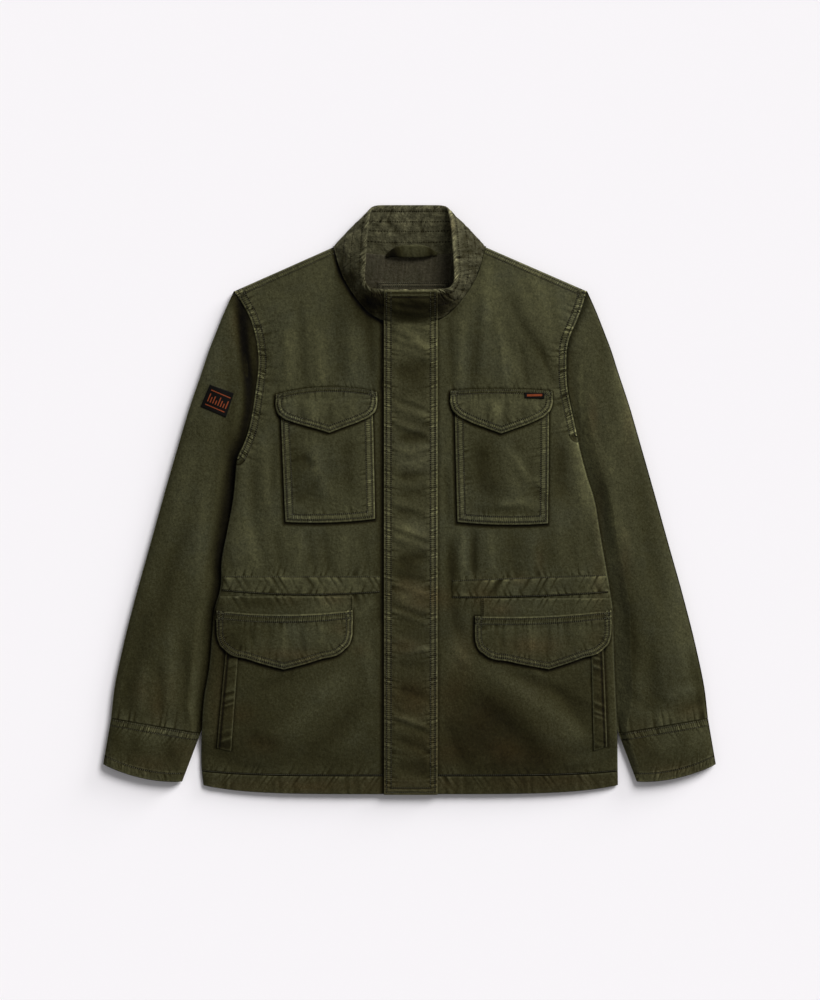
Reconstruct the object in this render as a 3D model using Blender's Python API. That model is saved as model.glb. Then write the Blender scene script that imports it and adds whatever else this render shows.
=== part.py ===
"""A field jacket in washed cotton twill, closed and laid flat on its back.

Forms are worked out in millimetres: +X to the right, +Y toward the collar and +Z up from the surface
that the jacket lies on. Meshes are made in metres. "Left" is -X and "right" is +X, and "out" is the
distance from the middle line X = 0, so that one set of rules serves both halves.

The order is: sizes, tables, the rules of each form, then one maker for each kind of piece.
"""

import math

import bpy
import numpy as np
from mathutils import Vector
from mathutils.bvhtree import BVHTree

METRE = 0.001
LEFT, RIGHT = -1, 1
UP = np.array([0.0, 0.0, 1.0])
TOWARD_COLLAR = np.array([0.0, 1.0, 0.0])
SIDE_NAMES = {LEFT: "left", RIGHT: "right"}

# Gaps between pieces
SEAM_GAP = 0.3
NECK_GAP = 0.6

# Cloth walls
BODY_WALL = 1.5
SLEEVE_WALL = 1.4
CUFF_WALL = 1.9
COLLAR_WALL = 2.4
HEM_WALL = 2.0
PLACKET_WALL = 2.0
POCKET_WALL = 1.4
FLAP_WALL = 1.8
STRIP_WALL = 1.2
LOOP_WALL = 1.4
LABEL_WALL = 1.0

# The angle, as a sine, below which a tube's grid lines run too close together to give a normal
STEADY_ANGLE = 0.2

# Body outline
CENTRE_X = 1.7
HEM_Y = -399.0
HEM_CORNER_RISE = 11.5
HEM_CORNER_OUT = 280.0
HEM_CORNER_BEND = 5
HEM_DEPTH = 24.5
HEM_SEAM_CORNER_RISE = 6.0
HEM_SEAM_SIDE_Y = -370.0
SHOULDER_Y = 282.0
NECK_POINT = (102.5, 342.0)
NECK_POINT_NEAR = 0.5
BACK_NECK_Y = 329.0
NECK_BEND = 2.2
UNDERARM_Y = {LEFT: 57.0, RIGHT: 88.0}

# Body section
EDGE_ROLL = 9.0
EDGE_HALF = 4.2
SHOULDER_ROLL = 7.0
SHOULDER_MID = 5.0
SHOULDER_DROP = 0.28
SHOULDER_REACH = 80.0
ARMHOLE_HEIGHT = 12.5
ARMHOLE_SPAN = 50.0
CROWN_POWER = 2.6
FOLD_MARGIN = 30.0

# Sleeves, which lie partly under the body's sides
TUCK_HEIGHT = 5.5
TUCK_CLEARANCE = 1.2
TUCK_RAMP = 45.0
TUCK_MARGIN = 3.0
TUCK_START_ABOVE = 55.0
TUCK_START_SPAN = 45.0
TUCK_END_Y = -350.0
TUCK_END_SPAN = 35.0
SLEEVE_END_OUTER_Y = -296.5
SLEEVE_END_INNER_Y = -317.0
SLEEVE_CROWN = 17.0
SLEEVE_CROWN_SPAN = 45.0
SLEEVE_FOLD_MARGIN = 25.0
SLEEVE_EDGE_HEIGHT = 11.5
SLEEVE_EDGE_MID = 6.0
SLEEVE_EDGE_ROLL = 11.0
TUCKED_EDGE_MID = 2.4
TUCKED_EDGE_ROLL = 3.0
FREE_START = 0.90
FREE_EDGE_MID = 4.2
FREE_EDGE_ROLL = 8.0
COVER_RISE = 15.0
COVER_SPAN = 30.0
COVER_FREE_SPAN = 18.0
COVER_FREE_STEP = 1.2
OUTER_PACE = 0.7
INNER_PACE = 1.3
HEAD_FADE = 0.35
UNDERARM_FADE = 0.16
HEAD_BLEND = 0.10
HEAD_GAP = 0.36
HEAD_DROP = 6.2
HEAD_DROP_START = 0.72
CUFF_HEM_OUTER = (414.7, -358.5)
CUFF_HEM_INNER = (307.8, -382.0)
CUFF_HEM_BOW = 7.0
CUFF_END_HEIGHT = 15.0
CUFF_OUTER_ROLL = 14.0
CUFF_INNER_ROLL = 12.0

# Placket
PLACKET_LEFT_X = -34.5
PLACKET_RIGHT_X = 37.9
PLACKET_BOTTOM_Y = -399.7
PLACKET_TOP_Y = 281.5
PLACKET_COLLAR_Y = 240.0
HEM_EDGE_STEP = 1.8

# How far round a place the pieces beneath are felt for, and how high the middle of a laid piece rises
LAY_REACH = 1.0
FLAP_REACH = 6.0
LABEL_REACH = 2.0
POCKET_CROWN = 1.6
FLAP_CROWN = 1.2
CHANNEL_CROWN = 0.6
WELT_CROWN = 0.5

# Shares of the half width at which the grids have columns. They are closer together at the side edge,
# and on the back over the tucked sleeve. The first of them end on the neck edge.
FRONT_COLUMNS = np.array([0.0, 0.08, 0.17, 0.26, 0.35, 0.43, 0.52, 0.61, 0.69, 0.78, 0.87,
                          0.94, 0.97, 0.989, 0.9975, 1.0])
BACK_COLUMNS = np.array([0.0, 0.09, 0.18, 0.27, 0.35, 0.45, 0.55, 0.64, 0.72, 0.80, 0.87,
                         0.94, 0.98, 0.993, 1.0])
FRONT_NECK_COLUMNS = 8
BACK_NECK_COLUMNS = 6
EDGE_SHARE = 0.93
HEM_FRONT_COLUMNS = np.array([0.0, 0.10, 0.21, 0.31, 0.42, 0.52, 0.63, 0.73, 0.84,
                              0.94, 0.97, 0.989, 0.9975, 1.0])
HEM_BACK_COLUMNS = np.array([0.0, 0.13, 0.27, 0.40, 0.54, 0.67, 0.81, 0.94, 0.97, 0.989, 0.9975, 1.0])
HEM_ROWS = np.array([0.0, 0.12, 0.5, 0.88, 1.0])

# Shares of the way along a sleeve, and along a cuff, at which their grids have rings
SLEEVE_STATIONS = np.linspace(0.0, 1.0, 17) ** 1.35
CUFF_STATIONS = np.array([0.0, 0.3, 0.6, 0.86, 1.0])

# Half widths of the body from its hem to the shoulder point. Above the underarm this is the armhole.
HALF_WIDTH = np.array([
    # y, left, right
    (-388.0, 279.0, 282.4),
    (-370.0, 281.4, 282.2),
    (-315.0, 281.4, 281.4),
    (-270.0, 278.6, 279.6),
    (-228.0, 271.5, 277.6),
    (-180.0, 267.2, 276.2),
    (-148.0, 264.0, 275.3),
    (-121.0, 256.4, 271.3),
    (-82.0, 254.6, 264.5),
    (-42.0, 246.9, 257.6),
    (4.0, 238.6, 249.5),
    (30.0, 236.0, 240.9),
    (57.0, 232.8, 233.6),
    (73.0, 225.3, 229.6),
    (90.0, 219.0, 226.3),
    (120.0, 212.6, 220.0),
    (150.0, 208.2, 214.0),
    (182.0, 204.7, 212.6),
    (215.0, 207.3, 215.5),
    (245.0, 216.0, 228.0),
    (266.0, 227.0, 235.5),
    (282.0, 237.5, 240.2),
])

# Seam between each front and the collar
FRONT_NECK = np.array([
    # out, y
    (0.0, 239.5),
    (36.0, 242.0),
    (54.0, 252.0),
    (69.5, 269.0),
    (85.0, 291.5),
    (94.7, 312.0),
    (102.5, 342.0),
])

# Height of the fronts over the middle line
BODY_CROWN = np.array([
    # y, height
    (-400.0, 11.5),
    (-374.0, 13.0),
    (-330.0, 17.0),
    (-250.0, 20.0),
    (-100.0, 20.5),
    (100.0, 20.5),
    (200.0, 20.0),
    (260.0, 19.0),
    (342.0, 16.0),
])

# Outer fold of a sleeve, from the shoulder point to the cuff seam
SLEEVE_OUTER = np.array([
    # y, out
    (-296.5, 404.1),
    (-256.0, 399.4),
    (-205.0, 389.0),
    (-133.0, 371.0),
    (-60.0, 350.6),
    (14.3, 329.9),
    (80.0, 311.0),
    (124.0, 298.0),
    (177.0, 280.2),
    (201.0, 272.4),
    (228.0, 262.0),
    (259.0, 249.5),
    (282.0, 239.0),
])

# How far a sleeve's inner fold lies under the body's side edge
TUCK_DEPTH = np.array([
    # share of the way from the underarm to the cuff seam, depth
    (0.00, 0.0),
    (0.05, 1.0),
    (0.10, 7.0),
    (0.20, 28.0),
    (0.32, 42.0),
    (0.48, 47.0),
    (0.62, 42.0),
    (0.76, 29.0),
    (0.88, 13.0),
    (0.95, 4.0),
    (1.00, -1.8),
])

COLLAR_COLUMNS = 6

# Half of the collar, from the centre back round to the front end. The seam point lies on the neck edge
# of the back or of a front, the middle point on the roll and the rim point on the upper edge.
COLLAR = np.array([
    # seam out, on front, middle out, middle y, middle z, rim out, rim y, rim z
    (0.0, 0, 0.0, 363.0, 0.0, 0.0, 399.0, 1.2),
    (30.0, 0, 28.5, 364.0, 0.0, 26.0, 399.0, 1.4),
    (58.0, 0, 54.0, 366.0, 0.2, 44.0, 398.6, 3.0),
    (76.0, 0, 69.0, 368.5, 1.6, 51.0, 395.5, 8.5),
    (90.0, 0, 79.5, 367.0, 5.6, 54.0, 385.0, 18.0),
    (102.3, 0, 88.0, 355.0, 13.0, 56.0, 370.0, 25.0),
    (101.0, 1, 87.0, 339.0, 19.5, 57.5, 350.0, 29.5),
    (95.6, 1, 81.0, 322.0, 24.5, 58.8, 328.0, 33.0),
    (88.2, 1, 74.5, 306.5, 28.5, 60.0, 308.5, 35.5),
    (79.0, 1, 67.5, 293.0, 31.5, 59.8, 294.5, 37.2),
    (68.5, 1, 59.5, 281.5, 33.4, 55.5, 286.6, 38.0),
    (54.0, 1, 48.5, 271.0, 34.6, 46.0, 284.2, 38.2),
    (36.0, 1, 34.0, 265.5, 35.2, 33.0, 283.4, 38.2),
    (18.0, 1, 17.5, 264.5, 35.4, 17.0, 283.2, 38.2),
    (1.6, 1, 1.6, 264.5, 35.4, 1.6, 283.2, 38.2),
])

# Largest folds of the fronts: ridges with a positive height, troughs with a negative one
FRONT_FOLDS = [
    # x0, y0, x1, y1, half width, height
    (132.0, 310.0, 196.0, 168.0, 17.0, 1.7),
    (104.0, 268.0, 150.0, 168.0, 15.0, -1.1),
    (176.0, 268.0, 206.0, 190.0, 12.0, -1.3),
    (84.0, 246.0, 98.0, 166.0, 12.0, 1.0),
    (-62.0, 240.0, -72.0, 168.0, 14.0, 1.1),
    (-118.0, 262.0, -112.0, 170.0, 15.0, -1.0),
    (-168.0, 262.0, -158.0, 168.0, 14.0, 0.9),
    (226.0, 60.0, 214.0, -80.0, 13.0, -1.2),
    (-214.0, 70.0, -206.0, -80.0, 14.0, -1.0),
    (122.0, -250.0, 232.0, -352.0, 20.0, 1.9),
    (92.0, -286.0, 176.0, -366.0, 16.0, -1.4),
    (198.0, -246.0, 240.0, -300.0, 13.0, -1.2),
    (-92.0, -240.0, -196.0, -350.0, 19.0, 1.2),
    (-74.0, -300.0, -132.0, -366.0, 15.0, -1.0),
]

# Largest folds of the sleeves, in each sleeve's own out and y
SLEEVE_FOLDS = [
    # out0, y0, out1, y1, half width, height
    (236.0, 236.0, 300.0, 70.0, 13.0, 1.2),
    (232.0, 168.0, 272.0, 40.0, 10.0, -1.1),
    (300.0, -40.0, 352.0, -150.0, 15.0, -1.2),
    (330.0, -170.0, 352.0, -280.0, 14.0, 1.2),
]

# Lower edge of a flap: share of the way from a side to the tip, share of the whole drop
CHEST_FLAP_SHAPE = np.array([
    # way, drop
    (0.00, 0.24),
    (0.03, 0.37),
    (0.12, 0.52),
    (0.34, 0.69),
    (0.70, 0.87),
    (1.00, 1.00),
])
HIP_FLAP_SHAPE = np.array([
    # way, drop
    (0.00, 0.44),
    (0.03, 0.57),
    (0.12, 0.70),
    (0.48, 0.84),
    (1.00, 1.00),
])

FLAPS = {
    # name: left x, right x, tip x, top y at left, middle and right, tip y, shape
    "chest_flap_left": (-180.6, -44.0, -108.2, 141.5, 151.5, 145.0, 90.1, CHEST_FLAP_SHAPE),
    "chest_flap_right": (55.5, 193.0, 123.8, 146.5, 149.0, 146.0, 89.3, CHEST_FLAP_SHAPE),
    "hip_flap_left": (-260.6, -77.1, -169.8, -150.0, -155.5, -149.4, -229.6, HIP_FLAP_SHAPE),
    "hip_flap_right": (88.6, 272.6, 188.2, -157.5, -157.5, -149.6, -229.6, HIP_FLAP_SHAPE),
}

CHEST_POCKETS = {
    # side: lower left, lower right, upper right, upper left
    LEFT: ((-167.5, -30.3), (-46.6, -26.2), (-50.0, 130.0), (-174.5, 130.0)),
    RIGHT: ((64.9, -30.3), (187.0, -32.4), (188.5, 130.0), (61.0, 130.0)),
}
POCKET_BOW = 2.6

WAIST_CHANNELS = {
    # side: inner end out, upper y at inner and outer end, lower y at inner, middle and outer end
    LEFT: (40.0, -103.4, -103.4, -125.7, -129.4, -123.6),
    RIGHT: (57.5, -108.8, -101.4, -133.1, -131.6, -126.0),
}
HIP_PANELS = {
    # side: inner end out, upper y, lower y
    LEFT: (76.0, -131.0, -163.0),
    RIGHT: (96.7, -133.6, -166.0),
}
WELTS = {
    # side: lower outer, lower inner, upper inner, upper outer corner as (out, y)
    LEFT: ((260.5, -336.1), (241.5, -340.9), (231.6, -206.0), (248.0, -203.0)),
    RIGHT: ((267.2, -334.7), (249.2, -340.1), (245.8, -206.0), (262.0, -203.0)),
}
EDGE_MARGIN = 3.0

FACING_HALF_WIDTH = 78.0
FACING_LOWER_Y = 262.0
FACING_SIDE_RISE = 24.0
FACING_NECK_STEP = 2.0
NECK_PATCH = (-42.6, 52.0, 262.0, 294.5)
SLEEVE_PATCH = ((-282.5, 125.3), (-248.3, 110.8), (-237.5, 143.6), (-269.9, 155.1))
FLAP_TAB = ((155.4, 136.6), (182.4, 136.0), (182.2, 143.8), (155.2, 144.6))

LOOP_BULGE = 0.9

# Hanger loop, from its left end to its right end
LOOP = np.array([
    # x, lower y, upper y, lower z, upper z
    (-31.5, 327.6, 331.6, 3.4, 3.6),
    (-27.0, 328.0, 336.0, 4.8, 5.6),
    (-20.0, 328.2, 341.0, 7.6, 9.0),
    (-8.0, 327.6, 344.0, 8.6, 10.2),
    (4.0, 327.2, 344.6, 8.8, 10.4),
    (16.0, 327.8, 344.4, 8.6, 10.2),
    (26.0, 329.0, 341.6, 7.8, 9.2),
    (33.0, 330.2, 336.8, 5.0, 5.8),
    (37.5, 331.0, 334.6, 3.4, 3.6),
])

COLOURS = {
    "shell": (0.040, 0.040, 0.018),
    "facing": (0.038, 0.030, 0.018),
    "label": (0.008, 0.009, 0.013),
}


# ---------------------------------------------------------------------------------------------------
# Rules shared by all forms
# ---------------------------------------------------------------------------------------------------


def smooth(share):
    """A soft step from 0 to 1."""
    share = np.clip(share, 0.0, 1.0)
    return share * share * (3.0 - 2.0 * share)


def roll(distance, reach):
    """The rise of a rounded edge: 0 at the edge and 1 from reach inward, as a quarter of an ellipse."""
    share = np.clip(distance / reach, 0.0, 1.0)
    return np.sqrt(1.0 - (1.0 - share) ** 2)


def curve(at, table, column=1):
    """Reads a smooth curve through a table's rows: the first column gives the place."""
    knots, values = table[:, 0], table[:, column]
    slopes = np.gradient(values, knots)
    at = np.clip(at, knots[0], knots[-1])
    low = np.clip(np.searchsorted(knots, at, side="right") - 1, 0, len(knots) - 2)
    span = knots[low + 1] - knots[low]
    share = (at - knots[low]) / span
    rise = smooth(share)
    start = share * (1.0 - share) ** 2 * span * slopes[low]
    end = share * share * (share - 1.0) * span * slopes[low + 1]
    return values[low] * (1.0 - rise) + values[low + 1] * rise + start + end


def between(start, end, share):
    """The point or number at this share of the way from start to end."""
    return start + (end - start) * share


def folds_at(x, y, folds):
    """The height that a list of soft ridges and troughs adds at each place."""
    total = np.zeros(np.broadcast(x, y).shape)
    for x0, y0, x1, y1, half_width, height in folds:
        length = math.hypot(x1 - x0, y1 - y0)
        along_x, along_y = (x1 - x0) / length, (y1 - y0) / length
        along = ((x - x0) * along_x + (y - y0) * along_y) / length
        across = (x - x0) * along_y - (y - y0) * along_x
        ends = smooth((along + 0.15) / 0.4) * smooth((1.15 - along) / 0.4)
        total += height * np.exp(-((across / half_width) ** 2)) * ends
    return total


# ---------------------------------------------------------------------------------------------------
# Body
# ---------------------------------------------------------------------------------------------------


def half_width(y, side):
    return curve(y, HALF_WIDTH, 1 if side == LEFT else 2)


def hem_y(out):
    """The lower edge, which rises at the corners."""
    return HEM_Y + HEM_CORNER_RISE * (np.abs(out) / HEM_CORNER_OUT) ** HEM_CORNER_BEND


def hem_seam_y(out):
    """The line where the turned hem begins."""
    return HEM_Y + HEM_DEPTH + HEM_SEAM_CORNER_RISE * (np.abs(out) / HEM_CORNER_OUT) ** HEM_CORNER_BEND


def shoulder_y(out, side):
    """The shoulder seam, straight from the neck point to the shoulder point."""
    slope = (SHOULDER_Y - NECK_POINT[1]) / (half_width(SHOULDER_Y, side) - NECK_POINT[0])
    return NECK_POINT[1] + (out - NECK_POINT[0]) * slope


def front_top_y(out, side):
    return np.where(out < NECK_POINT[0], curve(out, FRONT_NECK), shoulder_y(out, side))


def back_top_y(out, side):
    share = np.clip(out / NECK_POINT[0], 0.0, 1.0)
    neck = between(BACK_NECK_Y, NECK_POINT[1], share**NECK_BEND)
    return np.where(out < NECK_POINT[0], neck, shoulder_y(out, side))


def side_distance(out, y, side):
    """The distance from the closed side edge, which ends at the underarm."""
    underarm = UNDERARM_Y[side]
    corner = np.hypot(half_width(underarm, side) - out, y - underarm)
    return np.where(y < underarm, half_width(y, side) - out, corner)


def shoulder_distance(out, y, side):
    """The distance from the shoulder seam, measured from its nearer end outside its length."""
    end_out = half_width(SHOULDER_Y, side)
    run, drop = end_out - NECK_POINT[0], SHOULDER_Y - NECK_POINT[1]
    length = math.hypot(run, drop)
    along = ((out - NECK_POINT[0]) * run + (y - NECK_POINT[1]) * drop) / length
    along = np.clip(along, 0.0, length)
    near_out = NECK_POINT[0] + along * run / length
    near_y = NECK_POINT[1] + along * drop / length
    return np.hypot(out - near_out, y - near_y)


def tuck_share(y, side):
    """How much of the tucked sleeve's height the body's side edge is raised by."""
    start = smooth((UNDERARM_Y[side] + TUCK_START_ABOVE - y) / TUCK_START_SPAN)
    return start * smooth((y - TUCK_END_Y) / TUCK_END_SPAN)


def tuck_depth(y, side):
    share = (UNDERARM_Y[side] - y) / (UNDERARM_Y[side] - SLEEVE_END_INNER_Y)
    return curve(share, TUCK_DEPTH)


def tuck_lift(out, y, side):
    """The height of the body's underside where it lies over a sleeve."""
    start = half_width(y, side) - np.maximum(tuck_depth(y, side), 0.0) - TUCK_MARGIN - TUCK_RAMP
    return TUCK_HEIGHT * tuck_share(y, side) * smooth((out - start) / TUCK_RAMP)


def edge_mid(y, side):
    """The height of the side seam."""
    return TUCK_HEIGHT * tuck_share(y, side) + EDGE_HALF


def body_top(out, y, side):
    """The height of a front's outer surface."""
    middle = edge_mid(y, side)
    at_armhole = smooth((y - UNDERARM_Y[side]) / ARMHOLE_SPAN)
    edge = between(middle + EDGE_HALF, ARMHOLE_HEIGHT, at_armhole)
    across = np.clip(out / half_width(y, side), 0.0, 1.0) ** CROWN_POWER
    height = edge + (curve(y, BODY_CROWN) - edge) * (1.0 - across)
    from_side = side_distance(out, y, side)
    from_shoulder = shoulder_distance(out, y, side)
    height = height + folds_at(side * out, y, FRONT_FOLDS) * smooth(from_side / FOLD_MARGIN)
    height = height * (1.0 - SHOULDER_DROP * (1.0 - smooth(from_shoulder / SHOULDER_REACH)))
    height = middle + (height - middle) * roll(from_side, EDGE_ROLL)
    return SHOULDER_MID + (height - SHOULDER_MID) * roll(from_shoulder, SHOULDER_ROLL)


def body_bottom(out, y, side):
    """The height of the back's outer surface, which faces down."""
    low = tuck_lift(out, y, side)
    closed = 1.0 - roll(side_distance(out, y, side), EDGE_ROLL)
    low = low + (edge_mid(y, side) - low) * closed
    closed = 1.0 - roll(shoulder_distance(out, y, side), SHOULDER_ROLL)
    return low + (SHOULDER_MID - low) * closed


def height_normals(form, out, y, side):
    """Unit normals of a height form, pointing up, with X already on its side."""
    step = 0.05
    inward = form(out - step, y, side)
    outward = form(out, y, side)
    slope_out = (outward - inward) / step
    slope_y = (form(out - step, y, side) - form(out - step, y - step, side)) / step
    normals = np.stack([-side * slope_out, -slope_y, np.ones_like(slope_out)], axis=-1)
    return normals / np.linalg.norm(normals, axis=-1, keepdims=True)


def without(normals, direction):
    """Normals with no part along a direction, so that two walls end face to face at a seam."""
    direction = direction / np.linalg.norm(direction, axis=-1, keepdims=True)
    share = np.sum(normals * direction, axis=-1, keepdims=True)
    flat = normals - share * direction
    return flat / np.linalg.norm(flat, axis=-1, keepdims=True)


def low_rows(side, count=12):
    """Heights of grid rows along the side seam, from the hem seam up to the underarm."""
    start = hem_seam_y(half_width(HEM_SEAM_SIDE_Y, side))
    return np.linspace(start, UNDERARM_Y[side], count, endpoint=False)


def armhole_rows(side):
    """Heights of grid rows along the armhole, closer together where its two ends round off."""
    low, high = UNDERARM_Y[side], SHOULDER_Y
    from_underarm = np.array([0.0, 1.6, 7.0])
    from_shoulder = np.array([7.0, 2.6, 0.6, 0.0])
    middle = np.linspace(low + 24.0, high - 22.0, 6)
    return np.concatenate([low + from_underarm, middle, high - from_shoulder])


def row_shares(side):
    """Each grid row's share of the way up the side edge."""
    rows = np.concatenate([low_rows(side), armhole_rows(side)])
    return (rows - rows[0]) / (rows[-1] - rows[0]), rows


def neck_direction(top_y, out, side):
    """The plan direction straight out of a neck edge."""
    slope = (top_y(out - 0.01, side) - top_y(out - 0.02, side)) / 0.01
    direction = np.stack([-side * slope, np.ones_like(slope), np.zeros_like(slope)], axis=-1)
    return direction / np.linalg.norm(direction, axis=-1, keepdims=True)


def closing_edge(side):
    """Where a front ends under the placket: the two fronts stop 2 mm apart."""
    return side * CENTRE_X + 1.0


def neck_outs(top_y, side, start, count):
    """Places along a neck edge at equal lengths of it, from its start to the neck point."""
    fine = np.linspace(start, NECK_POINT[0], 200)
    steps = np.hypot(np.diff(fine), np.diff(top_y(fine - 1e-6, side)))
    length = np.concatenate([[0.0], np.cumsum(steps)])
    return np.interp(np.linspace(0.0, length[-1], count), length, fine)


def top_shares(columns, top_y, side, start, neck_count):
    """Shares of the half width at which a half panel's columns reach its neck and shoulder edges."""
    span = half_width(SHOULDER_Y, side) - start
    neck = (neck_outs(top_y, side, start, neck_count) - start) / span
    edge = columns[columns > EDGE_SHARE]
    shoulder = np.linspace(neck[-1], edge[0], len(columns) - neck_count - len(edge) + 2)[1:-1]
    return np.concatenate([neck, shoulder, edge])


def panel_plan(columns, side, top_y, neck_count, start=0.0):
    """Plan places of a half panel's grid: out and y for each row and column."""
    shares, rows = row_shares(side)
    at_top = top_shares(columns, top_y, side, start, neck_count)
    across = between(columns[None, :], at_top[None, :], shares[:, None] ** 2)
    out = start + across * (half_width(rows, side)[:, None] - start)
    high, low = top_y(out[-1] - 1e-6, side), hem_seam_y(out[0])
    return out, between(low[None, :], high[None, :], shares[:, None])


def closed_points(out, side):
    """Which points of a half panel's grid lie on its side seam or shoulder seam."""
    _, rows = row_shares(side)
    closed = np.zeros(out.shape, dtype=bool)
    closed[:, -1] = rows <= UNDERARM_Y[side]
    closed[-1] = out[-1] > NECK_POINT[0] - NECK_POINT_NEAR
    return closed


def armhole_direction(y, side):
    """The plan direction straight out of the armhole edge."""
    slope = half_width(y + 0.5, side) - half_width(y - 0.5, side)
    direction = np.stack([side * np.ones_like(y), -slope, np.zeros_like(y)], axis=-1)
    return direction / np.linalg.norm(direction, axis=-1, keepdims=True)


# ---------------------------------------------------------------------------------------------------
# Meshes
# ---------------------------------------------------------------------------------------------------


def material(name):
    """One material for each piece, in the colour of its cloth."""
    cloth = "shell"
    if name in ("sleeve_patch", "flap_tab"):
        cloth = "label"
    elif name == "back_facing":
        cloth = "facing"
    made = bpy.data.materials.new(name)
    made.use_nodes = True
    shader = made.node_tree.nodes["Principled BSDF"]
    shader.inputs["Base Color"].default_value = (*COLOURS[cloth], 1.0)
    shader.inputs["Roughness"].default_value = 0.9
    shader.inputs["Metallic"].default_value = 0.0
    return made


def volume_of(points, faces):
    """Signed volume of a closed triangle mesh."""
    a, b, c = (points[faces[:, k]] for k in range(3))
    return float(np.sum(a * np.cross(b, c))) / 6.0


def add_piece(name, points, faces):
    """Makes an object from points in millimetres and triangles, with its faces pointing out."""
    faces = np.array(faces)
    if volume_of(points, faces) < 0.0:
        faces = faces[:, ::-1]
    mesh = bpy.data.meshes.new(name)
    mesh.from_pydata((points * METRE).tolist(), [], faces.tolist())
    mesh.materials.append(material(name))
    mesh.shade_smooth()
    piece = bpy.data.objects.new(name, mesh)
    bpy.context.scene.collection.objects.link(piece)
    return piece


def quads_to_triangles(a, b, c, d):
    return [(a, b, c), (a, c, d)]


def wall(name, outer, inner, ring=False):
    """A closed wall between two grids of points. With ring, the second axis closes on itself."""
    rows, columns = outer.shape[:2]
    points = np.concatenate([outer.reshape(-1, 3), inner.reshape(-1, 3)])
    offset = rows * columns
    steps = columns if ring else columns - 1
    faces = []
    for i in range(rows - 1):
        for j in range(steps):
            k = (j + 1) % columns
            a, b = i * columns + j, i * columns + k
            c, d = (i + 1) * columns + k, (i + 1) * columns + j
            faces += quads_to_triangles(a, b, c, d)
            faces += quads_to_triangles(offset + d, offset + c, offset + b, offset + a)
    for j in range(steps):
        k = (j + 1) % columns
        last = (rows - 1) * columns
        faces += quads_to_triangles(k, j, offset + j, offset + k)
        faces += quads_to_triangles(last + j, last + k, offset + last + k, offset + last + j)
    if not ring:
        for i in range(rows - 1):
            a, b = i * columns, (i + 1) * columns
            faces += quads_to_triangles(a, b, offset + b, offset + a)
            a, b = a + columns - 1, b + columns - 1
            faces += quads_to_triangles(b, a, offset + a, offset + b)
    return add_piece(name, points, faces)


def grid_normals(grid):
    """Unit normals of a grid of points, by differences along both of its axes."""
    along, across = np.gradient(grid, axis=0), np.gradient(grid, axis=1)
    normals = np.cross(across, along)
    return normals / np.linalg.norm(normals, axis=-1, keepdims=True)


def ring_normals(grid):
    """Unit normals of a closed grid, pointing out of the tube, and upright where its lines run together."""
    along = np.gradient(grid, axis=0)
    across = np.roll(grid, -1, axis=1) - np.roll(grid, 1, axis=1)
    normals = np.cross(across, along)
    length = np.linalg.norm(normals, axis=-1, keepdims=True)
    spread = np.linalg.norm(along, axis=-1, keepdims=True) * np.linalg.norm(across, axis=-1, keepdims=True)
    half = grid.shape[1] // 2
    normals = normals / length * np.sign(normals[-1, half // 2, 2])
    upright = np.zeros_like(grid)
    upright[:, 1:half, 2] = 1.0
    upright[:, half + 1:, 2] = -1.0
    flat = np.abs(upright[..., 2:]) > 0.0
    normals = np.where(flat & (normals[..., 2:] * upright[..., 2:] < 0.0), -normals, normals)
    steady = 1.0 - smooth(length / spread / STEADY_ANGLE)
    normals = between(normals, upright, np.where(flat, steady, 0.0))
    return normals / np.linalg.norm(normals, axis=-1, keepdims=True)


# ---------------------------------------------------------------------------------------------------
# Body pieces
# ---------------------------------------------------------------------------------------------------


def seam_normals(normals, out, rows, side, top_y):
    """Normals of a half panel, turned so that its wall ends face to face with its neighbours' walls."""
    armhole = rows >= UNDERARM_Y[side]
    normals[armhole, -1] = without(normals[armhole, -1], armhole_direction(rows[armhole], side))
    normals[0] = without(normals[0], TOWARD_COLLAR)
    neck = out[-1] < NECK_POINT[0] + NECK_POINT_NEAR
    normals[-1, neck] = without(normals[-1, neck], neck_direction(top_y, out[-1, neck], side))
    closed = closed_points(out, side)
    normals[closed] = without(normals[closed], UP)
    return normals


def make_front(side):
    """One front, from the closing edge under the placket to the side seam, armhole and shoulder."""
    _, rows = row_shares(side)
    out, y = panel_plan(FRONT_COLUMNS, side, front_top_y, FRONT_NECK_COLUMNS, closing_edge(side))
    outer = np.stack([side * out, y, body_top(out, y, side)], axis=-1)
    normals = height_normals(body_top, out, y, side)
    normals = seam_normals(normals, out, rows, side, front_top_y)
    outer[closed_points(out, side), 2] += SEAM_GAP / 2.0
    return wall(f"front_{SIDE_NAMES[side]}", outer, outer - normals * BODY_WALL)


def join_halves(halves):
    """Outer and inner grids of a whole panel from those of its left and right halves."""
    grids = []
    for left, right in zip(halves[LEFT], halves[RIGHT]):
        middle = (left[:, :1] + right[:, :1]) / 2.0
        grids.append(np.concatenate([left[:, :0:-1], middle, right[:, 1:]], axis=1))
    return grids


def make_back():
    """The back, one panel from side seam to side seam."""
    halves = {}
    for side in (LEFT, RIGHT):
        _, rows = row_shares(side)
        out, y = panel_plan(BACK_COLUMNS, side, back_top_y, BACK_NECK_COLUMNS)
        outer = np.stack([side * out, y, body_bottom(out, y, side)], axis=-1)
        normals = height_normals(body_bottom, out, y, side)
        normals = seam_normals(normals, out, rows, side, back_top_y)
        outer[closed_points(out, side), 2] -= SEAM_GAP / 2.0
        halves[side] = (outer, outer + normals * BODY_WALL)
    return wall("back", *join_halves(halves))


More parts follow.
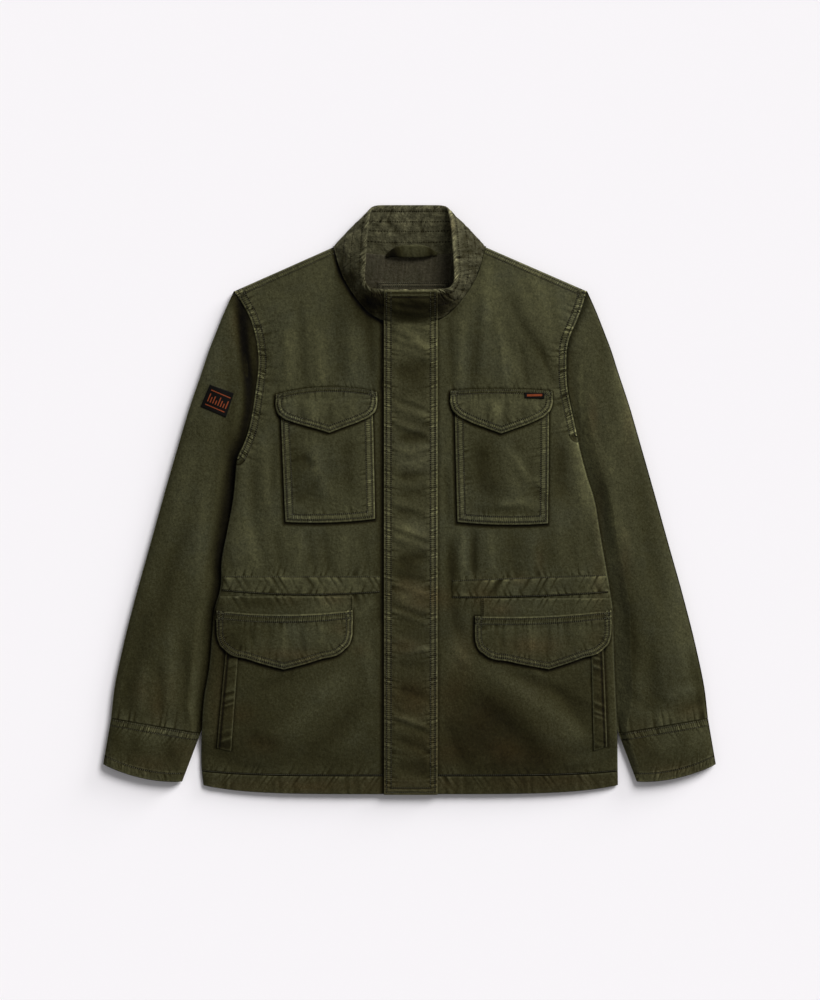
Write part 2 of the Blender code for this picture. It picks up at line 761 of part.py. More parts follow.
def hem_plan(columns, side, start=0.0):
    """Plan places of half a turned hem, from its seam to its lower edge."""
    out = start + columns * (half_width(HEM_SEAM_SIDE_Y, side) - start)
    high, low = hem_seam_y(out) - SEAM_GAP, hem_y(out)
    y = between(high[None, :], low[None, :], HEM_ROWS[:, None])
    return start + columns[None, :] * (half_width(y[:, -1:], side) - start), y


def hem_normals(form, out, y, side):
    """Normals of a hem, level across its seam and its side seam."""
    normals = without(height_normals(form, out, y, side), TOWARD_COLLAR)
    normals[:, -1] = without(normals[:, -1], UP)
    return normals


def make_hem_front(side):
    """The turned hem of a front."""
    out, y = hem_plan(HEM_FRONT_COLUMNS, side, closing_edge(side))
    outer = np.stack([side * out, y, body_top(out, y, side)], axis=-1)
    outer[:, -1, 2] += SEAM_GAP / 2.0
    inner = outer - hem_normals(body_top, out, y, side) * HEM_WALL
    return wall(f"hem_front_{SIDE_NAMES[side]}", outer, inner)


def make_hem_back():
    """The turned hem of the back."""
    halves = {}
    for side in (LEFT, RIGHT):
        out, y = hem_plan(HEM_BACK_COLUMNS, side)
        outer = np.stack([side * out, y, body_bottom(out, y, side)], axis=-1)
        outer[:, -1, 2] -= SEAM_GAP / 2.0
        halves[side] = (outer, outer + hem_normals(body_bottom, out, y, side) * HEM_WALL)
    return wall("hem_back", *join_halves(halves))


# ---------------------------------------------------------------------------------------------------
# Sleeves and cuffs
# ---------------------------------------------------------------------------------------------------


def sleeve_plan(along, across, side):
    """Plan places on a sleeve: along runs from armhole to cuff, across from the outer fold inward."""
    underarm = UNDERARM_Y[side]
    outer_y = between(SHOULDER_Y, SLEEVE_END_OUTER_Y, along**OUTER_PACE)
    outer = curve(outer_y, SLEEVE_OUTER)
    inner_y = between(underarm, SLEEVE_END_INNER_Y, along**INNER_PACE)
    inner = half_width(inner_y, side) - tuck_depth(inner_y, side)
    out = between(outer, inner, across)
    y = between(outer_y, inner_y, across)
    head_y = between(SHOULDER_Y, underarm, across)
    direction = armhole_direction(head_y, side)
    head_out = half_width(head_y, side) + HEAD_GAP * side * direction[..., 0]
    straight = between(curve(SHOULDER_Y, SLEEVE_OUTER), half_width(underarm, side), across)
    fade = np.clip(1.0 - along / between(HEAD_FADE, UNDERARM_FADE, across), 0.0, 1.0) ** 2
    out = out + fade * (head_out - straight)
    return out, y + fade * HEAD_GAP * direction[..., 1]


def fold_distances(plan, out, y, along, across, side):
    """Distances from a tube's outer and inner folds at the same station."""
    outer_out, outer_y = plan(along, np.zeros_like(across), side)
    inner_out, inner_y = plan(along, np.ones_like(across), side)
    return np.hypot(out - outer_out, y - outer_y), np.hypot(out - inner_out, y - inner_y)


def sleeve_heights(along, across, side):
    """Top and bottom heights of a sleeve's outer surface."""
    out, y = sleeve_plan(along, across, side)
    from_outer, from_inner = fold_distances(sleeve_plan, out, y, along, across, side)
    height = between(SLEEVE_EDGE_HEIGHT, SLEEVE_CROWN, smooth(from_outer / SLEEVE_CROWN_SPAN))
    height = height + folds_at(out, y, SLEEVE_FOLDS) * smooth(from_outer / SLEEVE_FOLD_MARGIN)
    top = SLEEVE_EDGE_MID + (height - SLEEVE_EDGE_MID) * roll(from_outer, SLEEVE_EDGE_ROLL)
    bottom = SLEEVE_EDGE_MID * (1.0 - roll(from_outer, SLEEVE_EDGE_ROLL))
    free = smooth((along - FREE_START) / (1.0 - FREE_START))
    beyond = out - half_width(y, side) + COVER_FREE_STEP * free
    cover_rise = COVER_RISE * smooth(beyond / between(COVER_SPAN, COVER_FREE_SPAN, free))
    top = np.minimum(top, TUCK_HEIGHT - TUCK_CLEARANCE + cover_rise)
    inner_mid = between(TUCKED_EDGE_MID, FREE_EDGE_MID, free)
    rounded = roll(from_inner, between(TUCKED_EDGE_ROLL, FREE_EDGE_ROLL, free))
    top = inner_mid + (top - inner_mid) * rounded
    bottom = bottom + inner_mid * (1.0 - rounded)
    head_y = between(SHOULDER_Y, UNDERARM_Y[side], across)
    head_out = half_width(head_y, side)
    drop = HEAD_DROP * smooth((across - HEAD_DROP_START) / (1.0 - HEAD_DROP_START))
    head_top = body_top(head_out, head_y, side) - drop
    head_bottom = np.maximum(body_bottom(head_out, head_y, side) - drop, 0.0)
    blend = smooth(along / HEAD_BLEND)
    return between(head_top, top, blend), between(head_bottom, bottom, blend)


def ring_shares(side):
    """Shares across a sleeve at which its grid has points, the same as along the armhole edge."""
    rows = armhole_rows(side)[::-1]
    return (rows[0] - rows) / (rows[0] - rows[-1])


def ring_points(out, y, top, bottom, side):
    """One closed grid over a sleeve: out over its top, and back under its bottom."""
    over = np.stack([side * out, y, top], axis=-1)
    under = np.stack([side * out, y, bottom], axis=-1)
    return np.concatenate([over, under[:, -2:0:-1]], axis=1)


def cuff_seam_direction(side):
    """The plan direction straight across the seam between sleeve and cuff."""
    out, y = sleeve_plan(np.ones(2), np.array([0.0, 1.0]), side)
    return np.array([side * (y[0] - y[1]), out[1] - out[0], 0.0])


def make_sleeve(side):
    """A sleeve from its armhole seam to the cuff seam, as a flattened tube."""
    across, along = np.meshgrid(ring_shares(side), SLEEVE_STATIONS)
    out, y = sleeve_plan(along, across, side)
    top, bottom = sleeve_heights(along, across, side)
    outer = ring_points(out, y, top, bottom, side)
    normals = ring_normals(outer)
    rows = between(SHOULDER_Y, UNDERARM_Y[side], ring_shares(side))
    direction = armhole_direction(rows, side)
    normals[0] = without(normals[0], np.concatenate([direction, direction[-2:0:-1]]))
    normals[-1] = without(normals[-1], cuff_seam_direction(side))
    return wall(f"sleeve_{SIDE_NAMES[side]}", outer, outer - normals * SLEEVE_WALL, ring=True)


def cuff_plan(along, across, side):
    """Plan places on a cuff: along runs from its seam to its hem."""
    seam_outer, seam_y = sleeve_plan(np.ones_like(across), np.zeros_like(across), side)
    seam_inner, seam_inner_y = sleeve_plan(np.ones_like(across), np.ones_like(across), side)
    seam_out = between(seam_outer, seam_inner, across)
    seam_at_y = between(seam_y, seam_inner_y, across) - SEAM_GAP
    hem_out = between(CUFF_HEM_OUTER[0], CUFF_HEM_INNER[0], across)
    hem_at_y = between(CUFF_HEM_OUTER[1], CUFF_HEM_INNER[1], across)
    hem_at_y = hem_at_y - CUFF_HEM_BOW * 4.0 * across * (1.0 - across)
    return between(seam_out, hem_out, along), between(seam_at_y, hem_at_y, along)


def make_cuff(side):
    """A cuff, with its end open."""
    across, along = np.meshgrid(ring_shares(side), CUFF_STATIONS)
    out, y = cuff_plan(along, across, side)
    from_outer, from_inner = fold_distances(cuff_plan, out, y, along, across, side)
    seam_top, seam_bottom = sleeve_heights(np.ones_like(across), across, side)
    middle = between(SLEEVE_EDGE_MID, FREE_EDGE_MID, across)
    opened = roll(from_outer, CUFF_OUTER_ROLL) * roll(from_inner, CUFF_INNER_ROLL)
    end_top = middle + (CUFF_END_HEIGHT - middle) * opened
    top = between(seam_top, end_top, smooth(along))
    bottom = between(seam_bottom, middle * (1.0 - opened), smooth(along))
    outer = ring_points(out, y, top, bottom, side)
    normals = ring_normals(outer)
    normals[0] = without(normals[0], cuff_seam_direction(side))
    return wall(f"cuff_{SIDE_NAMES[side]}", outer, outer - normals * CUFF_WALL, ring=True)


# ---------------------------------------------------------------------------------------------------
# Collar
# ---------------------------------------------------------------------------------------------------


def with_middles(values):
    """A row of values with the middle of each step put in between."""
    result = np.empty(2 * len(values) - 1)
    result[::2] = values
    result[1::2] = (values[:-1] + values[1:]) / 2.0
    return result


def collar_half(side):
    """Seam, middle and rim places of half the collar, from the centre back to the front end."""
    back = neck_outs(back_top_y, side, 0.0, BACK_NECK_COLUMNS)
    front = neck_outs(front_top_y, side, closing_edge(side), FRONT_NECK_COLUMNS)[::-1]
    order = np.arange(len(COLLAR), dtype=float)
    back_at = np.interp(back, COLLAR[:6, 0], order[:6])
    front_at = np.interp(-front, -COLLAR[5:, 0], order[5:])
    at = with_middles(np.concatenate([back_at, front_at[1:]]))
    seam_out = with_middles(np.concatenate([back, front[1:]]))
    back_y, front_y = back_top_y(back - 1e-6, side), front_top_y(front - 1e-6, side)
    seam_y = with_middles(np.concatenate([back_y, front_y[1:]]))
    back_z, front_z = body_bottom(back, back_y, side), body_top(front, front_y, side)
    seam_z = with_middles(np.concatenate([back_z, front_z[1:]]))
    table = [curve(at, np.stack([order, COLLAR[:, k]], axis=1)) for k in range(8)]
    out = np.stack([seam_out, table[2], table[5]], axis=1)
    y = np.stack([seam_y, table[3], table[6]], axis=1)
    z = np.stack([seam_z, table[4], table[7]], axis=1)
    return np.stack([side * out, y, np.maximum(z, 0.0)], axis=-1)


def collar_surface(points, shares):
    """Points at shares of the way from seam to rim, on a soft curve through the middle point."""
    seam, middle, rim = points[:, None, 0], points[:, None, 1], points[:, None, 2]
    control = 2.0 * middle - (seam + rim) / 2.0
    way = shares[None, :, None]
    return (1.0 - way) ** 2 * seam + 2.0 * way * (1.0 - way) * control + way**2 * rim


def make_collar():
    """The stand collar, one band round the neck whose ends meet under the placket."""
    left, right = collar_half(LEFT), collar_half(RIGHT)
    rows = np.concatenate([left[::-1], right[1:]])
    surface = collar_surface(rows, np.linspace(0.0, 1.0, COLLAR_COLUMNS))
    inward = surface[:, 1] - surface[:, 0]
    inward[:, 2] = 0.0
    inward /= np.linalg.norm(inward, axis=-1, keepdims=True)
    surface[:, 0] += inward * NECK_GAP
    normals = grid_normals(surface)
    normals[:, 0] = without(normals[:, 0], inward)
    surface[..., 2] = np.maximum(surface[..., 2], 0.0)
    return wall("collar", surface, surface - normals * COLLAR_WALL)


# ---------------------------------------------------------------------------------------------------
# Pieces that lie on others
# ---------------------------------------------------------------------------------------------------


def surface_of(*pieces):
    """Something that rays can be cast on, in millimetres, from whole pieces."""
    points, faces = [], []
    for piece in pieces:
        start = len(points)
        points += [vertex.co / METRE for vertex in piece.data.vertices]
        faces += [[start + index for index in polygon.vertices] for polygon in piece.data.polygons]
    return BVHTree.FromPolygons(points, faces)


def height_over(surface, x, y, reach):
    """The height of the highest point of a surface near a place, or None where there is none."""
    found = []
    for step_x, step_y in ((0, 0), (1, 0), (-1, 0), (0, 1), (0, -1)):
        start = Vector((x + step_x * reach, y + step_y * reach, 200.0))
        place, normal, _, _ = surface.ray_cast(start, Vector((0.0, 0.0, -1.0)))
        if place is not None:
            found.append(place.z + SEAM_GAP / max(abs(normal.z), 0.4))
    return max(found) if found else None


def lay_on(surface, x, y, reach=LAY_REACH):
    """The least heights at which a grid of plan places clears a surface by the seam gap."""
    heights = np.zeros_like(x)
    for index in np.ndindex(x.shape):
        height = height_over(surface, x[index], y[index], reach)
        if height is None:
            raise ValueError(f"nothing lies under {x[index]:.1f}, {y[index]:.1f}")
        heights[index] = height
    return heights


def laid_wall(name, surface, x, y, thickness, crown=0.0, reach=LAY_REACH):
    """A wall laid on a surface, raised by a soft crown in its middle."""
    heights = lay_on(surface, x, y, reach)
    rows, columns = x.shape
    across = np.sin(np.linspace(0.0, math.pi, columns))[None, :]
    along = np.sin(np.linspace(0.0, math.pi, rows))[:, None]
    heights = heights + crown * np.sqrt(across * along)
    inner = np.stack([x, y, heights], axis=-1)
    normals = grid_normals(inner)
    normals *= np.sign(normals[..., 2:3])
    return wall(name, inner + normals * thickness, inner)


def four_corner_plan(corners, rows, columns, bow=0.0):
    """Plan grid between four corners: lower left, lower right, upper right and upper left."""
    lower_left, lower_right, upper_right, upper_left = (np.array(c) for c in corners)
    across = np.linspace(0.0, 1.0, columns)[None, :, None]
    along = np.linspace(0.0, 1.0, rows)[:, None, None]
    low, high = between(lower_left, lower_right, across), between(upper_left, upper_right, across)
    grid = between(low, high, along)
    grid[..., 1] -= (bow * 4.0 * across * (1.0 - across) * (1.0 - along))[..., 0]
    return grid[..., 0], grid[..., 1]


def make_chest_pocket(side, under):
    x, y = four_corner_plan(CHEST_POCKETS[side], 10, 9, POCKET_BOW)
    name = f"chest_pocket_{SIDE_NAMES[side]}"
    return laid_wall(name, under, x, y, POCKET_WALL, crown=POCKET_CROWN)


def flap_plan(row, columns, rows):
    """Plan grid of a pointed flap, from its lower edge to its top."""
    left, right, tip, top_left, top_mid, top_right, tip_y, shape = row
    share = (1.0 - np.cos(np.linspace(0.0, math.pi, columns))) / 2.0
    x = np.where(share < 0.5, between(left, tip, share * 2.0), between(tip, right, share * 2.0 - 1.0))
    way = 1.0 - np.abs(share - 0.5) * 2.0
    across = (x - left) / (right - left)
    top = (1.0 - across) * (1.0 - 2.0 * across) * top_left
    top = top + 4.0 * across * (1.0 - across) * top_mid + across * (2.0 * across - 1.0) * top_right
    low = top - (top_mid - tip_y) * curve(way, shape)
    along = np.linspace(0.0, 1.0, rows)[:, None]
    return np.broadcast_to(x, (rows, columns)), between(low[None, :], top[None, :], along)


def make_flap(name, under):
    columns = 17 if name.startswith("hip") else 15
    x, y = flap_plan(FLAPS[name], columns, 7)
    return laid_wall(name, under, x, y, FLAP_WALL, crown=FLAP_CROWN, reach=FLAP_REACH)


def toward_edge(count):
    """Shares from 0 to 1 that come closer together toward 1."""
    return np.sin(np.linspace(0.0, math.pi / 2.0, count))


def make_waist_channel(side, under):
    """The stitched channel of the waist cord, from beside the placket to the side seam."""
    inner, high_in, high_out, low_in, low_mid, low_out = WAIST_CHANNELS[side]
    across = toward_edge(13)
    high = between(high_in, high_out, across)
    low = between(low_in, low_out, across)
    low = low + (low_mid - (low_in + low_out) / 2.0) * 4.0 * across * (1.0 - across)
    along = np.linspace(0.0, 1.0, 4)[:, None]
    y = between(low[None, :], high[None, :], along)
    out = between(inner, half_width(y, side) - EDGE_MARGIN, across[None, :])
    name = f"waist_channel_{SIDE_NAMES[side]}"
    return laid_wall(name, under, side * out, y, STRIP_WALL, crown=CHANNEL_CROWN)


def make_hip_panel(side, under):
    """The cloth between the waist channel and the hip flap."""
    inner, high, low = HIP_PANELS[side]
    across = toward_edge(12)
    y = between(low, high, np.linspace(0.0, 1.0, 3)[:, None]) + 0.0 * across[None, :]
    out = between(inner, half_width(y, side) - EDGE_MARGIN, across[None, :])
    return laid_wall(f"hip_panel_{SIDE_NAMES[side]}", under, side * out, y, STRIP_WALL)


def make_welt(side, under):
    corners = [(side * out, y) for out, y in WELTS[side]]
    x, y = four_corner_plan(corners, 9, 4)
    return laid_wall(f"welt_{SIDE_NAMES[side]}", under, x, y, STRIP_WALL, crown=WELT_CROWN)


def make_placket(under):
    """The storm flap over the closing edges, from the collar's rim to the hem."""
    low = np.linspace(PLACKET_BOTTOM_Y, PLACKET_COLLAR_Y, 20, endpoint=False)
    rows = np.concatenate([low, np.linspace(PLACKET_COLLAR_Y, PLACKET_TOP_Y, 10)])
    columns = np.linspace(PLACKET_LEFT_X, PLACKET_RIGHT_X, 6)
    x, y = np.meshgrid(columns, rows)
    heights = lay_on(under, x, np.maximum(y, HEM_Y + HEM_EDGE_STEP))
    inner = np.stack([x, y, heights], axis=-1)
    normals = grid_normals(inner)
    normals *= np.sign(normals[..., 2:3])
    return wall("placket", inner + normals * PLACKET_WALL, inner)


def make_back_facing():
    """The cloth inside the back neck."""
    across = np.linspace(-1.0, 1.0, 13)
    x = CENTRE_X + FACING_HALF_WIDTH * across
    high = back_top_y(np.abs(x), RIGHT) - FACING_NECK_STEP
    low = FACING_LOWER_Y + FACING_SIDE_RISE * across**4
    y = between(low[None, :], high[None, :], np.linspace(0.0, 1.0, 4)[:, None])
    return flat_wall("back_facing", np.broadcast_to(x, y.shape), y, BODY_WALL + SEAM_GAP)


def flat_wall(name, x, y, height):
    inner = np.stack([x, y, np.full(x.shape, height)], axis=-1)
    outer = inner + np.array([0.0, 0.0, LABEL_WALL])
    return wall(name, outer, inner)


def make_neck_patch():
    left, right, low, high = NECK_PATCH
    x, y = np.meshgrid(np.linspace(left, right, 3), np.linspace(low, high, 3))
    return flat_wall("neck_patch", x, y, BODY_WALL + LABEL_WALL + 2.0 * SEAM_GAP)


def make_hanger_loop():
    """The loop in the back neck seam: a strap that arches clear of the cloth."""
    x = np.linspace(LOOP[0, 0], LOOP[-1, 0], 15)
    low_y, high_y, low_z, high_z = (curve(x, LOOP, column) for column in (1, 2, 3, 4))
    share = np.linspace(0.0, 1.0, 4)[:, None]
    y, z = between(low_y, high_y, share), between(low_z, high_z, share)
    z = z + LOOP_BULGE * np.sin(math.pi * share)
    inner = np.stack([np.broadcast_to(x, y.shape), y, z], axis=-1)
    normals = grid_normals(inner)
    normals *= np.sign(normals[..., 2:3])
    return wall("hanger_loop", inner + normals * LOOP_WALL, inner)


def make_label(name, corners, under):
    x, y = four_corner_plan(corners, 5, 5)
    return laid_wall(name, under, x, y, LABEL_WALL, reach=LABEL_REACH)


# ---------------------------------------------------------------------------------------------------
# The whole jacket
# ---------------------------------------------------------------------------------------------------


def main():
    for old in list(bpy.data.objects):
        bpy.data.objects.remove(old)
    fronts = {side: make_front(side) for side in (LEFT, RIGHT)}
    hems = {side: make_hem_front(side) for side in (LEFT, RIGHT)}
    make_back()
    make_hem_back()
    sleeves = {side: make_sleeve(side) for side in (LEFT, RIGHT)}
    for side in (LEFT, RIGHT):
        make_cuff(side)
    collar = make_collar()
    flaps = {}
    for side in (LEFT, RIGHT):
        front = surface_of(fronts[side], hems[side])
        pocket = make_chest_pocket(side, front)
        make_waist_channel(side, front)
        panel = make_hip_panel(side, front)
        welt = make_welt(side, front)
        chest_under = surface_of(fronts[side], pocket)
        hip_under = surface_of(fronts[side], panel, welt)
        name = SIDE_NAMES[side]
        flaps[side] = make_flap(f"chest_flap_{name}", chest_under)
        make_flap(f"hip_flap_{name}", hip_under)
    make_placket(surface_of(fronts[LEFT], fronts[RIGHT], hems[LEFT], hems[RIGHT], collar))
    make_back_facing()
    make_neck_patch()
    make_hanger_loop()
    make_label("sleeve_patch", SLEEVE_PATCH, surface_of(sleeves[LEFT]))
    make_label("flap_tab", FLAP_TAB, surface_of(flaps[RIGHT]))


main()
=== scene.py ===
"""The dressed field jacket: fine cloth shells on the frame's forms, with seams, stitches and creases.

Forms are worked out in millimetres in the frame's own axes: +X to the right, +Y toward the collar and
+Z up. "Out" is the distance from the middle line X = 0, so that one set of rules serves both halves.
"""

import math

import bpy
import numpy as np
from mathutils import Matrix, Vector
from mathutils.bvhtree import BVHTree


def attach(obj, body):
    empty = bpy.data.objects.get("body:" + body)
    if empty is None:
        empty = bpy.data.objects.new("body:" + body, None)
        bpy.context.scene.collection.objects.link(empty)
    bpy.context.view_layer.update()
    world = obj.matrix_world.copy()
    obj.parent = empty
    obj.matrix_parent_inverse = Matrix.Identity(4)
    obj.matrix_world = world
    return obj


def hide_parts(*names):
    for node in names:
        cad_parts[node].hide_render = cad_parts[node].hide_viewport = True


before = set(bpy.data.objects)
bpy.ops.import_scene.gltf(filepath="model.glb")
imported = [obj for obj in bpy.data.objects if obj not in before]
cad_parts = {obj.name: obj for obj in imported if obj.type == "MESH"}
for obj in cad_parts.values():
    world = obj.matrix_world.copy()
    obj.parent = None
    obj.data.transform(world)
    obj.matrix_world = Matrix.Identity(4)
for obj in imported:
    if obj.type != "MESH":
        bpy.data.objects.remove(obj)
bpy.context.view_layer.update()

METRE = 0.001
LEFT, RIGHT = -1, 1
UP = np.array([0.0, 0.0, 1.0])
TOWARD_COLLAR = np.array([0.0, 1.0, 0.0])
SIDE_NAMES = {LEFT: "left", RIGHT: "right"}

# Gaps between pieces
SEAM_GAP = 0.3
NECK_GAP = 0.6

# Cloth walls
BODY_WALL = 1.5
SLEEVE_WALL = 1.4
CUFF_WALL = 1.9
COLLAR_WALL = 2.4
HEM_WALL = 2.0
PLACKET_WALL = 2.0
POCKET_WALL = 1.4
FLAP_WALL = 1.8
STRIP_WALL = 1.2
LOOP_WALL = 1.4
LABEL_WALL = 1.0

# The angle, as a sine, below which a tube's grid lines run too close together to give a normal
STEADY_ANGLE = 0.2

# Body outline
CENTRE_X = 1.7
HEM_Y = -399.0
HEM_CORNER_RISE = 11.5
HEM_CORNER_OUT = 280.0
HEM_CORNER_BEND = 5
HEM_DEPTH = 24.5
HEM_SEAM_CORNER_RISE = 6.0
HEM_SEAM_SIDE_Y = -370.0
SHOULDER_Y = 282.0
NECK_POINT = (102.5, 342.0)
NECK_POINT_NEAR = 0.5
BACK_NECK_Y = 329.0
NECK_BEND = 2.2
UNDERARM_Y = {LEFT: 57.0, RIGHT: 88.0}

# Body section
EDGE_ROLL = 9.0
EDGE_HALF = 4.2
SHOULDER_ROLL = 7.0
SHOULDER_MID = 5.0
SHOULDER_DROP = 0.28
SHOULDER_REACH = 80.0
ARMHOLE_HEIGHT = 12.5
ARMHOLE_SPAN = 50.0
CROWN_POWER = 2.6
FOLD_MARGIN = 30.0

# Sleeves, which lie partly under the body's sides
TUCK_HEIGHT = 5.5
TUCK_CLEARANCE = 1.2
TUCK_RAMP = 45.0
TUCK_MARGIN = 3.0
TUCK_START_ABOVE = 55.0
TUCK_START_SPAN = 45.0
TUCK_END_Y = -350.0
TUCK_END_SPAN = 35.0
SLEEVE_END_OUTER_Y = -296.5
SLEEVE_END_INNER_Y = -317.0
SLEEVE_CROWN = 17.0
SLEEVE_CROWN_SPAN = 45.0
SLEEVE_FOLD_MARGIN = 25.0
SLEEVE_EDGE_HEIGHT = 11.5
SLEEVE_EDGE_MID = 6.0
SLEEVE_EDGE_ROLL = 11.0
TUCKED_EDGE_MID = 2.4
TUCKED_EDGE_ROLL = 3.0
FREE_START = 0.90
FREE_EDGE_MID = 4.2
FREE_EDGE_ROLL = 8.0
COVER_RISE = 15.0
COVER_SPAN = 30.0
COVER_FREE_SPAN = 18.0
COVER_FREE_STEP = 1.2
OUTER_PACE = 0.7
INNER_PACE = 1.3
HEAD_FADE = 0.35
UNDERARM_FADE = 0.16
HEAD_BLEND = 0.10
HEAD_GAP = 0.36
HEAD_DROP = 6.2
HEAD_DROP_START = 0.72
CUFF_HEM_OUTER = (414.7, -358.5)
CUFF_HEM_INNER = (307.8, -382.0)
CUFF_HEM_BOW = 7.0
CUFF_END_HEIGHT = 15.0
CUFF_OUTER_ROLL = 14.0
CUFF_INNER_ROLL = 12.0

# Placket
PLACKET_LEFT_X = -34.5
PLACKET_RIGHT_X = 37.9
PLACKET_BOTTOM_Y = -399.7
PLACKET_TOP_Y = 281.5
HEM_EDGE_STEP = 1.8

# How far round a place the pieces beneath are felt for, and how high the middle of a laid piece rises
LAY_REACH = 1.0
POCKET_CROWN = 1.6
FLAP_CROWN = 1.2
CHANNEL_CROWN = 0.6
WELT_CROWN = 0.5
FRONT_NECK_COLUMNS = 8
BACK_NECK_COLUMNS = 6
EDGE_SHARE = 0.93

SLEEVE_STATIONS = np.linspace(0.0, 1.0, 17) ** 1.35

# Half widths of the body from its hem to the shoulder point. Above the underarm this is the armhole.
HALF_WIDTH = np.array([
    # y, left, right
    (-388.0, 279.0, 282.4),
    (-370.0, 281.4, 282.2),
    (-315.0, 281.4, 281.4),
    (-270.0, 278.6, 279.6),
    (-228.0, 271.5, 277.6),
    (-180.0, 267.2, 276.2),
    (-148.0, 264.0, 275.3),
    (-121.0, 256.4, 271.3),
    (-82.0, 254.6, 264.5),
    (-42.0, 246.9, 257.6),
    (4.0, 238.6, 249.5),
    (30.0, 236.0, 240.9),
    (57.0, 232.8, 233.6),
    (73.0, 225.3, 229.6),
    (90.0, 219.0, 226.3),
    (120.0, 212.6, 220.0),
    (150.0, 208.2, 214.0),
    (182.0, 204.7, 212.6),
    (215.0, 207.3, 215.5),
    (245.0, 216.0, 228.0),
    (266.0, 227.0, 235.5),
    (282.0, 237.5, 240.2),
])

# Seam between each front and the collar
FRONT_NECK = np.array([
    # out, y
    (0.0, 239.5),
    (36.0, 242.0),
    (54.0, 252.0),
    (69.5, 269.0),
    (85.0, 291.5),
    (94.7, 312.0),
    (102.5, 342.0),
])

# Height of the fronts over the middle line
BODY_CROWN = np.array([
    # y, height
    (-400.0, 11.5),
    (-374.0, 13.0),
    (-330.0, 17.0),
    (-250.0, 20.0),
    (-100.0, 20.5),
    (100.0, 20.5),
    (200.0, 20.0),
    (260.0, 19.0),
    (342.0, 16.0),
])

# Outer fold of a sleeve, from the shoulder point to the cuff seam
SLEEVE_OUTER = np.array([
    # y, out
    (-296.5, 404.1),
    (-256.0, 399.4),
    (-205.0, 389.0),
    (-133.0, 371.0),
    (-60.0, 350.6),
    (14.3, 329.9),
    (80.0, 311.0),
    (124.0, 298.0),
    (177.0, 280.2),
    (201.0, 272.4),
    (228.0, 262.0),
    (259.0, 249.5),
    (282.0, 239.0),
])

# How far a sleeve's inner fold lies under the body's side edge
TUCK_DEPTH = np.array([
    # share of the way from the underarm to the cuff seam, depth
    (0.00, 0.0),
    (0.05, 1.0),
    (0.10, 7.0),
    (0.20, 28.0),
    (0.32, 42.0),
    (0.48, 47.0),
    (0.62, 42.0),
    (0.76, 29.0),
    (0.88, 13.0),
    (0.95, 4.0),
    (1.00, -1.8),
])

# Half of the collar, from the centre back round to the front end. The seam point lies on the neck edge
# of the back or of a front, the middle point on the roll and the rim point on the upper edge.
COLLAR = np.array([
    # seam out, on front, middle out, middle y, middle z, rim out, rim y, rim z
    (0.0, 0, 0.0, 363.0, 0.0, 0.0, 399.0, 1.2),
    (30.0, 0, 28.5, 364.0, 0.0, 26.0, 399.0, 1.4),
    (58.0, 0, 54.0, 366.0, 0.2, 44.0, 398.6, 3.0),
    (76.0, 0, 69.0, 368.5, 1.6, 51.0, 395.5, 8.5),
    (90.0, 0, 79.5, 367.0, 5.6, 54.0, 385.0, 18.0),
    (102.3, 0, 88.0, 355.0, 13.0, 56.0, 370.0, 25.0),
    (101.0, 1, 87.0, 339.0, 19.5, 57.5, 350.0, 29.5),
    (95.6, 1, 81.0, 322.0, 24.5, 58.8, 328.0, 33.0),
    (88.2, 1, 74.5, 306.5, 28.5, 60.0, 308.5, 35.5),
    (79.0, 1, 67.5, 293.0, 31.5, 59.8, 294.5, 37.2),
    (68.5, 1, 59.5, 281.5, 33.4, 55.5, 286.6, 38.0),
    (54.0, 1, 48.5, 271.0, 34.6, 46.0, 284.2, 38.2),
    (36.0, 1, 34.0, 265.5, 35.2, 33.0, 283.4, 38.2),
    (18.0, 1, 17.5, 264.5, 35.4, 17.0, 283.2, 38.2),
    (1.6, 1, 1.6, 264.5, 35.4, 1.6, 283.2, 38.2),
])

# Largest folds of the fronts: ridges with a positive height, troughs with a negative one
FRONT_FOLDS = [
    # x0, y0, x1, y1, half width, height
    (132.0, 310.0, 196.0, 168.0, 17.0, 1.7),
    (104.0, 268.0, 150.0, 168.0, 15.0, -1.1),
    (176.0, 268.0, 206.0, 190.0, 12.0, -1.3),
    (84.0, 246.0, 98.0, 166.0, 12.0, 1.0),
    (-62.0, 240.0, -72.0, 168.0, 14.0, 1.1),
    (-118.0, 262.0, -112.0, 170.0, 15.0, -1.0),
    (-168.0, 262.0, -158.0, 168.0, 14.0, 0.9),
    (226.0, 60.0, 214.0, -80.0, 13.0, -1.2),
    (-214.0, 70.0, -206.0, -80.0, 14.0, -1.0),
    (122.0, -250.0, 232.0, -352.0, 20.0, 1.9),
    (92.0, -286.0, 176.0, -366.0, 16.0, -1.4),
    (198.0, -246.0, 240.0, -300.0, 13.0, -1.2),
    (-92.0, -240.0, -196.0, -350.0, 19.0, 1.2),
    (-74.0, -300.0, -132.0, -366.0, 15.0, -1.0),
]

# Largest folds of the sleeves, in each sleeve's own out and y
SLEEVE_FOLDS = [
    # out0, y0, out1, y1, half width, height
    (236.0, 236.0, 300.0, 70.0, 13.0, 1.2),
    (232.0, 168.0, 272.0, 40.0, 10.0, -1.1),
    (300.0, -40.0, 352.0, -150.0, 15.0, -1.2),
    (330.0, -170.0, 352.0, -280.0, 14.0, 1.2),
]

# Lower edge of a flap: share of the way from a side to the tip, share of the whole drop
CHEST_FLAP_SHAPE = np.array([
    # way, drop
    (0.00, 0.24),
    (0.03, 0.37),
    (0.12, 0.52),
    (0.34, 0.69),
    (0.70, 0.87),
    (1.00, 1.00),
])
HIP_FLAP_SHAPE = np.array([
    # way, drop
    (0.00, 0.44),
    (0.03, 0.57),
    (0.12, 0.70),
    (0.48, 0.84),
    (1.00, 1.00),
])

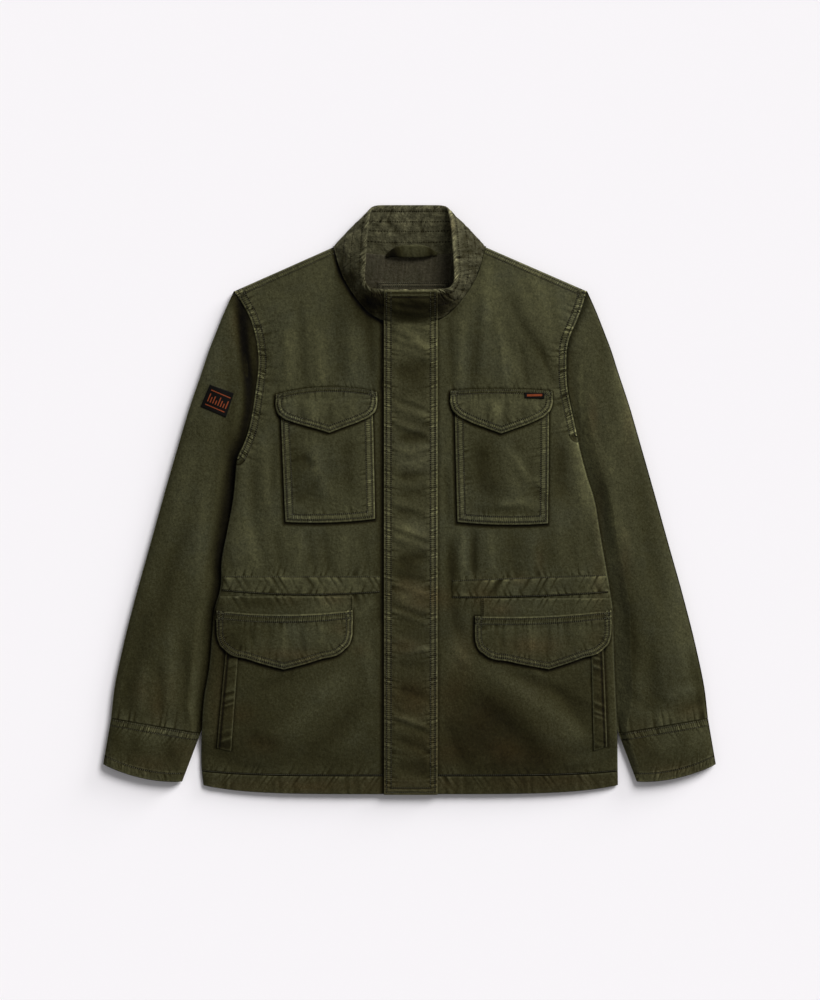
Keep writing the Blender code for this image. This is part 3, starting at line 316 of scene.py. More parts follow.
FLAPS = {
    # name: left x, right x, tip x, top y at left, middle and right, tip y, shape
    "chest_flap_left": (-180.6, -44.0, -108.2, 141.5, 151.5, 145.0, 90.1, CHEST_FLAP_SHAPE),
    "chest_flap_right": (55.5, 193.0, 123.8, 146.5, 149.0, 146.0, 89.3, CHEST_FLAP_SHAPE),
    "hip_flap_left": (-260.6, -77.1, -169.8, -150.0, -155.5, -149.4, -229.6, HIP_FLAP_SHAPE),
    "hip_flap_right": (88.6, 272.6, 188.2, -157.5, -157.5, -149.6, -229.6, HIP_FLAP_SHAPE),
}

CHEST_POCKETS = {
    # side: lower left, lower right, upper right, upper left
    LEFT: ((-167.5, -30.3), (-46.6, -26.2), (-50.0, 130.0), (-174.5, 130.0)),
    RIGHT: ((64.9, -30.3), (187.0, -32.4), (188.5, 130.0), (61.0, 130.0)),
}
POCKET_BOW = 2.6

WAIST_CHANNELS = {
    # side: inner end out, upper y at inner and outer end, lower y at inner, middle and outer end
    LEFT: (40.0, -103.4, -103.4, -125.7, -129.4, -123.6),
    RIGHT: (57.5, -108.8, -101.4, -133.1, -131.6, -126.0),
}
HIP_PANELS = {
    # side: inner end out, upper y, lower y
    LEFT: (76.0, -131.0, -163.0),
    RIGHT: (96.7, -133.6, -166.0),
}
WELTS = {
    # side: lower outer, lower inner, upper inner, upper outer corner as (out, y)
    LEFT: ((260.5, -336.1), (241.5, -340.9), (231.6, -206.0), (248.0, -203.0)),
    RIGHT: ((267.2, -334.7), (249.2, -340.1), (245.8, -206.0), (262.0, -203.0)),
}
EDGE_MARGIN = 3.0

FACING_HALF_WIDTH = 78.0
FACING_LOWER_Y = 262.0
FACING_SIDE_RISE = 24.0
FACING_NECK_STEP = 2.0
NECK_PATCH = (-42.6, 52.0, 262.0, 294.5)
SLEEVE_PATCH = ((-282.5, 125.3), (-248.3, 110.8), (-237.5, 143.6), (-269.9, 155.1))
FLAP_TAB = ((155.4, 136.6), (182.4, 136.0), (182.2, 143.8), (155.2, 144.6))

LOOP_BULGE = 0.9

# Hanger loop, from its left end to its right end
LOOP = np.array([
    # x, lower y, upper y, lower z, upper z
    (-31.5, 327.6, 331.6, 3.4, 3.6),
    (-27.0, 328.0, 336.0, 4.8, 5.6),
    (-20.0, 328.2, 341.0, 7.6, 9.0),
    (-8.0, 327.6, 344.0, 8.6, 10.2),
    (4.0, 327.2, 344.6, 8.8, 10.4),
    (16.0, 327.8, 344.4, 8.6, 10.2),
    (26.0, 329.0, 341.6, 7.8, 9.2),
    (33.0, 330.2, 336.8, 5.0, 5.8),
    (37.5, 331.0, 334.6, 3.4, 3.6),
])


# ---- Rules shared by all forms ----


def smooth(share):
    """A soft step from 0 to 1."""
    share = np.clip(share, 0.0, 1.0)
    return share * share * (3.0 - 2.0 * share)


def roll(distance, reach):
    """The rise of a rounded edge: 0 at the edge and 1 from reach inward, as a quarter of an ellipse."""
    share = np.clip(distance / reach, 0.0, 1.0)
    return np.sqrt(1.0 - (1.0 - share) ** 2)


def bell(distance, width, middle=0.0):
    """A soft hump: 1 in its middle, and fading to either side over its width."""
    return np.exp(-(((distance - middle) / width) ** 2))


def curve(at, table, column=1):
    """Reads a smooth curve through a table's rows: the first column gives the place."""
    knots, values = table[:, 0], table[:, column]
    slopes = np.gradient(values, knots)
    at = np.clip(at, knots[0], knots[-1])
    low = np.clip(np.searchsorted(knots, at, side="right") - 1, 0, len(knots) - 2)
    span = knots[low + 1] - knots[low]
    share = (at - knots[low]) / span
    rise = smooth(share)
    start = share * (1.0 - share) ** 2 * span * slopes[low]
    end = share * share * (share - 1.0) * span * slopes[low + 1]
    return values[low] * (1.0 - rise) + values[low + 1] * rise + start + end


def between(start, end, share):
    """The point or number at this share of the way from start to end."""
    return start + (end - start) * share


def folds_at(x, y, folds):
    """The height that a list of soft ridges and troughs adds at each place."""
    total = np.zeros(np.broadcast(x, y).shape)
    for x0, y0, x1, y1, half_width, height in folds:
        length = math.hypot(x1 - x0, y1 - y0)
        along_x, along_y = (x1 - x0) / length, (y1 - y0) / length
        along = ((x - x0) * along_x + (y - y0) * along_y) / length
        across = (x - x0) * along_y - (y - y0) * along_x
        ends = smooth((along + 0.15) / 0.4) * smooth((1.15 - along) / 0.4)
        total += height * bell(across, half_width) * ends
    return total


# ---- Body ----


def half_width(y, side):
    return curve(y, HALF_WIDTH, 1 if side == LEFT else 2)


def hem_y(out):
    """The lower edge, which rises at the corners."""
    return HEM_Y + HEM_CORNER_RISE * (np.abs(out) / HEM_CORNER_OUT) ** HEM_CORNER_BEND


def hem_seam_y(out):
    """The line where the turned hem begins."""
    return HEM_Y + HEM_DEPTH + HEM_SEAM_CORNER_RISE * (np.abs(out) / HEM_CORNER_OUT) ** HEM_CORNER_BEND


def shoulder_y(out, side):
    """The shoulder seam, straight from the neck point to the shoulder point."""
    slope = (SHOULDER_Y - NECK_POINT[1]) / (half_width(SHOULDER_Y, side) - NECK_POINT[0])
    return NECK_POINT[1] + (out - NECK_POINT[0]) * slope


def front_top_y(out, side):
    return np.where(out < NECK_POINT[0], curve(out, FRONT_NECK), shoulder_y(out, side))


def back_top_y(out, side):
    share = np.clip(out / NECK_POINT[0], 0.0, 1.0)
    neck = between(BACK_NECK_Y, NECK_POINT[1], share**NECK_BEND)
    return np.where(out < NECK_POINT[0], neck, shoulder_y(out, side))


def side_distance(out, y, side):
    """The distance from the closed side edge, which ends at the underarm."""
    underarm = UNDERARM_Y[side]
    corner = np.hypot(half_width(underarm, side) - out, y - underarm)
    return np.where(y < underarm, half_width(y, side) - out, corner)


def shoulder_distance(out, y, side):
    """The distance from the shoulder seam, measured from its nearer end outside its length."""
    end_out = half_width(SHOULDER_Y, side)
    run, drop = end_out - NECK_POINT[0], SHOULDER_Y - NECK_POINT[1]
    length = math.hypot(run, drop)
    along = ((out - NECK_POINT[0]) * run + (y - NECK_POINT[1]) * drop) / length
    along = np.clip(along, 0.0, length)
    near_out = NECK_POINT[0] + along * run / length
    near_y = NECK_POINT[1] + along * drop / length
    return np.hypot(out - near_out, y - near_y)


def tuck_share(y, side):
    """How much of the tucked sleeve's height the body's side edge is raised by."""
    start = smooth((UNDERARM_Y[side] + TUCK_START_ABOVE - y) / TUCK_START_SPAN)
    return start * smooth((y - TUCK_END_Y) / TUCK_END_SPAN)


def tuck_depth(y, side):
    share = (UNDERARM_Y[side] - y) / (UNDERARM_Y[side] - SLEEVE_END_INNER_Y)
    return curve(share, TUCK_DEPTH)


def tuck_lift(out, y, side):
    """The height of the body's underside where it lies over a sleeve."""
    start = half_width(y, side) - np.maximum(tuck_depth(y, side), 0.0) - TUCK_MARGIN - TUCK_RAMP
    return TUCK_HEIGHT * tuck_share(y, side) * smooth((out - start) / TUCK_RAMP)


def edge_mid(y, side):
    """The height of the side seam."""
    return TUCK_HEIGHT * tuck_share(y, side) + EDGE_HALF


def body_top(out, y, side):
    """The height of a front's outer surface."""
    middle = edge_mid(y, side)
    at_armhole = smooth((y - UNDERARM_Y[side]) / ARMHOLE_SPAN)
    edge = between(middle + EDGE_HALF, ARMHOLE_HEIGHT, at_armhole)
    across = np.clip(out / half_width(y, side), 0.0, 1.0) ** CROWN_POWER
    height = edge + (curve(y, BODY_CROWN) - edge) * (1.0 - across)
    from_side = side_distance(out, y, side)
    from_shoulder = shoulder_distance(out, y, side)
    height = height + folds_at(side * out, y, FRONT_FOLDS) * smooth(from_side / FOLD_MARGIN)
    height = height * (1.0 - SHOULDER_DROP * (1.0 - smooth(from_shoulder / SHOULDER_REACH)))
    height = middle + (height - middle) * roll(from_side, EDGE_ROLL)
    return SHOULDER_MID + (height - SHOULDER_MID) * roll(from_shoulder, SHOULDER_ROLL)


def body_bottom(out, y, side):
    """The height of the back's outer surface, which faces down."""
    low = tuck_lift(out, y, side)
    closed = 1.0 - roll(side_distance(out, y, side), EDGE_ROLL)
    low = low + (edge_mid(y, side) - low) * closed
    closed = 1.0 - roll(shoulder_distance(out, y, side), SHOULDER_ROLL)
    return low + (SHOULDER_MID - low) * closed


def height_normals(form, out, y, side):
    """Unit normals of a height form, pointing up, with X already on its side."""
    step = 0.05
    inward = form(out - step, y, side)
    outward = form(out, y, side)
    slope_out = (outward - inward) / step
    slope_y = (form(out - step, y, side) - form(out - step, y - step, side)) / step
    normals = np.stack([-side * slope_out, -slope_y, np.ones_like(slope_out)], axis=-1)
    return normals / np.linalg.norm(normals, axis=-1, keepdims=True)


def without(normals, direction):
    """Normals with no part along a direction, so that two walls end face to face at a seam."""
    direction = direction / np.linalg.norm(direction, axis=-1, keepdims=True)
    share = np.sum(normals * direction, axis=-1, keepdims=True)
    flat = normals - share * direction
    return flat / np.linalg.norm(flat, axis=-1, keepdims=True)


def low_rows(side, count=12):
    """Heights of grid rows along the side seam, from the hem seam up to the underarm."""
    start = hem_seam_y(half_width(HEM_SEAM_SIDE_Y, side))
    return np.linspace(start, UNDERARM_Y[side], count, endpoint=False)


def armhole_rows(side):
    """Heights of grid rows along the armhole, closer together where its two ends round off."""
    low, high = UNDERARM_Y[side], SHOULDER_Y
    from_underarm = np.array([0.0, 1.6, 7.0])
    from_shoulder = np.array([7.0, 2.6, 0.6, 0.0])
    middle = np.linspace(low + 24.0, high - 22.0, 6)
    return np.concatenate([low + from_underarm, middle, high - from_shoulder])


def row_shares(side):
    """Each grid row's share of the way up the side edge."""
    rows = np.concatenate([low_rows(side), armhole_rows(side)])
    return (rows - rows[0]) / (rows[-1] - rows[0]), rows


def neck_direction(top_y, out, side):
    """The plan direction straight out of a neck edge."""
    slope = (top_y(out - 0.01, side) - top_y(out - 0.02, side)) / 0.01
    direction = np.stack([-side * slope, np.ones_like(slope), np.zeros_like(slope)], axis=-1)
    return direction / np.linalg.norm(direction, axis=-1, keepdims=True)


def closing_edge(side):
    """Where a front ends under the placket: the two fronts stop 2 mm apart."""
    return side * CENTRE_X + 1.0


def neck_outs(top_y, side, start, count):
    """Places along a neck edge at equal lengths of it, from its start to the neck point."""
    fine = np.linspace(start, NECK_POINT[0], 200)
    steps = np.hypot(np.diff(fine), np.diff(top_y(fine - 1e-6, side)))
    length = np.concatenate([[0.0], np.cumsum(steps)])
    return np.interp(np.linspace(0.0, length[-1], count), length, fine)


def top_shares(columns, top_y, side, start, neck_count):
    """Shares of the half width at which a half panel's columns reach its neck and shoulder edges."""
    span = half_width(SHOULDER_Y, side) - start
    neck = (neck_outs(top_y, side, start, neck_count) - start) / span
    edge = columns[columns > EDGE_SHARE]
    shoulder = np.linspace(neck[-1], edge[0], len(columns) - neck_count - len(edge) + 2)[1:-1]
    return np.concatenate([neck, shoulder, edge])


def armhole_direction(y, side):
    """The plan direction straight out of the armhole edge."""
    slope = half_width(y + 0.5, side) - half_width(y - 0.5, side)
    direction = np.stack([side * np.ones_like(y), -slope, np.zeros_like(y)], axis=-1)
    return direction / np.linalg.norm(direction, axis=-1, keepdims=True)


# ---- Sleeves and cuffs ----


def sleeve_plan(along, across, side):
    """Plan places on a sleeve: along runs from armhole to cuff, across from the outer fold inward."""
    underarm = UNDERARM_Y[side]
    outer_y = between(SHOULDER_Y, SLEEVE_END_OUTER_Y, along**OUTER_PACE)
    outer = curve(outer_y, SLEEVE_OUTER)
    inner_y = between(underarm, SLEEVE_END_INNER_Y, along**INNER_PACE)
    inner = half_width(inner_y, side) - tuck_depth(inner_y, side)
    out = between(outer, inner, across)
    y = between(outer_y, inner_y, across)
    head_y = between(SHOULDER_Y, underarm, across)
    direction = armhole_direction(head_y, side)
    head_out = half_width(head_y, side) + HEAD_GAP * side * direction[..., 0]
    straight = between(curve(SHOULDER_Y, SLEEVE_OUTER), half_width(underarm, side), across)
    fade = np.clip(1.0 - along / between(HEAD_FADE, UNDERARM_FADE, across), 0.0, 1.0) ** 2
    out = out + fade * (head_out - straight)
    return out, y + fade * HEAD_GAP * direction[..., 1]


def fold_distances(plan, out, y, along, across, side):
    """Distances from a tube's outer and inner folds at the same station."""
    outer_out, outer_y = plan(along, np.zeros_like(across), side)
    inner_out, inner_y = plan(along, np.ones_like(across), side)
    return np.hypot(out - outer_out, y - outer_y), np.hypot(out - inner_out, y - inner_y)


def sleeve_heights(along, across, side):
    """Top and bottom heights of a sleeve's outer surface."""
    out, y = sleeve_plan(along, across, side)
    from_outer, from_inner = fold_distances(sleeve_plan, out, y, along, across, side)
    height = between(SLEEVE_EDGE_HEIGHT, SLEEVE_CROWN, smooth(from_outer / SLEEVE_CROWN_SPAN))
    height = height + folds_at(out, y, SLEEVE_FOLDS) * smooth(from_outer / SLEEVE_FOLD_MARGIN)
    top = SLEEVE_EDGE_MID + (height - SLEEVE_EDGE_MID) * roll(from_outer, SLEEVE_EDGE_ROLL)
    bottom = SLEEVE_EDGE_MID * (1.0 - roll(from_outer, SLEEVE_EDGE_ROLL))
    free = smooth((along - FREE_START) / (1.0 - FREE_START))
    beyond = out - half_width(y, side) + COVER_FREE_STEP * free
    cover_rise = COVER_RISE * smooth(beyond / between(COVER_SPAN, COVER_FREE_SPAN, free))
    top = np.minimum(top, TUCK_HEIGHT - TUCK_CLEARANCE + cover_rise)
    inner_mid = between(TUCKED_EDGE_MID, FREE_EDGE_MID, free)
    rounded = roll(from_inner, between(TUCKED_EDGE_ROLL, FREE_EDGE_ROLL, free))
    top = inner_mid + (top - inner_mid) * rounded
    bottom = bottom + inner_mid * (1.0 - rounded)
    head_y = between(SHOULDER_Y, UNDERARM_Y[side], across)
    head_out = half_width(head_y, side)
    drop = HEAD_DROP * smooth((across - HEAD_DROP_START) / (1.0 - HEAD_DROP_START))
    head_top = body_top(head_out, head_y, side) - drop
    head_bottom = np.maximum(body_bottom(head_out, head_y, side) - drop, 0.0)
    blend = smooth(along / HEAD_BLEND)
    return between(head_top, top, blend), between(head_bottom, bottom, blend)


def ring_shares(side):
    """Shares across a sleeve at which its grid has points, the same as along the armhole edge."""
    rows = armhole_rows(side)[::-1]
    return (rows[0] - rows) / (rows[0] - rows[-1])


def cuff_plan(along, across, side):
    """Plan places on a cuff: along runs from its seam to its hem."""
    seam_outer, seam_y = sleeve_plan(np.ones_like(across), np.zeros_like(across), side)
    seam_inner, seam_inner_y = sleeve_plan(np.ones_like(across), np.ones_like(across), side)
    seam_out = between(seam_outer, seam_inner, across)
    seam_at_y = between(seam_y, seam_inner_y, across) - SEAM_GAP
    hem_out = between(CUFF_HEM_OUTER[0], CUFF_HEM_INNER[0], across)
    hem_at_y = between(CUFF_HEM_OUTER[1], CUFF_HEM_INNER[1], across)
    hem_at_y = hem_at_y - CUFF_HEM_BOW * 4.0 * across * (1.0 - across)
    return between(seam_out, hem_out, along), between(seam_at_y, hem_at_y, along)


def with_middles(values):
    """A row of values with the middle of each step put in between."""
    result = np.empty(2 * len(values) - 1)
    result[::2] = values
    result[1::2] = (values[:-1] + values[1:]) / 2.0
    return result


def collar_half(side):
    """Seam, middle and rim places of half the collar, from the centre back to the front end."""
    back = neck_outs(back_top_y, side, 0.0, BACK_NECK_COLUMNS)
    front = neck_outs(front_top_y, side, closing_edge(side), FRONT_NECK_COLUMNS)[::-1]
    order = np.arange(len(COLLAR), dtype=float)
    back_at = np.interp(back, COLLAR[:6, 0], order[:6])
    front_at = np.interp(-front, -COLLAR[5:, 0], order[5:])
    at = with_middles(np.concatenate([back_at, front_at[1:]]))
    seam_out = with_middles(np.concatenate([back, front[1:]]))
    back_y, front_y = back_top_y(back - 1e-6, side), front_top_y(front - 1e-6, side)
    seam_y = with_middles(np.concatenate([back_y, front_y[1:]]))
    back_z, front_z = body_bottom(back, back_y, side), body_top(front, front_y, side)
    seam_z = with_middles(np.concatenate([back_z, front_z[1:]]))
    table = [curve(at, np.stack([order, COLLAR[:, k]], axis=1)) for k in range(8)]
    out = np.stack([seam_out, table[2], table[5]], axis=1)
    y = np.stack([seam_y, table[3], table[6]], axis=1)
    z = np.stack([seam_z, table[4], table[7]], axis=1)
    return np.stack([side * out, y, np.maximum(z, 0.0)], axis=-1)


def collar_surface(points, shares):
    """Points at shares of the way from seam to rim, on a soft curve through the middle point."""
    seam, middle, rim = points[:, None, 0], points[:, None, 1], points[:, None, 2]
    control = 2.0 * middle - (seam + rim) / 2.0
    way = shares[None, :, None]
    return (1.0 - way) ** 2 * seam + 2.0 * way * (1.0 - way) * control + way**2 * rim


# ---- Fine detail: seams, stitches, puckers and creases ----

FINE_STEP = 1.9
TRIM_STEP = 1.25
BACK_STEP = 5.0
EDGE_STEPS = (0.0, 0.45, 1.0, 1.7, 2.5)
HIDDEN_EVERY = 5

# Stitches and their grooves
STITCH_LENGTH = 2.0
STITCH_PITCH = 2.8
STITCH_HALF = 0.30
STITCH_RISE = 0.22
STITCH_SINK = 0.15
STITCH_STEEPEST = 2.5
# What a stitched row's distance reads where there is no row
NO_ROW = 9.0

# Stitched rows: their distances from a seam or an edge
ARMHOLE_ROWS = (3.4, 10.2)
SHOULDER_ROWS = (3.0, 8.6)
HEM_ROW = 1.6
CUFF_ROWS = (1.8, 9.4)
CUFF_HEM_ROW = 11.4
POCKET_ROWS = (3.4, 10.4)
FLAP_ROWS = (3.2, 8.2)
CHANNEL_ROW = 1.2
PLACKET_ROWS = (3.5, 9.6)
PATCH_ROWS = (1.6, 6.0)

# Lengths by which fine grids are divided
PANEL_LENGTH = 270.0
HEM_STRIP = 26.0
SLEEVE_WIDTH, SLEEVE_LENGTH = 195.0, 590.0
CUFF_WIDTH, CUFF_LENGTH = 118.0, 64.0
COLLAR_DEPTH = 62.0
FLAP_DEPTH = 65.0
STRIP_END, STRIP_DEPTH = 280.0, 24.0
PLACKET_WIDTH = 72.4
OUTLINE_STEP = 6.0
SIDE_LINE_LOW_Y = -372.0
HEM_LINE_OUT = 281.0
# Distances of a panel's last columns from its side edge
EDGE_COLUMNS = np.array([15.0, 12.4, 9.9, 7.7, 5.8, 4.2, 2.9, 1.9, 1.1, 0.5, 0.0])

EDGE_ROUND = 1.3

# Tone: a crease's share of its height, worn lighter on its ridges and painted shade in its troughs, and darker toward
# the hem
CREASE_TONE = 0.19
LOW_DARKER = 0.34
FADE_TOP_Y = 0.0
FADE_SPAN = 240.0

# Colours, and how the cloth's brightness and hue follow its tone
SHELL_COLOUR = (0.0392, 0.0379, 0.0172)
BLUE_POWER = 1.65
GREEN_POWER = 1.1
TONE_BASE = 3.2
BROWN_COLOUR = (0.047, 0.0368, 0.0152)
THREAD_COLOUR = (0.080, 0.077, 0.044)
GREY_COLOUR = (0.0372, 0.0378, 0.0215)
LABEL_COLOUR = (0.0030, 0.0027, 0.0022)
ORANGE_COLOUR = (0.20, 0.042, 0.013)


def spread(length, step):
    """Shares of a length: close together near both ends, and a step apart between them."""
    near = np.array(EDGE_STEPS)
    count = max(3, int(round((length - 2.0 * near[-1]) / step)) + 1)
    middle = np.linspace(near[-1], length - near[-1], count)
    return np.concatenate([near[:-1], middle, length - near[-2::-1]]) / length


def refined(knots, step):
    """The values of a list with evenly spaced ones put in between, and the places of the first ones."""
    values, places = [knots[0]], [0]
    for low, high in zip(knots[:-1], knots[1:]):
        count = max(1, int(math.ceil(abs(high - low) / step)))
        values += list(np.linspace(low, high, count + 1)[1:])
        places.append(len(values) - 1)
    return np.array(values), np.array(places)


def kept(count, every=HIDDEN_EVERY, ends=4):
    """Places of the grid lines that the hidden side of a shell keeps: all near the ends, few between."""
    middle = np.arange(ends, count - ends, every)
    return np.unique(np.concatenate([np.arange(min(ends, count)), middle, np.arange(count - ends, count)]))


def near_line(x, y, line):
    """The distance of each place from a line through points, and how far along the line it is nearest."""
    best = np.full(np.shape(x), 1e9)
    run = np.zeros(np.shape(x))
    passed = 0.0
    for (x0, y0), (x1, y1) in zip(line[:-1], line[1:]):
        dx, dy = x1 - x0, y1 - y0
        length = math.hypot(dx, dy)
        if length < 1e-6:
            continue
        share = np.clip(((x - x0) * dx + (y - y0) * dy) / length**2, 0.0, 1.0)
        distance = np.hypot(x - x0 - share * dx, y - y0 - share * dy)
        nearer = distance < best
        best = np.where(nearer, distance, best)
        run = np.where(nearer, passed + share * length, run)
        passed += length
    return best, run


def uneven(run, period, seed, sharp=False):
    """A wave along a seam, uneven in its spacing and height, or sharp troughs between flat swells."""
    turn = 2.0 * math.pi * run / period
    phase = turn + 1.3 * np.sin(0.31 * turn + seed) + 0.8 * np.sin(0.73 * turn + 2.1 * seed) + seed
    size = 0.55 + 0.45 * np.sin(0.19 * turn + 3.7 * seed)
    if sharp:
        return (0.45 - 1.45 * np.exp(-((np.sin(phase / 2.0) / 0.42) ** 2))) * size
    return np.sin(phase) * size


def spots_at(x, y, spots):
    """The sum of soft round spots, each with its own size and amount."""
    total = np.zeros(np.shape(x))
    for spot_x, spot_y, half_x, half_y, amount in spots:
        total += amount * np.exp(-(((x - spot_x) / half_x) ** 2) - ((y - spot_y) / half_y) ** 2)
    return total


def cloth_tone_and_painted_shade(x, y):
    """The cloth's tone: darker toward the hem, with lighter and darker places, some of the darker ones painted shade.
    """
    return spots_at(x, y, TONE_AND_PAINTED_SHADE_SPOTS) - LOW_DARKER * smooth((FADE_TOP_Y - y) / FADE_SPAN)


def room(height, depth):
    """Heights whose troughs come softly to rest at a depth."""
    return np.where(height < 0.0, depth * np.tanh(height / depth), height)


def creases_at(x, y, creases):
    """Height of hand-placed creases: soft ridges with a positive height and troughs with a negative one."""
    total = np.zeros(np.shape(x))
    for x0, y0, x1, y1, half_width_mm, height, bow in creases:
        length = math.hypot(x1 - x0, y1 - y0)
        along_x, along_y = (x1 - x0) / length, (y1 - y0) / length
        along = ((x - x0) * along_x + (y - y0) * along_y) / length
        across = (x - x0) * along_y - (y - y0) * along_x
        across = across - bow * 4.0 * along * (1.0 - along)
        ends = smooth((along + 0.1) / 0.35) * smooth((1.1 - along) / 0.35)
        total += height * bell(across, half_width_mm) * ends
    return total


# Creases of the fronts, the smaller folds among them
FRONT_CREASES = [
    # x0, y0, x1, y1, half width, height, bow
    (-168.4, 230.8, -161.7, 146.9, 6.8, 1.0, 0.0),
    (-148.2, 271.4, -141.4, 142.9, 6.8, -1.1, 2.7),
    (-123.8, 230.8, -118.4, 146.9, 6.8, 0.9, 0.0),
    (-102.2, 271.4, -94.0, 149.6, 8.1, -0.9, -2.7),
    (-77.8, 247.1, -77.8, 149.6, 6.8, 0.9, 0.0),
    (-58.9, 271.4, -50.7, 155.1, 6.8, -1.0, 0.0),
    (-188.7, 244.4, -199.6, 163.2, 6.8, -0.7, 2.7),
    (-199.6, 217.3, -171.2, 136.1, 6.8, -0.7, 4.1),
    (-87.3, 312.0, -77.8, 244.4, 8.1, 0.8, 0.0),
    (129.2, 291.7, 198.2, 174.0, 8.1, -1.25, 8.1),
    (111.6, 284.9, 149.5, 156.4, 6.8, 0.8, 6.8),
    (92.7, 271.4, 81.9, 146.9, 6.8, -1.1, -2.7),
    (71.0, 257.9, 68.3, 146.9, 6.8, 1.0, 0.0),
    (160.3, 322.8, 219.9, 201.1, 9.5, 0.9, 6.8),
    (122.4, 217.3, 130.6, 146.9, 5.4, 1.0, 0.0),
    (149.5, 217.3, 160.3, 149.6, 5.4, -0.9, 0.0),
    (176.6, 210.5, 203.6, 146.9, 5.4, -0.9, 4.1),
    (190.1, 271.4, 228.0, 174.0, 6.8, -1.0, 5.4),
    (106.2, 322.8, 100.8, 230.8, 8.1, 1.0, 0.0),
    (52.1, 247.1, 57.5, 149.6, 5.4, -0.9, 0.0),
    (-199.6, 95.5, -191.4, -26.2, 6.8, 0.8, 0.0),
    (-211.7, 68.5, -199.6, -100.7, 8.1, -0.9, 5.4),
    (-182.0, 95.5, -187.4, 0.8, 5.4, -0.7, 0.0),
    (-215.8, -37.1, -205.0, -104.7, 8.1, 1.1, 0.0),
    (-182.0, -39.8, -171.2, -104.7, 6.8, -0.8, 0.0),
    (-148.2, -42.5, -152.2, -104.7, 6.8, 0.8, 0.0),
    (-118.4, -39.8, -107.6, -104.7, 6.8, -0.9, 0.0),
    (-87.3, -37.1, -94.0, -102.0, 6.8, 0.8, 0.0),
    (-64.3, -39.8, -56.1, -104.7, 6.8, -0.7, 0.0),
    (-137.3, -39.8, -129.2, -104.7, 5.4, -0.7, 0.0),
    (203.6, 82.0, 211.7, -6.0, 8.1, -1.1, 2.7),
    (223.9, 95.5, 246.9, -26.2, 9.5, 1.1, 6.8),
    (198.2, 0.8, 206.3, -100.7, 9.5, 0.9, 0.0),
    (237.5, -26.2, 257.7, -100.7, 8.1, -0.7, 2.7),
    (54.8, -53.3, 60.2, -134.5, 6.8, -1.6, 1.4),
    (71.0, -39.8, 72.4, -100.7, 5.4, 1.0, 0.0),
    (87.3, -39.8, 88.6, -107.4, 5.4, -1.6, 1.4),
    (106.2, -42.5, 111.6, -104.7, 6.8, 1.0, 0.0),
    (136.0, -39.8, 141.4, -104.7, 8.1, -0.7, 0.0),
    (169.8, -42.5, 163.0, -104.7, 8.1, 0.8, 0.0),
    (57.5, -134.5, 71.0, -188.6, 6.8, -0.9, 2.7),
    (48.0, 41.4, 53.4, -39.8, 5.4, -1.0, 0.0),
    (-186.0, -326.6, -77.8, -221.1, 14.9, 1.0, 5.4),
    (-148.2, -351.0, -64.3, -269.8, 12.2, -1.0, 4.1),
    (-207.7, -256.3, -148.2, -231.9, 8.1, -0.9, 2.7),
    (-73.7, -161.5, -45.3, -134.5, 8.1, 0.9, 0.0),
    (-221.2, -317.1, -175.2, -334.7, 9.5, -0.9, 2.7),
    (-107.6, -351.0, -50.7, -290.1, 9.5, 0.6, 2.7),
    (-60.2, -188.6, -50.7, -269.8, 8.1, 0.7, 0.0),
    (92.7, -226.5, 237.5, -329.3, 10.8, 1.1, -6.8),
    (71.0, -256.3, 187.4, -361.8, 14.9, -1.9, -8.1),
    (129.2, -231.9, 252.3, -294.1, 8.1, -1.0, -5.4),
    (149.5, -221.1, 203.6, -256.3, 6.8, 1.0, -2.7),
    (52.1, -188.6, 81.9, -226.5, 8.1, 1.1, 0.0),
    (203.6, -269.8, 244.2, -317.1, 6.8, -1.0, -2.7),
    (176.6, -231.9, 211.7, -269.8, 6.8, -1.1, 0.0),
    (49.4, -296.8, 81.9, -364.5, 9.5, -1.0, 4.1),
    (244.2, -256.3, 257.7, -326.6, 5.4, 0.7, 0.0),
    (-249.6, -353.7, -191.4, -364.5, 6.8, -0.8, 2.7),
    (81.9, -361.8, 122.4, -345.6, 8.1, 0.7, 0.0),
    (203.6, -359.1, 265.9, -342.9, 6.8, 0.8, 1.4),
    (-213.1, 247.1, -194.2, 230.8, 5.4, 0.7, 0.0),
    (-209.0, 203.8, -188.7, 195.6, 4.1, 0.6, 0.0),
    (-215.8, 163.2, -194.2, 157.8, 4.1, -0.6, 0.0),
    (-218.5, 122.6, -199.6, 109.1, 5.4, -0.7, 0.0),
    (219.9, 230.8, 203.6, 211.9, 5.4, -0.8, 0.0),
    (217.2, 190.2, 198.2, 174.0, 4.1, -0.7, 0.0),
    (211.7, 142.9, 198.2, 122.6, 5.4, -0.9, 0.0),
    (214.5, 109.1, 200.9, 87.4, 5.4, 0.8, 0.0),
    (222.6, 125.3, 206.3, 138.8, 4.1, -0.6, 0.0),
    (-253.7, -53.3, -240.2, -100.7, 6.8, -0.7, 0.0),
    (-259.1, -134.5, -248.3, -150.7, 5.4, 0.7, 0.0),
    (263.2, -80.4, 249.6, -104.7, 5.4, -0.7, 0.0),
]

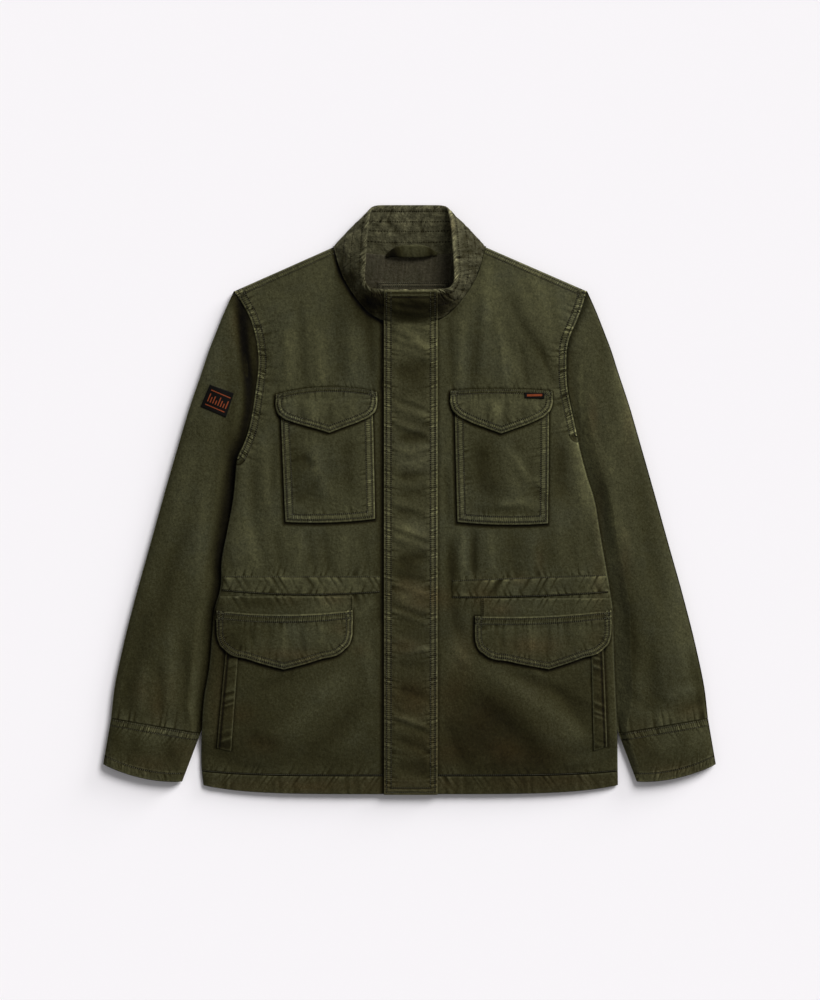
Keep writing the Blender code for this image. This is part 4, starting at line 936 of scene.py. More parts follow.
# Creases of each sleeve, in its own out and y
SLEEVE_CREASES = {
    # out0, y0, out1, y1, half width, height, bow
    LEFT: [
        (234.7, 271.4, 215.8, 146.9, 6.8, -2.6, 0.0),
        (245.6, 41.4, 276.7, -121.0, 5.4, -1.2, 0.0),
        (253.7, 230.8, 240.2, -26.2, 10.8, -1.1, 5.4),
        (276.7, 217.3, 297.0, 95.5, 12.2, 0.9, -4.1),
        (288.9, 82.0, 324.0, -80.4, 12.2, 1.0, -5.4),
        (302.4, -26.2, 340.3, -188.6, 10.8, -1.0, -5.4),
        (269.9, 41.4, 288.9, -134.5, 10.8, 1.0, -4.1),
        (351.1, -134.5, 378.2, -269.8, 12.2, -0.8, 0.0),
        (324.0, -161.5, 326.7, -291.4, 8.1, 1.0, 2.7),
        (343.0, -215.7, 337.6, -296.8, 6.8, -0.9, 2.7),
        (360.6, -215.7, 364.6, -291.4, 6.8, 0.9, 0.0),
        (305.1, -188.6, 305.1, -299.6, 6.8, -0.9, 2.7),
        (380.9, -242.7, 383.6, -291.4, 6.8, -0.7, 0.0),
        (291.6, -215.7, 294.3, -305.0, 6.8, 0.8, 0.0),
        (234.7, 95.5, 253.7, -26.2, 8.1, -1.0, 0.0),
        (337.6, 136.1, 357.9, 41.4, 10.8, -0.7, 0.0),
    ],
    RIGHT: [
        (257.7, 230.8, 276.7, 95.5, 10.8, -1.0, 4.1),
        (287.5, 190.2, 311.9, 68.5, 12.2, 0.8, 4.1),
        (265.9, 82.0, 295.6, -80.4, 10.8, 1.0, 4.1),
        (306.5, 41.4, 341.6, -134.5, 10.8, -0.8, 4.1),
        (282.1, -80.4, 311.9, -242.7, 10.8, -0.9, 4.1),
        (257.7, 41.4, 274.0, -80.4, 8.1, -1.0, 2.7),
        (349.8, -80.4, 379.5, -256.3, 12.2, 0.8, 2.7),
        (325.4, -188.6, 332.2, -291.4, 8.1, -0.8, 0.0),
        (306.5, -215.7, 311.9, -299.6, 6.8, 0.8, 0.0),
        (379.5, -202.1, 393.0, -277.9, 8.1, -0.9, 0.0),
        (344.3, -269.8, 393.0, -256.3, 8.1, 1.0, -2.7),
        (355.2, -291.4, 401.2, -272.5, 5.4, -0.9, -1.4),
        (295.6, -134.5, 301.0, -256.3, 8.1, -0.8, 0.0),
        (292.9, -256.3, 325.4, -286.0, 6.8, -0.7, 1.4),
    ],
}

# Creases of the chest pockets
POCKET_CREASES = [
    # x0, y0, x1, y1, half width, height, bow
    (-159.0, 82.0, -148.2, -6.0, 9.5, -0.8, 2.7),
    (-131.9, 82.0, -107.6, 0.8, 10.8, 0.9, 5.4),
    (-87.3, 82.0, -80.5, -6.0, 8.1, -0.7, 0.0),
    (-159.0, -6.0, -118.4, 27.9, 6.8, -0.8, 2.7),
    (-148.2, 61.7, -131.9, 41.4, 6.8, -0.9, 0.0),
    (129.2, 73.9, 183.3, 11.6, 6.8, 0.9, 5.4),
    (92.7, 82.0, 111.6, -6.0, 10.8, -0.8, 4.1),
    (122.4, 82.0, 149.5, -6.0, 8.1, 0.5, 4.1),
    (156.3, 52.2, 187.4, -10.0, 6.8, -0.9, 4.1),
    (81.9, -15.4, 176.6, -18.1, 5.4, -0.7, 0.0),
    (117.0, -7.3, 165.7, 0.8, 5.4, 0.8, 2.7),
]

# Creases of the flaps
FLAP_CREASES = [
    # x0, y0, x1, y1, half width, height, bow
    (-148.2, 130.7, -144.1, 103.6, 4.1, -0.7, 0.0),
    (-107.6, 130.7, -110.3, 98.2, 4.1, -0.8, 0.0),
    (-80.5, 130.7, -77.8, 103.6, 4.1, 0.6, 0.0),
    (-131.9, 130.7, -129.2, 98.2, 6.8, 0.7, 0.0),
    (103.5, 130.7, 100.8, 100.9, 4.1, -0.8, 0.0),
    (130.6, 133.4, 127.9, 98.2, 4.1, -0.9, 0.0),
    (117.0, 130.7, 115.7, 95.5, 6.8, 0.8, 0.0),
    (154.9, 130.7, 152.2, 103.6, 4.1, -0.6, 0.0),
    (171.2, 130.7, 168.4, 109.1, 5.4, 0.6, 0.0),
    (-215.8, -169.7, -210.4, -199.4, 4.1, -0.5, 0.0),
    (-188.7, -167.0, -191.4, -215.7, 5.4, -0.5, 0.0),
    (-169.8, -169.7, -171.2, -218.4, 5.4, 0.5, 0.0),
    (-148.2, -167.0, -142.7, -213.0, 4.1, -0.5, 0.0),
    (-118.4, -167.0, -121.1, -202.1, 5.4, 0.5, 0.0),
    (122.4, -167.0, 125.2, -202.1, 4.1, -0.5, 0.0),
    (144.1, -167.0, 141.4, -207.6, 4.1, -0.5, 0.0),
    (163.0, -167.0, 165.7, -215.7, 5.4, 0.5, 0.0),
    (187.4, -167.0, 184.7, -215.7, 4.1, -0.6, 0.0),
    (209.0, -164.3, 214.5, -202.1, 4.1, -0.5, 0.0),
    (233.4, -161.5, 230.7, -188.6, 5.4, 0.5, 0.0),
]

# Creases across the placket
PLACKET_CREASES = [
    # x0, y0, x1, y1, half width, height, bow
    (-29.1, 249.8, 33.1, 247.1, 6.8, -2.4, 2.7),
    (-23.7, 264.6, 27.7, 256.5, 3.4, -1.6, 1.4),
    (-18.3, 236.2, 30.4, 228.1, 4.1, 1.3, -1.4),
    (-29.1, 228.1, 3.4, 213.2, 4.1, -1.3, 0.0),
    (11.5, 220.0, 33.1, 209.2, 4.1, -1.0, 0.0),
    (-26.4, 224.1, 30.4, 201.1, 10.8, 1.4, -2.7),
    (-26.4, 174.0, 30.4, 184.8, 9.5, -1.6, 2.7),
    (-23.7, 138.8, 27.7, 146.9, 6.8, -0.8, 0.0),
    (-18.3, 82.0, 25.0, 90.1, 6.8, -1.5, 1.4),
    (-21.0, 61.7, 27.7, 71.2, 6.8, 1.1, 0.0),
    (-18.3, 30.6, 25.0, 36.0, 5.4, -1.3, 1.4),
    (-15.6, 3.5, 25.0, 14.3, 6.8, -1.0, 1.4),
    (-21.0, 44.1, 25.0, 52.2, 4.1, 0.8, 0.0),
    (-18.3, -15.4, 22.3, -20.8, 5.4, -0.9, 0.0),
    (-21.0, -42.5, 25.0, -39.8, 12.2, 1.0, 0.0),
    (-18.3, -83.1, 25.0, -75.0, 6.8, -1.8, 1.4),
    (-21.0, -102.0, 25.0, -110.1, 5.4, -1.2, 1.4),
    (-18.3, -134.5, 25.0, -123.7, 8.1, 0.9, 0.0),
    (-18.3, -158.8, 25.0, -167.0, 6.8, -0.8, 0.0),
    (-10.1, -208.9, 27.7, -199.4, 4.1, 0.8, 0.0),
    (-18.3, -221.1, 25.0, -226.5, 6.8, -1.0, 0.0),
    (-18.3, -256.3, 25.0, -267.1, 8.1, -1.0, 0.0),
    (-15.6, -291.4, 25.0, -299.6, 5.4, 0.9, 0.0),
    (-21.0, -321.2, 25.0, -329.3, 8.1, -0.8, 0.0),
    (-18.3, -364.5, 25.0, -356.4, 6.8, -1.0, 0.0),
    (-21.0, -380.7, 27.7, -378.0, 5.4, 0.6, 0.0),
    (-21.0, 109.1, 27.7, 114.5, 6.8, 0.7, 0.0),
]

# Places where the cloth is lighter, or darker where the amount is negative. Most are the cloth's own mottling; the
# dark places marked below are painted shade.
TONE_AND_PAINTED_SHADE_SPOTS = [
    # x, y, half width, half height, amount
    (-107.6, 230.8, 81.2, 60.9, 0.11),
    (-148.2, 203.8, 13.5, 40.6, 0.16),
    (-140.0, 201.1, 9.5, 29.8, -0.14),
    (-80.5, 197.0, 18.9, 40.6, -0.08),
    (-50.7, 224.1, 9.5, 60.9, -0.3),
    (149.5, 271.4, 94.7, 60.9, 0.16),
    (203.6, 271.4, 33.8, 40.6, 0.16),
    (88.6, 203.8, 13.5, 47.4, -0.19),
    (176.6, 230.8, 16.2, 47.4, -0.14),
    (54.8, 217.3, 10.8, 67.7, -0.11),
    (-87.3, 271.4, 21.6, 37.9, -0.14),
    (-64.3, 247.1, 21.6, 18.9, -0.41),
    (-148.2, -183.2, 83.9, 29.8, 0.15),
    (183.3, -180.5, 81.2, 29.8, 0.18),
    (355.2, -330.7, 48.7, 32.5, 0.16),
    (-337.6, -317.1, 48.7, 16.2, 0.22),
    (163.0, -73.6, 67.7, 32.5, -0.11),
    (3.4, 190.2, 27.1, 81.2, -0.08),
    (3.4, 0.8, 27.1, 108.2, -0.07),
    # Painted shade on the placket under the collar's front
    (3.4, 259.2, 32.5, 12.2, -1.15),
    (-107.6, 312.0, 18.9, 32.5, 0.11),
    (-94.0, 339.1, 13.5, 27.1, 0.14),
    (-2.0, 386.4, 54.1, 13.5, 0.11),
    (-2.0, 352.6, 54.1, 16.2, 0.05),
    (6.1, 210.5, 23.0, 16.2, 0.11),
    (8.8, 165.9, 24.4, 16.2, -0.35),
    (8.8, 82.0, 18.9, 6.8, -0.3),
    (14.2, 45.5, 13.5, 10.8, 0.19),
    (0.7, 31.9, 13.5, 6.8, -0.27),
    (-2.0, -43.8, 18.9, 16.2, 0.3),
    (-2.0, -91.2, 18.9, 12.2, -0.51),
    (6.1, -121.0, 18.9, 10.8, 0.07),
    (11.5, -202.1, 16.2, 4.1, 0.22),
    (0.7, -263.0, 20.3, 18.9, -0.22),
    (6.1, -299.6, 16.2, 8.1, 0.24),
    (19.6, -365.9, 16.2, 9.5, -0.47),
    (6.1, -330.7, 18.9, 13.5, -0.14),
    (-131.9, 122.6, 35.2, 13.5, 0.19),
    (114.3, 119.9, 29.8, 13.5, 0.3),
    (163.0, 125.3, 21.6, 10.8, 0.11),
    (-149.5, 54.9, 16.2, 6.8, -0.3),
    (-123.8, 0.8, 12.2, 9.5, -0.19),
    (-159.0, 86.1, 12.2, 6.8, -0.19),
    (-77.8, 71.2, 10.8, 8.1, -0.14),
    (-153.6, 11.6, 9.5, 12.2, -0.16),
    (-102.2, 57.6, 12.2, 5.4, 0.11),
    (-107.6, 27.9, 32.5, 29.8, -0.08),
    (-118.4, 41.4, 54.1, 60.9, -0.14),
    (-87.3, 0.8, 21.6, 18.9, 0.08),
    (-148.2, 0.8, 16.2, 13.5, 0.14),
    (98.1, 41.4, 20.3, 46.0, -0.2),
    (130.6, 41.4, 54.1, 60.9, -0.2),
    (100.8, 61.7, 10.8, 13.5, -0.16),
    (117.0, 17.0, 13.5, 9.5, -0.16),
    (149.5, 68.5, 10.8, 8.1, -0.14),
    (157.6, 41.4, 16.2, 21.6, 0.16),
    (165.7, -10.0, 21.6, 8.1, 0.16),
    (199.6, 34.6, 13.5, 54.1, -0.27),
    (237.5, 27.9, 12.2, 81.2, 0.22),
    (257.7, -80.4, 12.2, 40.6, 0.16),
    (203.6, -60.1, 27.1, 32.5, -0.16),
    (149.5, -66.8, 40.6, 29.8, -0.05),
    (57.5, -100.7, 8.1, 40.6, -0.41),
    (87.3, -80.4, 5.4, 32.5, -0.35),
    (72.4, -80.4, 5.4, 32.5, 0.14),
    (-215.8, -53.3, 18.9, 48.7, 0.16),
    (-121.1, -66.8, 54.1, 29.8, 0.08),
    (-232.0, -12.7, 13.5, 81.2, 0.16),
    (-234.7, -195.4, 16.2, 24.4, -0.41),
    (-205.0, -177.8, 21.6, 10.8, -0.14),
    (-148.2, -172.4, 32.5, 10.8, 0.08),
    (-107.6, -158.8, 40.6, 8.1, 0.22),
    (-245.6, -121.0, 16.2, 12.2, -0.14),
    (-87.3, -115.5, 32.5, 9.5, 0.22),
    (-199.6, -138.5, 35.2, 6.8, -0.27),
    (-53.4, -121.0, 10.8, 12.2, -0.14),
    (122.4, -172.4, 18.9, 10.8, 0.14),
    (203.6, -188.6, 27.1, 10.8, -0.08),
    (244.2, -134.5, 18.9, 10.8, 0.11),
    (149.5, -131.8, 27.1, 5.4, -0.22),
    (81.9, -141.3, 10.8, 10.8, -0.22),
    (61.6, -161.5, 10.8, 18.9, -0.14),
    (-161.7, -121.0, 67.7, 10.8, 0.14),
    (-107.6, -145.3, 35.2, 9.5, 0.35),
    (-215.8, -141.3, 29.8, 9.5, -0.16),
    (-148.2, -142.6, 16.2, 8.1, -0.07),
    (108.9, -123.7, 18.9, 10.8, -0.22),
    (203.6, -121.0, 54.1, 10.8, -0.08),
    (163.0, -145.3, 67.7, 8.1, 0.08),
    (-107.6, -188.6, 40.6, 18.9, 0.16),
    (-188.7, -195.4, 35.2, 18.9, 0.11),
    (-248.3, -188.6, 10.8, 27.1, -0.16),
    (176.6, -188.6, 54.1, 21.6, 0.08),
    (108.9, -188.6, 13.5, 13.5, -0.07),
    (-114.3, -256.3, 46.0, 18.9, 0.08),
    (-64.3, -202.1, 18.9, 40.6, 0.14),
    (-215.8, -296.8, 40.6, 40.6, -0.22),
    (-148.2, -351.0, 81.2, 18.9, -0.22),
    (-80.5, -330.7, 32.5, 27.1, 0.03),
    (-249.6, -344.2, 21.6, 16.2, -0.24),
    (98.1, -317.1, 46.0, 46.0, -0.68),
    (163.0, -361.8, 67.7, 21.6, -0.57),
    (163.0, -276.6, 46.0, 18.9, 0.04),
    (217.2, -317.1, 40.6, 18.9, 0.14),
    (122.4, -229.2, 35.2, 16.2, 0.03),
    (57.5, -215.7, 10.8, 21.6, 0.24),
    (230.7, -256.3, 21.6, 27.1, -0.14),
    (61.6, -256.3, 13.5, 29.8, -0.19),
    (252.3, -344.2, 27.1, 18.9, -0.08),
    (-310.5, 109.1, 35.2, 81.2, -0.08),
    (-324.0, -80.4, 35.2, 81.2, -0.05),
    (-337.6, -256.3, 40.6, 40.6, 0.03),
    # The next six rows darken the left sleeve beside the body's edge with painted shadow, with one lighter strip along
    # the seam
    (-225.3, 228.1, 6.1, 40.6, -1.01),
    (-219.9, 174.0, 6.1, 35.2, -0.81),
    (-221.2, 176.7, 16.2, 81.2, -0.27),
    (-211.7, 210.5, 4.1, 40.6, 0.34),
    (-240.2, 27.9, 13.5, 67.7, -0.41),
    (-260.5, -134.5, 10.8, 121.8, -0.35),
    (287.5, 163.2, 32.5, 81.2, 0.19),
    (311.9, -26.2, 40.6, 94.7, 0.07),
    (366.0, -26.2, 16.2, 121.8, 0.16),
    (295.6, -188.6, 16.2, 81.2, -0.14),
    (383.6, -188.6, 18.9, 40.6, 0.16),
    (352.5, -291.4, 27.1, 10.8, 0.27),
    (-351.1, -330.7, 35.2, 18.9, -0.03),
    (-310.5, -340.1, 24.4, 18.9, -0.11),
    (379.5, -321.2, 27.1, 13.5, 0.19),
    (318.6, -344.2, 18.9, 18.9, -0.11),
    (359.2, -353.7, 35.2, 8.1, -0.08),
    # This last group darkens the cloth round the collar's lower front with painted shade; its few faint spots are the
    # cloth's own tone
    (-77.8, 293.1, 10.8, 21.6, -0.68),
    (-53.4, 267.4, 21.6, 10.8, -0.94),
    (-94.0, 314.7, 6.8, 18.9, -0.61),
    (-50.7, 263.3, 17.6, 13.5, -0.81),
    (42.6, 264.6, 12.2, 13.5, -0.54),
    (33.1, 263.3, 8.1, 16.2, -0.68),
    (-31.8, 263.3, 6.8, 16.2, -0.34),
    (0.7, 271.4, 35.2, 8.1, -0.47),
    (49.4, 266.0, 16.2, 12.2, -0.61),
    (-88.6, 322.8, 10.8, 27.1, -0.05),
    (62.9, 359.4, 12.2, 46.0, 0.08),
    (71.0, 322.8, 12.2, 27.1, 0.03),
    (-72.4, 339.1, 16.2, 29.8, -0.03),
    (-80.5, 295.8, 16.2, 21.6, -0.3),
    (-50.7, 271.4, 13.5, 13.5, -0.47),
    (52.1, 271.4, 13.5, 12.2, -0.41),
]

# Places where the dye has turned brown
STAIN_SPOTS = [
    # x, y, half width, half height, amount
    (-234.7, 241.6, 8.1, 35.2, 0.57),
    (14.2, -131.8, 32.5, 16.2, 0.75),
    (-12.9, -114.2, 18.9, 10.8, 0.57),
    (-8.8, -198.1, 18.9, 9.5, 0.57),
    (-2.0, -269.8, 27.1, 21.6, 0.86),
    (48.0, -134.5, 16.2, 13.5, 0.46),
    (72.4, -222.4, 16.2, 35.2, 0.75),
    (57.5, -269.8, 18.9, 29.8, 0.57),
    (54.8, -340.1, 35.2, 18.9, 0.86),
    (98.1, -294.1, 24.4, 24.4, 0.57),
    (129.2, -340.1, 29.8, 18.9, 0.8),
    (176.6, -346.9, 27.1, 13.5, 0.57),
    (165.7, -198.1, 35.2, 13.5, 0.92),
    (98.1, -126.4, 16.2, 16.2, 0.92),
    (122.4, -148.0, 18.9, 9.5, 0.57),
    (149.5, -107.4, 13.5, 8.1, 0.4),
    (176.6, -80.4, 6.8, 21.6, 0.4),
    (255.0, -134.5, 8.1, 54.1, 0.4),
    (260.5, -256.3, 8.1, 40.6, 0.46),
    (251.0, -188.6, 13.5, 8.1, 0.46),
    (-94.0, -172.4, 13.5, 10.8, 0.57),
    (-99.4, -134.5, 18.9, 9.5, 0.63),
    (-161.7, -134.5, 13.5, 6.8, 0.46),
    (-253.7, -215.7, 8.1, 40.6, 0.46),
    (-177.9, -208.9, 54.1, 8.1, 0.52),
    (-226.6, -290.1, 21.6, 13.5, 0.69),
    (-199.6, -330.7, 24.4, 13.5, 0.57),
    (-263.2, -269.8, 10.8, 40.6, 0.46),
    (-134.6, -215.7, 21.6, 8.1, 0.4),
    (-67.0, -202.1, 13.5, 8.1, 0.46),
    (-341.6, -273.8, 10.8, 27.1, 0.69),
    (-364.6, -256.3, 10.8, 18.9, 0.46),
    (-321.3, -256.3, 10.8, 21.6, 0.34),
    (-351.1, -357.7, 48.7, 13.5, 0.57),
    (-303.7, -344.2, 18.9, 18.9, 0.57),
    (291.6, -80.4, 8.1, 40.6, 0.4),
    (295.6, 95.5, 6.8, 35.2, 0.46),
    (382.2, -286.0, 24.4, 10.8, 0.69),
    (311.9, -323.9, 18.9, 21.6, 0.34),
    (359.2, -364.5, 35.2, 10.8, 0.57),
    (257.7, 0.8, 6.8, 40.6, 0.34),
    (248.3, 109.1, 6.8, 32.5, 0.57),
    (0.7, -387.5, 284.1, 12.2, 0.63),
    (-148.2, -387.5, 81.2, 8.1, 0.34),
    (203.6, -378.0, 67.7, 8.1, 0.34),
    (57.5, 368.8, 5.4, 10.8, 0.46),
    (-2.0, 309.3, 48.7, 18.9, 0.34),
    (149.5, -290.1, 81.2, 54.1, 0.23),
    (14.2, -310.4, 27.1, 54.1, 0.29),
]


LOOK_KEYS = ("tone", "stain", "first", "second", "run", "stitch")


class Look:
    """The fine height of a piece and what its cloth's shader reads: wear, painted shade and light, stains and stitched
    rows.
    """

    def __init__(self, x, y, creases=(), gain=1.2):
        self.height = gain * creases_at(x, y, creases)
        # The tone follows the creases: lighter ridges as wear, painted shade in the troughs.
        self.tone = cloth_tone_and_painted_shade(x, y) + CREASE_TONE * self.height
        self.stain = spots_at(x, y, STAIN_SPOTS)
        self.first = np.full(np.shape(x), NO_ROW)
        self.second = np.full(np.shape(x), NO_ROW)
        self.run = np.zeros(np.shape(x))
        self.stitch = np.ones(np.shape(x))

    def attributes(self):
        return {key: getattr(self, key) for key in LOOK_KEYS}

    def rows(self, distance, run, rows):
        """One stitched row, or two with rungs between them, at their distances from a line."""
        second = distance - rows[1] if len(rows) > 1 else np.full(distance.shape, NO_ROW)
        nearest = np.minimum(np.abs(distance - rows[0]), np.abs(second))
        nearer = nearest < np.minimum(np.abs(self.first), np.abs(self.second))
        self.first = np.where(nearer, distance - rows[0], self.first)
        self.second = np.where(nearer, second, self.second)
        self.run = np.where(nearer, run, self.run)

    def band(self, distance, run, rows, seed, ladder, pucker, reach, period, slant):
        """Small folds between the rows, and puckers that fade out beyond them, with painted shade in their troughs."""
        last = max(rows) if rows else 0.0
        within = smooth((last + 1.4 - distance) / 1.4)
        rung = uneven(run + 0.3 * distance, 5.4, seed) * within * smooth(distance / 1.2)
        fan = uneven(run + slant * distance, period, seed + 1.7, True) * (1.0 - within)
        fan = fan * np.exp(-np.maximum(distance - last, 0.0) / reach)
        self.height += ladder * rung + pucker * fan
        # Tone follows the rungs and puckers: lighter crests as wear, painted shade in the troughs, and the band within
        # the rows worn lighter.
        self.tone += 1.1 * ladder * rung + 0.16 * within + 0.9 * pucker * fan
        if rows:
            self.rows(distance, run, rows)

    def seam(self, distance, run, rows=(), seed=0.0, ladder=0.25, pucker=0.4, reach=7.0, period=8.0, slant=0.0,
             light=0.5):
        """A seam: a dip at its line, a worn ridge beside it, its rows and its puckers."""
        self.height -= 0.5 * bell(distance, 0.9)
        self.tone += light * bell(distance, 1.0, 1.3) - 0.5 * bell(distance, 0.8)
        self.band(distance, run, rows, seed, ladder, pucker, reach, period, slant)

    def edge(self, distance, run, thickness, rows, seed, ladder=0.3, bead=0.35, pucker=0.4, light=0.5):
        """A folded and stitched edge: rounded, thicker as far as its inner row, and worn light at its fold."""
        self.height += bead * smooth((max(rows) + 1.4 - distance) / 1.4)
        self.height -= 0.6 * thickness * (1.0 - roll(distance, EDGE_ROUND))
        self.tone += light * bell(distance, 1.1, 0.8) * (1.0 + 0.5 * uneven(run, 5.0, seed + 2.0))
        middle = 0.5 * (rows[0] + max(rows))
        self.tone += 0.28 * bell(distance, 1.5, middle) * (1.0 + 0.8 * uneven(run, 4.6, seed + 5.0))
        self.band(distance, run, rows, seed, ladder, pucker, 6.0, 8.5, 0.2)

    def crevice_with_painted_shadow(self, x, y, outline, depth=0.8, dark=0.9, half_width=2.2, shadow_shift=(-1.1, -1.7)):
        """Cloth pressed down beside the left and lower edges of what lies on it, with painted shadow there: the line
        is moved down and to the left, away from the light.
        """
        distance, _ = near_line(x - shadow_shift[0], y - shadow_shift[1], outline)
        hollow_shade = bell(distance, half_width)
        self.height -= depth * hollow_shade
        # Painted shadow, as strong as dark.
        self.tone -= dark * hollow_shade


# ---- Materials ----


class Nodes:
    """A short way to build a shader's nodes."""

    def __init__(self, name):
        self.material = bpy.data.materials.new(name)
        self.material.use_nodes = True
        self.tree = self.material.node_tree
        self.shader = self.tree.nodes["Principled BSDF"]

    def add(self, kind, settings=(), **inputs):
        node = self.tree.nodes.new(kind)
        for key, value in dict(settings).items():
            setattr(node, key, value)
        for key, value in inputs.items():
            self.set(node, key, value)
        return node

    def set(self, node, key, value):
        socket = node.inputs[int(key[1:])] if key[0] == "i" and key[1:].isdigit() else node.inputs[key]
        if isinstance(value, bpy.types.NodeSocket):
            self.tree.links.new(value, socket)
        else:
            socket.default_value = value

    def math(self, operation, a, b=0.0, clamp=False):
        node = self.add("ShaderNodeMath", {"operation": operation, "use_clamp": clamp}, i0=a, i1=b)
        return node.outputs[0]

    def noise(self, vector, scale, detail=2.0, roughness=0.5):
        node = self.add("ShaderNodeTexNoise", Vector=vector, Scale=scale, Detail=detail, Roughness=roughness)
        return node.outputs["Fac"]

    def stretched(self, vector, scale, turn=0.0):
        node = self.add("ShaderNodeMapping", Vector=vector, Scale=scale, Rotation=(0.0, 0.0, turn))
        return node.outputs["Vector"]

    def mixed(self, factor, a, b):
        node = self.add("ShaderNodeMix", {"data_type": "RGBA"}, i0=factor)
        self.set(node, "i6", a)
        self.set(node, "i7", b)
        return node.outputs[2]

    def range(self, value, low, high, out_low, out_high):
        node = self.add("ShaderNodeMapRange", i0=value, i1=low, i2=high, i3=out_low, i4=out_high)
        return node.outputs[0]

    def attribute(self, name):
        return self.add("ShaderNodeAttribute", {"attribute_name": name}).outputs["Fac"]


